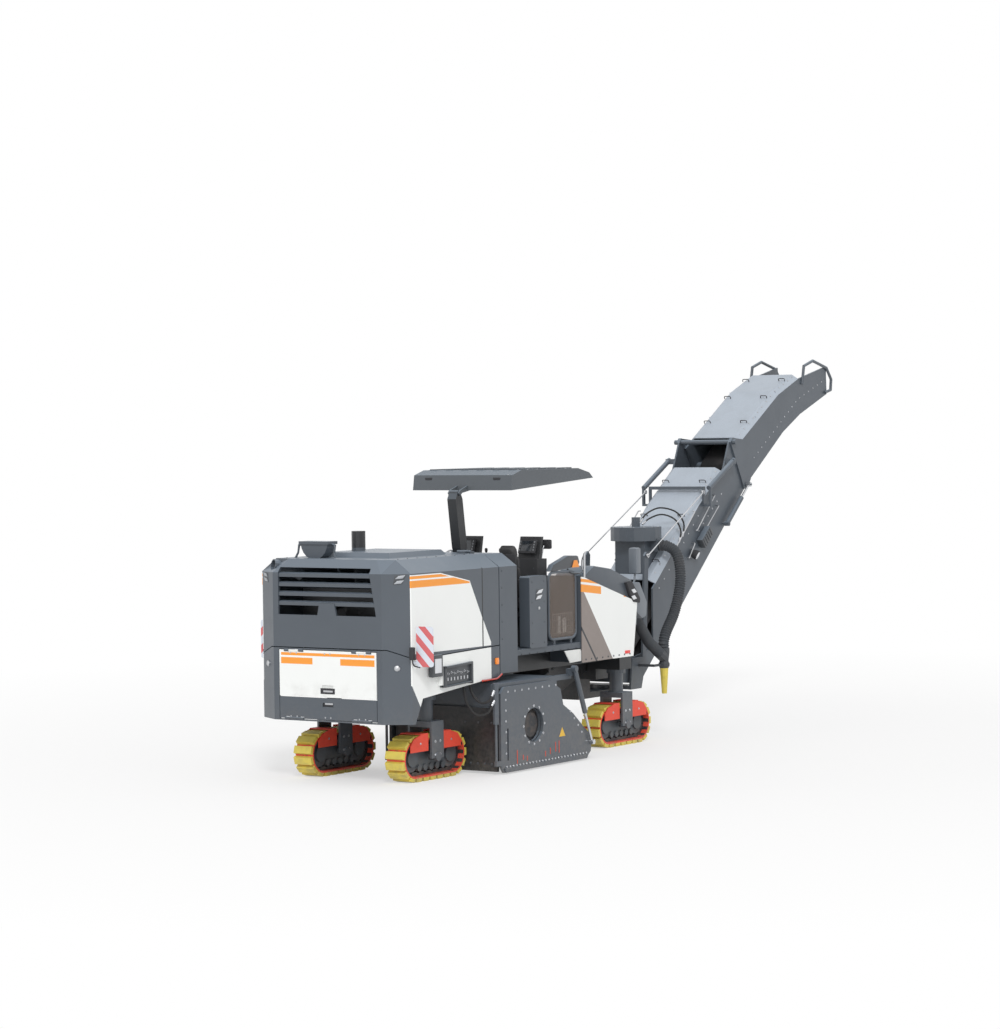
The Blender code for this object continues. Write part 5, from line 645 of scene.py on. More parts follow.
class Piece:
    """A mesh in the making: forms are added to it, then it is given its name, body and look."""

    def __init__(self):
        self.bm = bmesh.new()

    def close(self, faces, soft):
        """Turns new faces outwards and rounds their edges."""
        bmesh.ops.recalc_face_normals(self.bm, faces=faces)
        if soft:
            edges = list({edge for face in faces for edge in face.edges})
            bmesh.ops.bevel(self.bm, geom=edges, offset=soft, segments=2, profile=0.6, affect="EDGES",
                            clamp_overlap=True)

    def prism(self, outline, low, high, axis="y", soft=0.002, place=None):
        """A flat outline pushed from low to high along an axis."""
        first, second, along = {"x": (1, 2, 0), "y": (0, 2, 1), "z": (0, 1, 2)}[axis]
        rings = []
        for level in (low, high):
            ring = []
            for u, v in outline:
                spot = Vector((0.0, 0.0, 0.0))
                spot[first], spot[second], spot[along] = u, v, level
                ring.append(self.bm.verts.new(place @ spot if place else spot))
            rings.append(ring)
        faces = [self.bm.faces.new(rings[0]), self.bm.faces.new(rings[1])]
        count = len(outline)
        for k in range(count):
            m = (k + 1) % count
            faces.append(self.bm.faces.new((rings[0][k], rings[0][m], rings[1][m], rings[1][k])))
        self.close(faces, soft)
        return self

    def block(self, low, high, soft=0.003, place=None):
        """A box between two corners, its edges rounded."""
        (a, b, c), (d, e, f) = low, high
        return self.prism([(a, b), (d, b), (d, e), (a, e)], c, f, "z", soft, place)

    def lathe(self, place, steps, sides=20):
        """A turned form: radius and height steps about the z axis of a place."""
        rings = []
        for radius, height in steps:
            count = 1 if radius < NEAR_NOTHING else sides
            spots = [Vector((radius * cos(2 * pi * k / sides), radius * sin(2 * pi * k / sides), height))
                     for k in range(count)]
            rings.append([self.bm.verts.new(place @ spot) for spot in spots])
        faces = []
        for ring in (rings[0], rings[-1]):
            if len(ring) > 1:
                faces.append(self.bm.faces.new(ring))
        for low, high in zip(rings, rings[1:]):
            for k in range(sides):
                m = (k + 1) % sides
                corners = [low[k % len(low)], low[m % len(low)], high[m % len(high)], high[k % len(high)]]
                faces.append(self.bm.faces.new(list(dict.fromkeys(corners))))
        self.close(faces, 0.0)
        return self

    def tube(self, route, radius, sides=10, ring=False):
        """A round bar along a route, closed at its ends or joined to a ring."""
        route = [Vector(p) for p in route]
        count = len(route)
        ways = []
        for k in range(count):
            before = route[k - 1] if ring or k else route[0]
            after = route[(k + 1) % count] if ring or k < count - 1 else route[-1]
            ways.append((after - before).normalized())
        side = ways[0].orthogonal().normalized()
        rings = []
        for spot, way in zip(route, ways):
            side = (side - way * side.dot(way)).normalized()
            other = way.cross(side)
            turns = [2 * pi * k / sides for k in range(sides)]
            rings.append([self.bm.verts.new(spot + (side * cos(a) + other * sin(a)) * radius) for a in turns])
        faces = [] if ring else [self.bm.faces.new(rings[0]), self.bm.faces.new(rings[-1])]
        for low, high in zip(rings, rings[1:]):
            for k in range(sides):
                m = (k + 1) % sides
                faces.append(self.bm.faces.new((low[k], low[m], high[m], high[k])))
        if ring:
            last, first = rings[-1], rings[0]
            shift = min(range(sides), key=lambda s: (first[s].co - last[0].co).length)
            for k in range(sides):
                m = (k + 1) % sides
                faces.append(self.bm.faces.new((last[k], last[m], first[(m + shift) % sides],
                                                first[(k + shift) % sides])))
        self.close(faces, 0.0)
        return self

    def done(self, name, body, look, slot, angle=35.0):
        """Makes the object, smooth up to an angle, and puts it on its body."""
        mesh = bpy.data.meshes.new(name)
        self.bm.normal_update()
        self.bm.to_mesh(mesh)
        self.bm.free()
        return carried(name, mesh, body, look, angle)


def carried(name, mesh, body, look, angle=35.0):
    """An object of a finished mesh, riding on a body."""
    mesh.polygons.foreach_set("use_smooth", [True] * len(mesh.polygons))
    mesh.set_sharp_from_angle(angle=radians(angle))
    mesh.materials.clear()
    mesh.materials.append(look)
    piece = bpy.data.objects.new(name, mesh)
    bpy.context.scene.collection.objects.link(piece)
    if body:
        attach(piece, body)
    return piece


def look_named(name, make, *values):
    """A material by its name, made once."""
    return bpy.data.materials.get(name) or make(name, *values)


def black_plastic():
    return look_named("black_plastic", plastic_look, (0.020, 0.020, 0.022), 0.42)


def dark_steel():
    return look_named("dark_fittings", dark_paint, (0.060, 0.066, 0.074), 0.2)


def pale_steel():
    return look_named("plated_steel", metal_look, (0.55, 0.56, 0.58), 0.28)


def bright_lens():
    return look_named("clear_lens", lamp_look, (0.72, 0.74, 0.77), 0.0)


# Geometry Nodes

def node_tree(name, inputs):
    """A tree with a geometry input and output and named inputs; returns it, its values and their keys."""
    tree = bpy.data.node_groups.new(name, "GeometryNodeTree")
    tree.interface.new_socket("Geometry", in_out="INPUT", socket_type="NodeSocketGeometry")
    keys = {}
    for label, kind, default in inputs:
        made = tree.interface.new_socket(label, in_out="INPUT", socket_type=kind)
        if default is not None:
            made.default_value = default
        keys[label] = made.identifier
    tree.interface.new_socket("Geometry", in_out="OUTPUT", socket_type="NodeSocketGeometry")
    entry = tree.nodes.new("NodeGroupInput")
    values = {socket.name: Wire(tree, socket) for socket in entry.outputs if socket.name}
    return tree, values, keys


def end_tree(tree, shape, finish_value):
    """Closes a tree with Realize Instances and Set Material."""
    real = shape.node("GeometryNodeRealizeInstances", {}, {"Geometry": shape}, 0)
    painted = real.node("GeometryNodeSetMaterial", {}, {"Geometry": real, "Material": finish_value}, 0)
    exit_node = tree.nodes.new("NodeGroupOutput")
    tree.links.new(painted.socket, exit_node.inputs[0])


def grown(name, mesh, tree, keys, values):
    """The plain mesh that a tree makes out of a start mesh."""
    holder = bpy.data.objects.new(name + "_start", mesh)
    bpy.context.scene.collection.objects.link(holder)
    modifier = holder.modifiers.new("grow", "NODES")
    modifier.node_group = tree
    for label, value in values.items():
        modifier[keys[label]] = value
    result = bpy.data.meshes.new_from_object(holder.evaluated_get(bpy.context.evaluated_depsgraph_get()))
    holder.modifiers.remove(modifier)
    bpy.data.objects.remove(holder)
    result.name = name
    return result


def fastener_tree():
    """A hexagon head on its washer at every point, turned to the point's out attribute."""
    number = "NodeSocketFloat"
    tree, values, keys = node_tree("hexagon_fasteners", (
        ("Head radius", number, 1.0), ("Head height", number, 0.7), ("Washer radius", number, 1.4),
        ("Washer height", number, 0.22), ("Finish", "NodeSocketMaterial", None)))
    start = values["Geometry"]
    head = start.node("GeometryNodeMeshCone", {}, {
        "Vertices": 6, "Radius Bottom": values["Head radius"], "Radius Top": values["Head radius"] * 0.92,
        "Depth": values["Head height"]}, 0)
    washer = start.node("GeometryNodeMeshCylinder", {}, {
        "Vertices": 14, "Radius": values["Washer radius"], "Depth": values["Washer height"] * 2.0}, 0)
    joined = start.node("GeometryNodeJoinGeometry", {}, {"Geometry": head}, 0)
    tree.links.new(washer.socket, joined.socket.node.inputs[0])
    out, size = (start.node("GeometryNodeInputNamedAttribute", {"data_type": kind}, {"Name": name},
                            "Attribute") for name, kind in (("out", "FLOAT_VECTOR"), ("size", "FLOAT")))
    turn = start.node("FunctionNodeAlignRotationToVector", {"axis": "Z"}, {"Vector": out}, 0)
    points = start.node("GeometryNodeInstanceOnPoints", {}, {
        "Points": start, "Instance": joined, "Rotation": turn, "Scale": size}, 0)
    end_tree(tree, points, values["Finish"])
    return tree, keys


def hose_tree():
    """A ribbed hose along a line, its wall drawn in between the ribs."""
    number = "NodeSocketFloat"
    tree, values, keys = node_tree("ribbed_hose", (
        ("Hose radius", number, 0.075), ("Rib pitch", number, 0.032), ("Rib depth", number, 0.19),
        ("Finish", "NodeSocketMaterial", None)))
    line = values["Geometry"].node("GeometryNodeMeshToCurve", {}, {"Mesh": values["Geometry"]}, 0)
    steps = line.node("GeometryNodeResampleCurve", {"mode": "LENGTH"},
                      {"Curve": line, "Length": values["Rib pitch"] * 0.25}, 0)
    index = line.node("GeometryNodeInputIndex", {}, {}, 0)
    hollow = abs(index % 4.0 - 2.0) * 0.5
    girth = 1.0 - hollow * values["Rib depth"]
    circle = line.node("GeometryNodeCurvePrimitiveCircle", {},
                       {"Resolution": 24, "Radius": values["Hose radius"]}, 0)
    wall = line.node("GeometryNodeCurveToMesh", {}, {
        "Curve": steps, "Profile Curve": circle, "Scale": girth, "Fill Caps": True}, 0)
    end_tree(tree, wall, values["Finish"])
    return tree, keys


# Fasteners

class Bolts:
    """Bolt places on one body, gathered before they are grown."""

    def __init__(self):
        self.places = []

    def on(self, node, start, way, size=0.012):
        """One bolt where a line from start meets a node."""
        spot, normal = surface(node, start, way)
        if normal.dot(Vector(way)) > 0:
            normal = -normal
        self.places.append((spot, normal, size))
        return self

    def row(self, node, first, last, count, way, size=0.012):
        """Bolts along a straight row, each set down on a node."""
        first, last = Vector(first), Vector(last)
        for k in range(count):
            self.on(node, first.lerp(last, k / max(1, count - 1)), way, size)
        return self

    def round(self, node, centre, radius, count, way, size=0.012, turn=0.0):
        """A circle of bolts about a line along a way."""
        frame_at = facing(centre, -Vector(way))
        for k in range(count):
            angle = 2 * pi * k / count + turn
            self.on(node, frame_at @ Vector((radius * cos(angle), radius * sin(angle), 0.0)), way, size)
        return self

    def grow(self, name, body, look, slot, tree, keys):
        """One piece with a bolt at every place."""
        mesh = bpy.data.meshes.new(name + "_points")
        mesh.from_pydata([place[0] for place in self.places], [], [])
        outs = mesh.attributes.new("out", "FLOAT_VECTOR", "POINT")
        outs.data.foreach_set("vector", [c for place in self.places for c in place[1]])
        sizes = mesh.attributes.new("size", "FLOAT", "POINT")
        sizes.data.foreach_set("value", [place[2] for place in self.places])
        made = grown(name, mesh, tree, keys, {"Finish": look})
        return carried(name, made, body, look, 25.0)


# Sizes and colours that a user would change

class PlanerLooks(bpy.types.PropertyGroup):
    """Colours and sizes of the machine's looks."""

    dark_paint: FloatVectorProperty(name="Dark paint", description="Machine grey of hull and frame",
                                    subtype="COLOR", default=(0.078, 0.093, 0.112), min=0.0, max=1.0)
    white_paint: FloatVectorProperty(name="White paint", description="White of the side panels and the door",
                                     subtype="COLOR", default=(0.87, 0.885, 0.87), min=0.0, max=1.0)
    orange_paint: FloatVectorProperty(name="Orange paint", description="Colour of the stripes",
                                      subtype="COLOR", default=(0.90, 0.32, 0.03), min=0.0, max=1.0)
    cover_grey: FloatVectorProperty(name="Cover grey", description="Colour of the conveyor covers",
                                    subtype="COLOR", default=(0.45, 0.505, 0.575), min=0.0, max=1.0)
    track_red: FloatVectorProperty(name="Track red", description="Red of fenders and shoes", subtype="COLOR",
                                   default=(0.78, 0.075, 0.04), min=0.0, max=1.0)
    pad_yellow: FloatVectorProperty(name="Pad yellow", description="Yellow of pads and outlet cone",
                                    subtype="COLOR", default=(0.72, 0.58, 0.10), min=0.0, max=1.0)
    bolt_size: FloatProperty(name="Bolt head", description="Radius of the largest hexagon heads",
                             unit="LENGTH", default=0.013, min=0.004, max=0.02)
    rib_pitch: FloatProperty(name="Rib pitch", description="Distance between two ribs of the dust hoses",
                             unit="LENGTH", default=0.034, min=0.02, max=0.08)


class PLANER_OT_paint(bpy.types.Operator):
    """Give every CAD node its procedural finish"""
    bl_idname = "planer.paint"
    bl_label = "Paint the machine"

    def execute(self, context):
        looks = context.scene.planer_looks
        for node, look in paint_table(looks).items():
            slots = frame["nodes"][node].data.materials
            slots.clear()
            slots.append(look)
        return {"FINISHED"}


# Which sides of the machine a row is on, and the way its bolts are set down
BOTH, RIGHT, ONCE = (-1, 1), (-1,), (1,)
INWARD, DOWN, AHEAD = None, (0, 0, -1), (1, 0, 0)
HANDS = {"right": -1, "left": 1}
# Each row's body, node, sides, first and last aim on the left side, count, way and share of the full size
BOLT_ROWS = (
    ("chassis", "water_tank", BOTH, (-2.05, 2, 1.235), (-0.98, 2, 1.235), 9, INWARD, 0.7),
    ("chassis", "operator_cabinet", BOTH, (-3.95, 2, 1.62), (-3.95, 2, 2.45), 5, INWARD, 0.6),
    ("chassis", "operator_platform", BOTH, (-3.50, 2, 1.40), (-2.25, 2, 1.40), 8, INWARD, 0.7),
    ("chassis", "water_tank", BOTH, (-2.0, 0.98, 4), (-0.95, 0.98, 4), 6, DOWN, 0.7),
    ("chassis", "control_desk", BOTH, (-3, 0.56, 1.6), (-3, 0.56, 2.4), 5, AHEAD, 0.5),
    ("chassis", "side_console", RIGHT, (-3.28, 2, 1.52), (-3.28, 2, 2.28), 4, INWARD, 0.6),
    ("chassis", "side_console", RIGHT, (-3.01, 2, 1.52), (-3.01, 2, 2.28), 4, INWARD, 0.6),
    ("engine_hood", "engine_hood", BOTH, (-5.72, 0.82, 4), (-4.15, 0.82, 4), 9, DOWN, 0.6),
    ("rear_door", "rear_door", BOTH, (-7, 0.46, 1.545), (-7, 0.55, 1.545), 2, AHEAD, 0.55),
    ("rear_door", "rear_door", BOTH, (-7, 0.04, 1.545), (-7, 0.04, 1.545), 1, AHEAD, 0.55),
    ("rear_flap", "rear_flap", BOTH, (-7, 0.46, 0.79), (-7, 0.55, 0.79), 2, AHEAD, 0.55),
    ("rear_flap", "rear_flap", BOTH, (-7, 0.04, 0.79), (-7, 0.04, 0.79), 1, AHEAD, 0.55),
    ("scraper", "scraper_blade", ONCE, (-5, -1.12, 0.12), (-5, 0.22, 0.12), 14, AHEAD, 1.0),
    ("scraper", "scraper_blade", ONCE, (-5, -1.12, 0.62), (-5, 0.22, 0.62), 8, AHEAD, 0.8),
    ("conveyor_lower", "conveyor_lower_cover", BOTH, (0.92, 0.36, 5), (2.60, 0.36, 5), 14, DOWN, 0.7),
    ("conveyor_lower", "conveyor_lower_frame", BOTH, (0.92, 2, 1.98), (2.00, 2, 2.93), 9, INWARD, 0.6),
    ("conveyor_lower", "conveyor_lower_frame", BOTH, (2.02, 2, 2.72), (2.66, 2, 3.22), 6, INWARD, 0.7),
    ("conveyor_upper", "conveyor_upper_cover", BOTH, (3.32, 0.36, 6), (4.90, 0.36, 6), 13, DOWN, 0.7),
    ("conveyor_upper", "conveyor_upper_frame", BOTH, (3.62, 2, 3.72), (4.90, 2, 4.52), 12, INWARD, 0.6),
    ("conveyor_upper", "conveyor_upper_frame", BOTH, (5.02, 2, 4.58), (5.72, 2, 4.82), 6, INWARD, 0.6),
    ("canopy_roof", "canopy_roof", BOTH, (-3.15, 0.68, 5), (-1.60, 0.68, 5), 8, DOWN, 0.5),
)
# First and last x and z, count and share of each row on a side plate, and the ring about its hub opening
PLATE_ROWS = ((-4.16, 0.085, -2.36, 0.085, 26, 0.9), (-4.12, 0.995, -3.05, 0.995, 8, 0.8),
              (-4.17, 0.25, -4.17, 0.90, 6, 0.8), (-2.72, 0.64, -2.46, 0.36, 4, 0.8))
PLATE_RING = (0.235, 12, 0.9)
# Centre, radius, count and share of the ring on the dust fan's lid
FAN_RING = ((1.02, 0.0, 4), 0.315, 14, 0.6)
# Node kind, steps from the track's middle in x, heights and share of the bolts on each track
TRACK_BOLTS = (("frame", (-0.32, 0.32), (0.455,), 0.8), ("yoke", (-0.05, 0.05), (0.30, 0.46), 1.0))
PAINTED_BODIES = ("chassis", "engine_hood", "scraper")


def grow_fasteners(looks):
    """Every group of bolts, one piece for each body."""
    size = looks.bolt_size
    groups = {}
    for body, node, sides, first, last, count, way, share in BOLT_ROWS:
        bolts = groups.setdefault(body, Bolts())
        for side in sides:
            aim = (0.0, -side, 0.0) if way is INWARD else way
            bolts.row(node, across(first, side), across(last, side), count, aim, size * share)
    centre, radius, count, share = FAN_RING
    groups["conveyor_lower"].round("dust_fan", centre, radius, count, DOWN, size * share)
    for hand, side in HANDS.items():
        node = "side_plate_" + hand
        bolts = groups[node] = Bolts()
        for x, z, end_x, end_z, count, share in PLATE_ROWS:
            bolts.row(node, (x, side * 2, z), (end_x, side * 2, end_z), count, (0, -side, 0), size * share)
        radius, count, share = PLATE_RING
        bolts.round(node, (DRUM_AXIS[0], side * 2, DRUM_AXIS[1]), radius, count, (0, -side, 0), size * share)
        for end, middle in TRACK_X.items():
            groups[f"track_{end}_{hand}"] = track_bolts(end, middle, hand, side, size)
    tree, keys = fastener_tree()
    for body, bolts in groups.items():
        look, slot = (dark_steel(), "black_steel") if body in PAINTED_BODIES else (pale_steel(), "bare_steel")
        bolts.grow(body + "_fasteners", body, look, slot, tree, keys)


def track_bolts(end, middle, hand, side, size):
    """Bolts on the outer and inner faces of one track's frame and yoke."""
    bolts = Bolts()
    for start, way in ((side * 2, (0, -side, 0)), (0.0, (0, side, 0))):
        for kind, steps, heights, share in TRACK_BOLTS:
            for step in steps:
                for height in heights:
                    bolts.on(f"track_{kind}_{end}_{hand}", (middle + step, start, height), way, size * share)
    return bolts


class PLANER_OT_fasteners(bpy.types.Operator):
    """Grow hexagon bolts with washers on plates, covers and frames"""
    bl_idname = "planer.fasteners"
    bl_label = "Grow the fasteners"

    def execute(self, context):
        grow_fasteners(context.scene.planer_looks)
        return {"FINISHED"}


# Dust hoses and hydraulic hoses

# Name, route points and bodies of each dust hose, and where the bend between them starts and ends
DUST_HOSES = (
    ("dust_hose_long",
     ((1.06, -0.36, 2.55), (1.06, -0.46, 2.55), (1.05, -0.63, 2.44), (0.97, -0.73, 2.10),
      (0.80, -0.74, 1.70), (0.57, -0.735, 1.42), (0.50, -0.735, 1.29), (0.50, -0.735, 1.2003)),
     "slew_bracket", "conveyor_lower", (0.50, -0.735, 1.28), (1.02, -0.60, 2.45)),
    ("dust_hose_short",
     ((-0.4997, -0.80, 1.69), (-0.40, -0.80, 1.69), (-0.15, -0.78, 1.49), (0.08, -0.75, 1.31),
      (0.22, -0.742, 1.23), (0.36, -0.735, 1.15)),
     "chassis", "slew_bracket", (-0.42, -0.80, 1.66), (0.26, -0.74, 1.20)),
)

# Name, body, diameter and route points of each hydraulic hose
HYDRAULIC_HOSES = (
    ("fan_hose_upper", "conveyor_lower", 0.022,
     ((1.10, -0.02, 2.86), (1.20, -0.06, 2.98), (1.36, -0.18, 3.06), (1.50, -0.36, 3.00),
      (1.56, -0.446, 2.84), (1.54, -0.436, 2.66))),
    ("fan_hose_lower", "conveyor_lower", 0.022,
     ((1.09, -0.06, 2.84), (1.19, -0.12, 2.92), (1.32, -0.24, 2.97), (1.43, -0.38, 2.90),
      (1.47, -0.450, 2.74), (1.44, -0.436, 2.58))),
    ("housing_hose_lower", "chassis", 0.030,
     ((-4.74, -1.053, 1.21), (-4.74, -1.058, 1.08), (-4.72, -1.09, 0.90), (-4.64, -1.16, 0.76),
      (-4.50, -1.24, 0.77), (-4.399, -1.268, 0.91))),
    ("housing_hose_upper", "chassis", 0.030,
     ((-4.62, -1.053, 1.21), (-4.62, -1.064, 1.10), (-4.60, -1.11, 0.97), (-4.54, -1.18, 0.89),
      (-4.46, -1.245, 0.92), (-4.399, -1.268, 1.03))),
)
# A hose's end fitting: radius as a share of the hose's diameter, and height
HOSE_FITTING = ((0.62, 0.0), (0.62, 0.02), (0.72, 0.022), (0.72, 0.045), (0.56, 0.05), (0.56, 0.075))


def grow_dust_hoses(looks):
    """Ribbed hoses in place of the plain ones."""
    tree, keys = hose_tree()
    wall = look_named("hose_wall", rubber_look, (0.052, 0.058, 0.066))
    for name, points, low_body, high_body, start, end in DUST_HOSES:
        route = flowing(points)
        line = bpy.data.meshes.new(name + "_line")
        line.from_pydata(route, [(k, k + 1) for k in range(len(route) - 1)], [])
        made = grown(name, line, tree, keys, {"Rib pitch": looks.rib_pitch, "Finish": wall})
        piece = carried(name + "_ribbed", made, None, wall, 60.0)
        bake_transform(piece)
        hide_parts(name)


def lay_hydraulic_hoses():
    """Smooth hoses with a fitting at each end."""
    rubber = look_named("hydraulic_rubber", rubber_look, (0.018, 0.018, 0.019))
    for name, body, diameter, points in HYDRAULIC_HOSES:
        route = flowing(points, 6)
        length = sum((b - a).length for a, b in zip(route, route[1:]))
        piece = Piece().tube(route, diameter / 2, 12).done(name, body, rubber, "black_rubber", 60.0)
        ends = Piece()
        for spot, onward in ((route[0], route[1]), (route[-1], route[-2])):
            fitting = [(diameter * share, height) for share, height in HOSE_FITTING]
            ends.lathe(facing(spot, onward - spot), fitting, 12)
        collar = ends.done(name + "_fittings", body, pale_steel(), "bare_steel")


class PLANER_OT_hoses(bpy.types.Operator):
    """Grow the ribbed dust hoses and lay the hydraulic hoses"""
    bl_idname = "planer.hoses"
    bl_label = "Grow the hoses"

    def execute(self, context):
        grow_dust_hoses(context.scene.planer_looks)
        lay_hydraulic_hoses()
        return {"FINISHED"}


# Chair

# The seat's box; the back's outline in y and z, its depth in x, and its lean for each metre up
SEAT_PAD = ((-3.185, -0.88, 1.918), (-2.775, -0.52, 1.995))
BACK_OUTLINE = ((-0.868, 2.045), (-0.532, 2.045), (-0.522, 2.30), (-0.532, 2.56), (-0.575, 2.70),
                (-0.61, 2.745), (-0.79, 2.745), (-0.825, 2.70), (-0.868, 2.56), (-0.878, 2.30))
BACK_X = (-3.185, -3.125)
BACK_LEAN = -0.075
SHELL_FOOT = 2.0
PAD_VOXEL = 0.012
PAD_SWELL = 0.022
PAD_PRESSURE = 4.0
PAD_FRAMES = 20
SEAM_WIDTH = 0.012
SEAM_DEPTH = 0.007
# Places of the seams, in x over the seat, in y over both pads and in z over the back
SEAT_SEAMS_X = (-3.05, -2.91)
PAD_SEAMS_Y = (-0.83, -0.57)
BACK_SEAMS_Z = (2.17, 2.31, 2.45, 2.59)
# One armrest's tube and pad, and the chair's middle plane that the other is mirrored in
ARM_TUBE = ((-3.18, -0.932, 2.00), (-3.19, -0.932, 2.20), (-2.88, -0.932, 2.22))
ARM_PAD = ((-3.12, -0.960, 2.215), (-2.85, -0.904, 2.25))
CHAIR_Y = -0.70
# The plain shell behind the back
BACK_SHELL = ((-3.22, -0.85, 1.955), (-3.195, -0.55, 2.62))


def stuffed(piece, seams):
    """Swells a cushion by cloth pressure, caps how far it moves, and sews its channels."""
    remesh = piece.modifiers.new("even", "REMESH")
    remesh.mode = "VOXEL"
    remesh.voxel_size = PAD_VOXEL
    flatten(piece)
    rest = [vertex.co.copy() for vertex in piece.data.vertices]
    cloth = piece.modifiers.new("stuffing", "CLOTH")
    cloth.settings.use_pressure = True
    cloth.settings.uniform_pressure_force = PAD_PRESSURE
    cloth.settings.effector_weights.gravity = 0.0
    scene = bpy.context.scene
    cloth.point_cache.frame_start = 1
    cloth.point_cache.frame_end = PAD_FRAMES
    for step in range(1, PAD_FRAMES + 1):
        scene.frame_set(step)
    flatten(piece)
    scene.frame_set(1)
    for vertex, start in zip(piece.data.vertices, rest):
        move = vertex.co - start
        if move.length > PAD_SWELL:
            vertex.co = start + move.normalized() * PAD_SWELL
    smooth = piece.modifiers.new("fine", "SUBSURF")
    smooth.levels = smooth.render_levels = 1
    flatten(piece)
    piece.data.update()
    normals = [vertex.normal.copy() for vertex in piece.data.vertices]
    for vertex, normal in zip(piece.data.vertices, normals):
        gap = min(abs(vertex.co[axis] - place) for axis, place in seams)
        if gap < SEAM_WIDTH:
            vertex.co -= normal * SEAM_DEPTH * (1 - (gap / SEAM_WIDTH) ** 2)


def flatten(piece):
    """Applies a piece's modifiers to its mesh."""
    evaluated = piece.evaluated_get(bpy.context.evaluated_depsgraph_get())
    made = bpy.data.meshes.new_from_object(evaluated)
    piece.modifiers.clear()
    piece.data = made


def leaning(foot):
    """Leans a form backwards from a height."""
    lean = Matrix.Identity(4)
    lean[0][2] = BACK_LEAN
    lean[0][3] = -BACK_LEAN * foot
    return lean


def stuff_chair():
    """The padded seat and back in place of the plain cushions, with the armrests and back shell."""
    vinyl = look_named("chair_vinyl", vinyl_look)
    sides = [(1, y) for y in PAD_SEAMS_Y]
    seat = Piece().block(*SEAT_PAD, soft=0.03).done("chair_seat_pad", None, vinyl, "chair_cover", 180.0)
    stuffed(seat, [(0, x) for x in SEAT_SEAMS_X] + sides)
    back = Piece().prism(BACK_OUTLINE, *BACK_X, "x", 0.02, leaning(BACK_OUTLINE[0][1]))
    back = back.done("chair_back_pad", None, vinyl, "chair_cover", 180.0)
    stuffed(back, [(2, z) for z in BACK_SEAMS_Z] + sides)
    for pad in (seat, back):
        pad.data.polygons.foreach_set("use_smooth", [True] * len(pad.data.polygons))
        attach(pad, "chassis")
    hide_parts("chair_cushions")
    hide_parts("chair_cushions")
    fittings = Piece()
    for side in (1, -1):
        fittings.tube(bent([across(spot, side, CHAIR_Y) for spot in ARM_TUBE], 0.05), 0.011)
        fittings.block(*(across(spot, side, CHAIR_Y) for spot in ARM_PAD), 0.012)
    fittings.block(*BACK_SHELL, 0.01, leaning(SHELL_FOOT))
    fittings.done("chair_armrests", "chassis", black_plastic(), "black_plastic")


class PLANER_OT_chair(bpy.types.Operator):
    """Stuff the chair's seat and back, and add its armrests"""
    bl_idname = "planer.chair"
    bl_label = "Stuff the chair"

    def execute(self, context):
        stuff_chair()
        return {"FINISHED"}


# Lamps, reflectors and marks

# Slanted slats on the corner faces and consoles, about the middle of their pair, and the dark sheet round
# them that paints the shade in the gaps between them
SLATS = (((-0.09, 0.010), (0.035, 0.020), (0.085, 0.075), (-0.03, 0.060)),
         ((-0.11, -0.072), (0.010, -0.062), (0.060, -0.008), (-0.055, -0.020)))
SLAT_SHADE_SHEET = ((-0.122, -0.084), (0.025, -0.074), (0.095, 0.072), (0.080, 0.086), (-0.095, 0.070))
# Which way the hull's chamfered rear corners face, and aims inside them at the slats and the corner lamps
CORNER_OUT = (-0.857, 0.514, 0.0)
CORNER_SLATS = (-5.913, 0.995, 2.435)
CORNER_LAMP = (-5.94, 0.95, 1.40)
CORNER_LENS = ((0.036, -0.004), (0.036, 0.008), (0.030, 0.016), (0.018, 0.021), (0.0, 0.023))
CONSOLE_SLATS = (-3.11, -2, 2.12)
# Aims from the side at the marker lamp and the reflector, and their forms
SIDE_MARKER = (-4.09, 2, 1.36)
MARKER_OUTLINE = ((-0.028, -0.04), (0.028, -0.04), (0.034, 0.0), (0.028, 0.04), (-0.028, 0.04), (-0.034, 0.0))
REFLECTOR = (-1.04, 2, 1.262)
REFLECTOR_BLOCK = ((-0.06, -0.02, -0.001), (0.06, 0.02, 0.008))
# Middle and outline of the lamp housing at the tank's front corner, and its two lenses
TANK_LAMP = (-0.905, 1.104, 2.045)
TANK_HOUSING = ((-0.155, 0.115), (-0.02, 0.13), (0.18, -0.10), (0.17, -0.16), (0.02, -0.14), (-0.06, -0.05))
TANK_LENSES = (((-0.05, 0.02), (0.03, 0.032), (0.085, -0.015), (0.005, -0.027)),
               ((-0.05, -0.065), (0.03, -0.053), (0.085, -0.10), (0.005, -0.112)))
# Place and foot of the lamp behind each warning board: x, side, z
BOARD_LAMPS = ((-5.905, -1, 1.50), (-5.59, 1, 1.40))
BOARD_LAMP_Y = 1.14
# Aims at the canopy's underside, where its work lamps hang
WORK_LAMPS_X = (-3.12, -1.62)
WORK_LAMP_Y = 0.52
# Foot and top of each red depth mark by its x, and the warning triangle
GAUGE_MARKS = ((-3.93, 0.10, 0.27), (-3.80, 0.14, 0.20), (-3.71, 0.12, 0.18), (-3.30, 0.13, 0.20),
               (-3.19, 0.15, 0.23), (-3.07, 0.17, 0.29), (-2.99, 0.15, 0.30))
MARK_HALF = 0.007
HAZARD_MARK = ((-2.915, 0.46), (-2.985, 0.345), (-2.845, 0.345))
SLOW_PLATE = ((-2.315, 2.415), (-2.145, 2.415), (-2.195, 2.505), (-2.265, 2.505))
SLOW_PLATE_Y = (-1.078, -1.070)


def slanted_slats(slats, shade_sheet, place, hand, scale):
    """A pair of slanted slats on a face, over a dark sheet that paints the shade between them."""
    for outline in SLATS:
        slats.prism(turned(outline, hand, scale), 0.002, 0.009, "z", 0.002, place)
    # the dark sheet is painted shade: it darkens the gaps between and round the slats
    shade_sheet.prism(turned(SLAT_SHADE_SHEET, hand, scale), 0.0, 0.003, "z", 0.001, place)


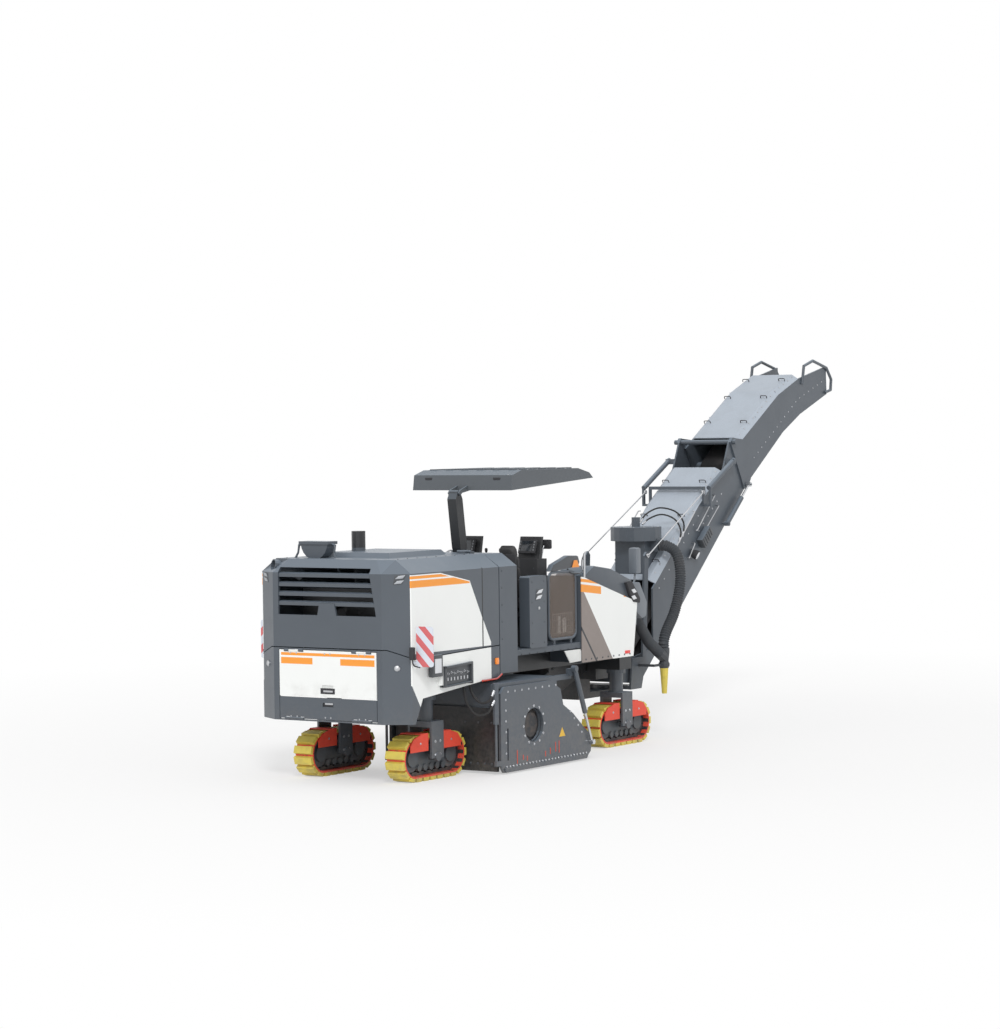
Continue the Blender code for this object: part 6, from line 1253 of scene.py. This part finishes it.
def fit_corners():
    """Slats and lamps on the hull's rear corners, and the slats on the console."""
    slats, shade_sheet, corner = Piece(), Piece(), Piece()
    for side in (-1, 1):
        out = Vector(across(CORNER_OUT, side))
        spot, _ = surface("engine_hood", Vector(across(CORNER_SLATS, side)) + out, -out)
        slanted_slats(slats, shade_sheet, facing(spot, out), -side, 0.72)
        spot, _ = surface("lower_hull", Vector(across(CORNER_LAMP, side)) + out, -out)
        corner.lathe(facing(spot, out), CORNER_LENS, 20)
    silver = look_named("slat_silver", metal_look, (0.42, 0.44, 0.47), 0.4, 0.5)
    slats.done("hood_corner_slats", "engine_hood", silver, "light_grey_sheet")
    # dark sheet of painted shade behind the hood's slats
    shade_sheet.done("hood_corner_shade_sheet", "engine_hood", dark_steel(), "black_plastic")
    corner.done("corner_lamps", "chassis", pale_steel(), "bare_steel")
    slats, shade_sheet = Piece(), Piece()
    spot, _ = surface("side_console", CONSOLE_SLATS, (0, 1, 0))
    slanted_slats(slats, shade_sheet, facing(spot, (0, -1, 0)), 1, 0.85)
    slats.done("console_slats", "chassis", bright_lens(), "light_grey_sheet")
    # dark sheet of painted shade behind the console's slats
    shade_sheet.done("console_shade_sheet", "chassis", dark_steel(), "black_plastic")


def fit_side_lamps():
    """Markers, reflectors and the tank's lamps on both sides, with the lamps behind the boards."""
    amber, red, lenses, housings, boards = Piece(), Piece(), Piece(), Piece(), Piece()
    for side in (-1, 1):
        inward, outward = (0, -side, 0), (0, side, 0)
        place = facing(surface("lower_hull", across(SIDE_MARKER, side), inward)[0], outward)
        amber.prism(MARKER_OUTLINE, -0.002, 0.022, "z", 0.008, place)
        place = facing(surface("water_tank", across(REFLECTOR, side), inward)[0], outward)
        red.block(*REFLECTOR_BLOCK, 0.003, place)
        place = facing(across(TANK_LAMP, side), outward)
        housings.prism(turned(TANK_HOUSING, -side), -0.05, 0.012, "z", 0.008, place)
        for outline in TANK_LENSES:
            lenses.prism(turned(outline, -side), 0.011, 0.018, "z", 0.003, place)
    for x, side, foot in BOARD_LAMPS:
        y = side * BOARD_LAMP_Y
        boards.block((x - 0.02, y - 0.03, foot), (x + 0.03, y + 0.03, foot + 0.15), 0.012)
        lead = [(x, y, foot + 0.02), (x + 0.02, y, foot - 0.07), (x + 0.09, y + side * 0.05, foot - 0.09)]
        boards.tube(bent(lead, 0.04), 0.008)
    orange = look_named("orange_lens", lamp_look, (0.90, 0.25, 0.02), 0.15)
    amber.done("side_marker_lamps", "chassis", orange, "black_plastic")
    # the red reflectors get a faint glow: a painted glint, since they are no lamps
    ruby = look_named("red_lens", lamp_look, (0.75, 0.03, 0.02), 0.1)
    red.done("tank_reflectors", "chassis", ruby, "track_red")
    lenses.done("tank_lamp_lenses", "chassis", bright_lens(), "clear_pane")
    housings.done("tank_lamp_housings", "chassis", black_plastic(), "black_plastic")
    boards.done("board_lamps", "chassis", black_plastic(), "black_plastic")


def fit_work_lamps():
    """Four work lamps under the canopy."""
    cases, glass = Piece(), Piece()
    for x in WORK_LAMPS_X:
        for y in (-WORK_LAMP_Y, WORK_LAMP_Y):
            top = surface("canopy_roof", (x, y, 2.5), (0, 0, 1))[0].z
            cases.block((x - 0.05, y - 0.06, top - 0.055), (x + 0.05, y + 0.06, top - 0.002), 0.012)
            glass.block((x - 0.036, y - 0.046, top - 0.061), (x + 0.036, y + 0.046, top - 0.052), 0.004)
    cases.done("canopy_work_lamps", "canopy_roof", black_plastic(), "black_plastic")
    glass.done("canopy_lamp_lenses", "canopy_roof", bright_lens(), "clear_pane")


def stick(piece, node, side, outline):
    """A thin plate of an outline, stuck on the outer face of a side plate."""
    x, z = (sum(spot[k] for spot in outline) / len(outline) for k in range(2))
    face = surface(node, (x, side * 2, z), (0, -side, 0))[0].y
    piece.prism(outline, face - side * 0.001, face + side * 0.003, "y", 0.001)


def set_marks():
    """Red depth marks and a warning triangle on the side plates, with the slow-vehicle plate."""
    red = look_named("mark_red", dark_paint, (0.62, 0.055, 0.022), 0.2)
    yellow = look_named("mark_yellow", dark_paint, (0.80, 0.48, 0.03), 0.15)
    amber = look_named("plate_orange", dark_paint, (0.90, 0.30, 0.03), 0.1)
    for hand, side in HANDS.items():
        node = "side_plate_" + hand
        marks, triangle = Piece(), Piece()
        for x, foot, top in GAUGE_MARKS:
            left, right = x - MARK_HALF, x + MARK_HALF
            stick(marks, node, side, [(left, foot), (right, foot), (right, top), (left, top)])
        stick(triangle, node, side, HAZARD_MARK)
        marks.done(node + "_marks", node, red, "track_red")
        triangle.done(node + "_triangle", node, yellow, "pad_yellow")
    Piece().prism(SLOW_PLATE, *SLOW_PLATE_Y).done("slow_plate", "chassis", amber, "warning_board")


class PLANER_OT_lamps(bpy.types.Operator):
    """Fit lamps, lenses, reflectors and marks"""
    bl_idname = "planer.lamps"
    bl_label = "Fit lamps and marks"

    def execute(self, context):
        fit_corners()
        fit_side_lamps()
        fit_work_lamps()
        set_marks()
        return {"FINISHED"}


# Handles, rails and boxes on the hull and platform

# Node, height and half width of each recessed latch on the rear face
LATCHES = (("rear_door", 1.105, 0.105), ("rear_flap", 0.955, 0.09))
# The control box on the hull's side: back plate, then top and bottom rail and two uprights round its recess
CONTROL_AIM = (-5.0, 2, 1.25)
CONTROL_PLATE = ((-5.29, 1.13), (-4.70, 1.155), (-4.70, 1.40), (-5.29, 1.375))
CONTROL_RAILS = (((-5.29, 1.352), (-4.70, 1.377), (-4.70, 1.405), (-5.29, 1.377)),
                 ((-5.29, 1.13), (-4.70, 1.155), (-4.70, 1.175), (-5.29, 1.147)))
CONTROL_UPRIGHTS_X = (-5.29, -4.735)
UPRIGHT_WIDTH = 0.035
UPRIGHT_Z = (1.14, 1.385)
# How far the box's face, its knobs' foot and its plate stand out from the hull
BOX_REACH = 0.062
KNOB_FOOT = 0.035
PLATE_REACH = (-0.03, 0.036)
KNOB_COUNT = 7
KNOB_START = (-5.21, 1.29)
KNOB_STEP = (0.068, 0.012)
KNOB = ((0.015, 0.0), (0.015, 0.012), (0.009, 0.013), (0.008, 0.030), (0.0, 0.033))
KEY_HALF = 0.012
KEY_REACH = (0.034, 0.046)
KEY_Z = (1.205, 1.245)
LAMP_BOX = ((-5.54, 1.27), (-5.33, 1.53))
LAMP_LENS = ((-0.066, -0.085, -0.004), (0.066, 0.085, 0.008))
LOCK_HANDLE = ((-4.42, 1.115, 1.145), (-4.12, 1.13, 1.15), (-4.02, 1.13, 1.20))


def fit_latches():
    """A recessed latch on each rear door: a frame with a rounded pull bar."""
    for node, z, half in LATCHES:
        place = facing(surface(node, (-7, 0, z), (1, 0, 0))[0], (-1, 0, 0))
        case = Piece().block((-half, -0.034, -0.004), (half, 0.034, 0.005), 0.004, place)
        case.done(node + "_latch", node, black_plastic(), "black_plastic")
        pull = Piece().block((-half * 0.55, -0.012, 0.004), (half * 0.75, 0.010, 0.010), 0.003, place)
        pull.done(node + "_pull", node, pale_steel(), "bare_steel")


def fit_hull():
    """Control boxes with their knobs and keys, lamps and lock handles on the hull's sides."""
    box, knobs, lens, red = Piece(), Piece(), Piece(), Piece()
    for side in (-1, 1):
        face = surface("lower_hull", across(CONTROL_AIM, side), (0, -side, 0))[0].y
        outer = face + side * BOX_REACH
        box.prism(CONTROL_PLATE, *(face + side * reach for reach in PLATE_REACH), "y", 0.006)
        for outline in CONTROL_RAILS:
            box.prism(outline, face, outer, "y", 0.006)
        for x in CONTROL_UPRIGHTS_X:
            box.block((x, face, UPRIGHT_Z[0]), (x + UPRIGHT_WIDTH, outer, UPRIGHT_Z[1]), 0.005)
        for k in range(KNOB_COUNT):
            x, z = KNOB_START[0] + KNOB_STEP[0] * k, KNOB_START[1] + KNOB_STEP[1] * (k % 2)
            knobs.lathe(facing((x, face + side * KNOB_FOOT, z), (0, side, 0)), KNOB, 12)
            near, far = (face + side * reach for reach in KEY_REACH)
            knobs.block((x - KEY_HALF, near, KEY_Z[0]), (x + KEY_HALF, far, KEY_Z[1]), 0.003)
        (x, z), (end_x, end_z) = LAMP_BOX
        box.block((x, face, z), (end_x, outer, end_z), 0.012)
        lens.block(*LAMP_LENS, 0.006, facing(((x + end_x) / 2, outer, (z + end_z) / 2), (0, side, 0)))
        red.tube(bent([across(spot, side) for spot in LOCK_HANDLE], 0.04), 0.011)
    box.done("hull_control_boxes", "chassis", dark_steel(), "black_plastic")
    knobs.done("hull_controls", "chassis", pale_steel(), "bare_steel")
    lens.done("hull_lamp_lenses", "chassis", bright_lens(), "clear_pane")
    bright = look_named("handle_red", dark_paint, (0.70, 0.06, 0.03), 0.1)
    red.done("lock_handles", "chassis", bright, "track_red")


# Routes of the boarding rail and of the hoop at its top, on the left side
BOARDING_RAIL = ((-2.00, 1.062, 2.58), (-2.02, 1.062, 1.99), (-2.08, 1.062, 1.45), (-2.08, 1.022, 1.42))
BOARDING_HOOP = ((-2.00, 1.062, 2.575), (-1.93, 1.042, 2.60), (-1.90, 0.962, 2.50), (-1.90, 0.962, 2.27))
SKIRT = ((-2.53, 1.375), (-2.16, 1.375), (-2.04, 1.225), (-2.40, 1.215))
SKIRT_Y = (1.072, 1.086)
ARMREST = ((-2.80, 2.385), (-2.73, 2.47), (-2.38, 2.57), (-2.15, 2.56), (-2.11, 2.47), (-2.16, 2.42),
           (-2.36, 2.41), (-2.70, 2.38))
ARMREST_Y = (-1.066, -0.985)
ARMREST_HANDLE = ((-2.36, -1.03, 2.40), (-2.33, -1.06, 2.35), (-2.10, -1.06, 2.33), (-2.05, -1.06, 2.37))
# The net behind the guard: its cords up and down, then its cords along
NET_COUNT = 11
NET_START = -2.70
NET_STEP = 0.045
NET_CORD = ((0.0, -1.022, 1.575), (0.01, -1.018, 1.72), (0.0, -1.024, 1.86))
NET_HEIGHTS = (1.60, 1.68, 1.76, 1.84)
NET_ALONG = ((-2.71, -1.022), (-2.45, -1.012), (-2.24, -1.022))
NET_RADIUS = 0.003
PAPERS = ((((-2.56, 1.60), (-2.50, 1.59), (-2.49, 1.80), (-2.55, 1.82)), -1.003),
          (((-2.44, 1.59), (-2.36, 1.60), (-2.38, 1.79), (-2.45, 1.77)), -1.002))
PAPER_BACK = -1.008
CONSOLE_LOCK = (-3.13, -2, 1.95)
LOCK_STEPS = ((0.020, -0.002), (0.020, 0.006), (0.014, 0.009), (0.013, 0.012), (0.0, 0.012))


def fit_platform():
    """Boarding rails and skirts on both sides, and the guard's armrest, net and papers on the right."""
    rails, skirts = Piece(), Piece()
    for side in (-1, 1):
        rails.tube(bent([across(spot, side) for spot in BOARDING_RAIL], 0.08), 0.015)
        rails.tube(bent([across(spot, side) for spot in BOARDING_HOOP], 0.05), 0.012)
        skirts.prism(SKIRT, *(side * y for y in SKIRT_Y), "y", 0.004)
    rails.done("boarding_rails", "chassis", pale_steel(), "bare_steel")
    white = look_named("skirt_white", dark_paint, (0.78, 0.79, 0.77), 0.2)
    skirts.done("platform_skirts", "chassis", white, "white_paint")
    arm = Piece().prism(ARMREST, *ARMREST_Y, "y", 0.02).tube(bent(ARMREST_HANDLE, 0.04), 0.012)
    arm.done("guard_armrest", "chassis", dark_steel(), "black_plastic")
    net = Piece()
    for k in range(NET_COUNT):
        net.tube([(NET_START + NET_STEP * k + x, y, z) for x, y, z in NET_CORD], NET_RADIUS, 6)
    for z in NET_HEIGHTS:
        net.tube([(x, y, z) for x, y in NET_ALONG], NET_RADIUS, 6)
    grey = look_named("net_cord", plastic_look, (0.30, 0.29, 0.28), 0.6)
    net.done("guard_net", "chassis", grey, "black_rubber")
    papers = Piece()
    for outline, front in PAPERS:
        papers.prism(outline, PAPER_BACK, front, "y", 0.001)
    bare = look_named("bare_paper", plastic_look, (0.62, 0.62, 0.61), 0.6)
    papers.done("guard_papers", "chassis", bare, "white_paint")
    place = facing(surface("side_console", CONSOLE_LOCK, (0, 1, 0))[0], (0, -1, 0))
    Piece().lathe(place, LOCK_STEPS, 16).done("console_lock", "chassis", pale_steel(), "bare_steel")


# The low hoods on the tank's top, and ahead of them the bracket with its mirror and arm, on the left side
TANK_HOOD = ((-2.02, 2.30), (-1.78, 2.415), (-1.37, 2.36), (-0.86, 2.19), (-0.81, 1.88), (-2.02, 2.20))
TANK_HOOD_Y = (0.62, 1.072)
BRACKET = ((-0.87, 2.15), (-0.66, 2.15), (-0.48, 1.88), (-0.50, 1.70), (-0.60, 1.67), (-0.81, 1.80))
BRACKET_Y = (0.96, 1.07)
FRONT_MIRROR = ((-0.72, 0.93, 2.26), (-0.60, 1.06, 2.60))
MIRROR_ARM = ((-0.66, 1.0, 2.26), (-0.70, 1.0, 2.12), (-0.86, 0.98, 2.08))


def fit_tank():
    """Hoods on the tank's top, and the brackets and mirrors ahead of it."""
    hoods, brackets = Piece(), Piece()
    for side in (-1, 1):
        hoods.prism(TANK_HOOD, *(side * y for y in TANK_HOOD_Y), "y", 0.03)
        brackets.block(*(across(spot, side) for spot in FRONT_MIRROR), 0.03)
        brackets.tube(bent([across(spot, side) for spot in MIRROR_ARM], 0.05), 0.014)
        brackets.prism(BRACKET, *(side * y for y in BRACKET_Y), "y", 0.015)
    hoods.done("tank_top_hoods", "chassis", bpy.data.materials["machine_paint"], "dark_grey_paint")
    grey = look_named("fitting_grey", dark_paint, (0.16, 0.18, 0.205), 0.1)
    brackets.done("tank_front_fittings", "chassis", grey, "dark_grey_paint")


class PLANER_OT_fittings(bpy.types.Operator):
    """Fit latches, control boxes, rails, the guard's net and the tank's hoods"""
    bl_idname = "planer.fittings"
    bl_label = "Fit hull and platform"

    def execute(self, context):
        fit_latches()
        fit_hull()
        fit_platform()
        fit_tank()
        return {"FINISHED"}


# Control desk

# Places of the two displays and the way they face, then their shell and screen about the middle
DISPLAYS_Y = (-0.47, 0.47)
DISPLAY_PLACE = (-2.415, 2.68)
DISPLAY_FACES = (-0.94, 0.0, 0.34)
DISPLAY_SHELL = ((-0.125, -0.095, -0.03), (0.125, 0.095, 0.012))
DISPLAY_SCREEN = ((-0.082, -0.066, 0.010), (0.082, 0.066, 0.014))
# Columns, foot, rise and height of the keys beside each screen
SCREEN_KEYS_U = (-0.105, 0.105)
SCREEN_KEYS = (4, -0.062, 0.036, 0.022)
SCREEN_KEY_DEPTH = (0.010, 0.016)
KEY_HALF_WIDTH = 0.010
LEVERS_Y = (-0.22, 0.0, 0.22)
LEVER_FOOT = (-2.33, 2.52)
LEVER = ((0.034, -0.002), (0.034, 0.006), (0.022, 0.016), (0.012, 0.028), (0.009, 0.070), (0.017, 0.080),
         (0.021, 0.105), (0.016, 0.125), (0.0, 0.130))
# The row of keys on the desk's top: first block and the step to the next
DESK_KEY = ((-2.40, -0.30, 2.518), (-2.375, -0.27, 2.53))
DESK_KEY_COUNT = 9
DESK_KEY_STEP = 0.072
MIRROR_STAY = ((-2.24, 0.56, 2.50), (-2.22, 0.58, 2.66), (-2.18, 0.60, 2.72))
DESK_MIRROR = ((-2.215, 0.515, 2.64), (-2.165, 0.685, 2.76))


def fit_desk():
    """Two displays, their keys, three drive levers, a row of keys and two mirrors."""
    shells, screens, keys, sticks, mirrors, arms = (Piece() for _ in range(6))
    for y in DISPLAYS_Y:
        place = facing((DISPLAY_PLACE[0], y, DISPLAY_PLACE[1]), DISPLAY_FACES)
        shells.block(*DISPLAY_SHELL, 0.012, place)
        screens.block(*DISPLAY_SCREEN, 0.002, place)
        count, foot, rise, height = SCREEN_KEYS
        for k in range(count):
            for u in SCREEN_KEYS_U:
                low = foot + rise * k
                keys.block((u - KEY_HALF_WIDTH, low, SCREEN_KEY_DEPTH[0]),
                           (u + KEY_HALF_WIDTH, low + height, SCREEN_KEY_DEPTH[1]), 0.003, place)
    for y in LEVERS_Y:
        sticks.lathe(Matrix.Translation(Vector((LEVER_FOOT[0], y, LEVER_FOOT[1]))), LEVER, 16)
    for k in range(DESK_KEY_COUNT):
        keys.block(*((x, y + DESK_KEY_STEP * k, z) for x, y, z in DESK_KEY), 0.003)
    for side in (-1, 1):
        arms.tube(bent([across(spot, side) for spot in MIRROR_STAY], 0.05), 0.010)
        mirrors.block(*(across(spot, side) for spot in DESK_MIRROR), 0.02)
    plastic = black_plastic()
    shells.done("display_shells", "chassis", plastic, "black_plastic")
    screens.done("display_screens", "chassis", look_named("dark_screen", screen_look), "black_plastic")
    grey = look_named("key_grey", plastic_look, (0.20, 0.21, 0.22), 0.5)
    keys.done("desk_keys", "chassis", grey, "black_plastic")
    sticks.done("drive_levers", "chassis", plastic, "black_plastic")
    arms.done("mirror_arms", "chassis", pale_steel(), "bare_steel")
    mirrors.done("rear_mirrors", "chassis", plastic, "black_plastic")


class PLANER_OT_desk(bpy.types.Operator):
    """Fit displays, keys, levers and mirrors on the control desk"""
    bl_idname = "planer.desk"
    bl_label = "Fit the control desk"

    def execute(self, context):
        fit_desk()
        return {"FINISHED"}


# Conveyor fittings

# Start and end in x and z of each bright rail on the conveyor's sides
SIDE_RAILS = (((2.41, 3.21), (1.90, 2.73)), ((2.52, 3.06), (2.04, 2.66)), ((1.85, 3.00), (1.21, 2.42)),
              ((1.84, 2.56), (1.68, 2.36)))
RAIL_Y = (0.425, 0.46)
# Place and up direction of the ribbed box on each side, its block and its ribs
SIDE_BOX = ((2.10, 0.445, 2.635), (-0.645, 0.0, 0.764))
BOX_BLOCK = ((-0.15, -0.075, -0.02), (0.15, 0.075, 0.075))
BOX_RIB = ((-0.12, -0.062, 0.073), (-0.10, 0.062, 0.082))
RIB_COUNT = 5
RIB_STEP = 0.055
# Place and direction of the lamp on each side, its case, lens and arm
SIDE_LAMP = ((1.80, 0.49, 2.40), (0.3, 1.0, -0.5))
LAMP_CASE = ((0.050, -0.05), (0.062, -0.02), (0.068, 0.03), (0.060, 0.034))
LAMP_GLASS = ((0.056, 0.0342), (0.050, 0.040), (0.0, 0.044))
LAMP_ARM = ((1.80, 0.43, 2.47), (1.80, 0.475, 2.45), (1.80, 0.48, 2.41))
# Places along x of the grips and of the seams on the covers, and how far out they are
LOWER_GRIPS_X = (1.05, 1.75, 2.35)
UPPER_GRIPS_X = (3.55, 4.15, 4.70)
GRIP_Y = 0.30
GRIP_ROUTE = ((-0.05, 0.0, -0.001), (-0.05, 0.0, 0.04), (0.05, 0.0, 0.04), (0.05, 0.0, -0.001))
UPPER_SEAMS_X = (3.75, 4.36)
SEAM_HALF = 0.385


def fit_grips(part, places):
    """Bent grips on both sides of a cover's top."""
    grips = Piece()
    for side in (-1, 1):
        for x in places:
            place = facing(*surface(f"conveyor_{part}_cover", (x, side * GRIP_Y, 6), DOWN))
            grips.tube(bent([place @ Vector(spot) for spot in GRIP_ROUTE], 0.02), 0.006)
    grips.done("cover_grips_" + part, "conveyor_" + part, black_plastic(), "black_plastic")


def fit_conveyor():
    """Rails, boxes and lamps on the lower conveyor's sides, grips on both covers, seams on the upper one."""
    rails, boxes, lamps, lenses, seams = (Piece() for _ in range(5))
    for side in (-1, 1):
        for (x, z), (end_x, end_z) in SIDE_RAILS:
            inner, face = (side * y for y in RAIL_Y)
            route = [(x, inner, z), (x, face, z), (end_x, face, end_z), (end_x, inner, end_z)]
            rails.tube(bent(route, 0.02), 0.009)
        place = facing(across(SIDE_BOX[0], side), (0, side, 0), SIDE_BOX[1])
        boxes.block(*BOX_BLOCK, 0.015, place)
        for k in range(RIB_COUNT):
            boxes.block(*((x + RIB_STEP * k, y, z) for x, y, z in BOX_RIB), 0.003, place)
        place = facing(*(across(spot, side) for spot in SIDE_LAMP))
        lamps.lathe(place, LAMP_CASE, 20)
        lenses.lathe(place, LAMP_GLASS, 20)
        lamps.tube(bent([across(spot, side) for spot in LAMP_ARM], 0.02), 0.012)
    rails.done("conveyor_side_rails", "conveyor_lower", pale_steel(), "bare_steel")
    boxes.done("conveyor_side_boxes", "conveyor_lower", dark_steel(), "black_plastic")
    lamps.done("conveyor_lamps", "conveyor_lower", black_plastic(), "black_plastic")
    lenses.done("conveyor_lamp_lenses", "conveyor_lower", bright_lens(), "clear_pane")
    fit_grips("lower", LOWER_GRIPS_X)
    fit_grips("upper", UPPER_GRIPS_X)
    for x in UPPER_SEAMS_X:
        top = surface("conveyor_upper_cover", (x, -0.37, 6), DOWN)[0].z + 0.001
        seams.tube([(x, -SEAM_HALF, top), (x, SEAM_HALF, top)], 0.006, 8)
    edge = look_named("sheet_edge", metal_look, (0.42, 0.46, 0.52), 0.45, 0.6)
    seams.done("cover_seams_upper", "conveyor_upper", edge, "light_grey_sheet")


class PLANER_OT_conveyor(bpy.types.Operator):
    """Fit rails, boxes, grips and lamps on the conveyor"""
    bl_idname = "planer.conveyor"
    bl_label = "Fit the conveyor"

    def execute(self, context):
        fit_conveyor()
        return {"FINISHED"}


# Stage: camera at the photograph's angle, floor and soft light

CAMERA_PLACE = (-34.245, -21.39, 4.16)
CAMERA_TURN = (33.83, -1.61, -0.74)
CAMERA_LENS = 104.96
CAMERA_SENSOR = 36.0
CAMERA_FAR = 400.0
FLOOR_RADIUS = 160.0
FLOOR_STEPS = 96
FLOOR_DROP = 0.002
# Distances from the middle at which the floor starts to fade and has faded into the background
FLOOR_FADE = (6.0, 16.0)


def camera_matrix():
    """The camera's place and turn from its yaw, pitch and roll."""
    yaw, pitch, roll = (radians(a) for a in CAMERA_TURN)
    forward = Vector((cos(yaw) * cos(pitch), sin(yaw) * cos(pitch), sin(pitch)))
    right = forward.cross(Vector((0, 0, 1))).normalized()
    up = right.cross(forward)
    spun_right = right * cos(roll) + up * sin(roll)
    spun_up = up * cos(roll) - right * sin(roll)
    turn = Matrix((spun_right, spun_up, -forward)).transposed().to_4x4()
    return Matrix.Translation(Vector(CAMERA_PLACE)) @ turn


def stage_camera(scene):
    """The camera at the photograph's angle."""
    data = bpy.data.cameras.new("camera")
    data.lens = CAMERA_LENS
    data.sensor_width = CAMERA_SENSOR
    data.clip_end = CAMERA_FAR
    made = bpy.data.objects.new("camera", data)
    scene.collection.objects.link(made)
    made.matrix_world = camera_matrix()
    scene.camera = made


def seen(start):
    """1 for what the camera, gloss or glass sees."""
    camera, gloss, glass = (start.node("ShaderNodeLightPath", {}, {}, f"Is {ray} Ray")
                            for ray in ("Camera", "Glossy", "Transmission"))
    return camera.either(gloss).either(glass)


def stage_floor(scene):
    """A wide pale floor that keeps the object's shadow and fades into the background."""
    mesh = bpy.data.meshes.new("floor")
    bm = bmesh.new()
    bmesh.ops.create_circle(bm, cap_ends=True, segments=FLOOR_STEPS, radius=FLOOR_RADIUS)
    for vertex in bm.verts:
        vertex.co.z = -FLOOR_DROP
    bm.normal_update()
    bm.to_mesh(mesh)
    bm.free()
    floor = bpy.data.objects.new("floor", mesh)
    scene.collection.objects.link(floor)
    made, place, (x, y, z), shader = begin("studio_floor")
    feed(shader, "Base Color", (0.97, 0.97, 0.97, 1.0))
    feed(shader, "Roughness", 0.9)
    tree = made.node_tree
    glow = place.node("ShaderNodeEmission", {}, {"Color": (1.0, 1.0, 1.0, 1.0), "Strength": 1.0})
    fade = (ramp(away(x, y), *FLOOR_FADE) * 0.5 + 0.5) * seen(place)
    mixed = place.node("ShaderNodeMixShader", {}, {0: fade, 1: Wire(tree, shader.outputs[0]), 2: glow})
    tree.links.new(mixed.socket, tree.nodes["Material Output"].inputs["Surface"])
    mesh.materials.append(made)


def stage_world(scene):
    """White where the camera, gloss or glass sees it, and a soft grey sky for the light."""
    world = bpy.data.worlds.new("studio")
    world.use_nodes = True
    scene.world = world
    tree = world.node_tree
    back = tree.nodes["Background"]
    feed(back, "Color", (1.0, 1.0, 1.0, 1.0))
    feed(back, "Strength", seen(Wire(tree)) * 0.32 + 0.68)


# Name, direction that the light travels in, strength and softness of each lamp
STAGE_LAMPS = (("key", (0.62, 0.50, -0.60), 1.15, 12.0), ("fill", (0.75, 0.10, -0.25), 0.28, 40.0))


class PLANER_OT_stage(bpy.types.Operator):
    """Set the camera, the pale floor and the soft light"""
    bl_idname = "planer.stage"
    bl_label = "Set the stage"

    def execute(self, context):
        scene = context.scene
        scene.view_settings.view_transform = "Standard"
        stage_camera(scene)
        stage_floor(scene)
        stage_world(scene)
        for name, way, strength, soft in STAGE_LAMPS:
            data = bpy.data.lights.new(name, "SUN")
            data.energy = strength
            data.angle = radians(soft)
            lamp = bpy.data.objects.new(name, data)
            scene.collection.objects.link(lamp)
            lamp.rotation_euler = Vector(way).to_track_quat("-Z", "Y").to_euler()
        return {"FINISHED"}


class PLANER_PT_sidebar(bpy.types.Panel):
    """Colours, sizes and steps of the planer's looks"""
    bl_idname = "PLANER_PT_sidebar"
    bl_label = "Cold planer looks"
    bl_space_type = "VIEW_3D"
    bl_region_type = "UI"
    bl_category = "Planer"

    def draw(self, context):
        looks = context.scene.planer_looks
        for name in looks.bl_rna.properties.keys():
            if name not in {"rna_type", "name"}:
                self.layout.prop(looks, name)
        for step in STEPS:
            self.layout.operator(step.bl_idname)


STEPS = (PLANER_OT_paint, PLANER_OT_hoses, PLANER_OT_fasteners, PLANER_OT_chair, PLANER_OT_lamps,
         PLANER_OT_fittings, PLANER_OT_desk, PLANER_OT_conveyor, PLANER_OT_stage)
CLASSES = (PlanerLooks, *STEPS, PLANER_PT_sidebar)


def register():
    for item in CLASSES:
        bpy.utils.register_class(item)
    bpy.types.Scene.planer_looks = PointerProperty(type=PlanerLooks)


def unregister():
    del bpy.types.Scene.planer_looks
    for item in reversed(CLASSES):
        bpy.utils.unregister_class(item)


def run_step(step):
    """Calls one operator by its name."""
    group, name = step.bl_idname.split(".")
    getattr(getattr(bpy.ops, group), name)()


def main():
    register()
    for step in STEPS:
        run_step(step)


if __name__ == "__main__":
    main()
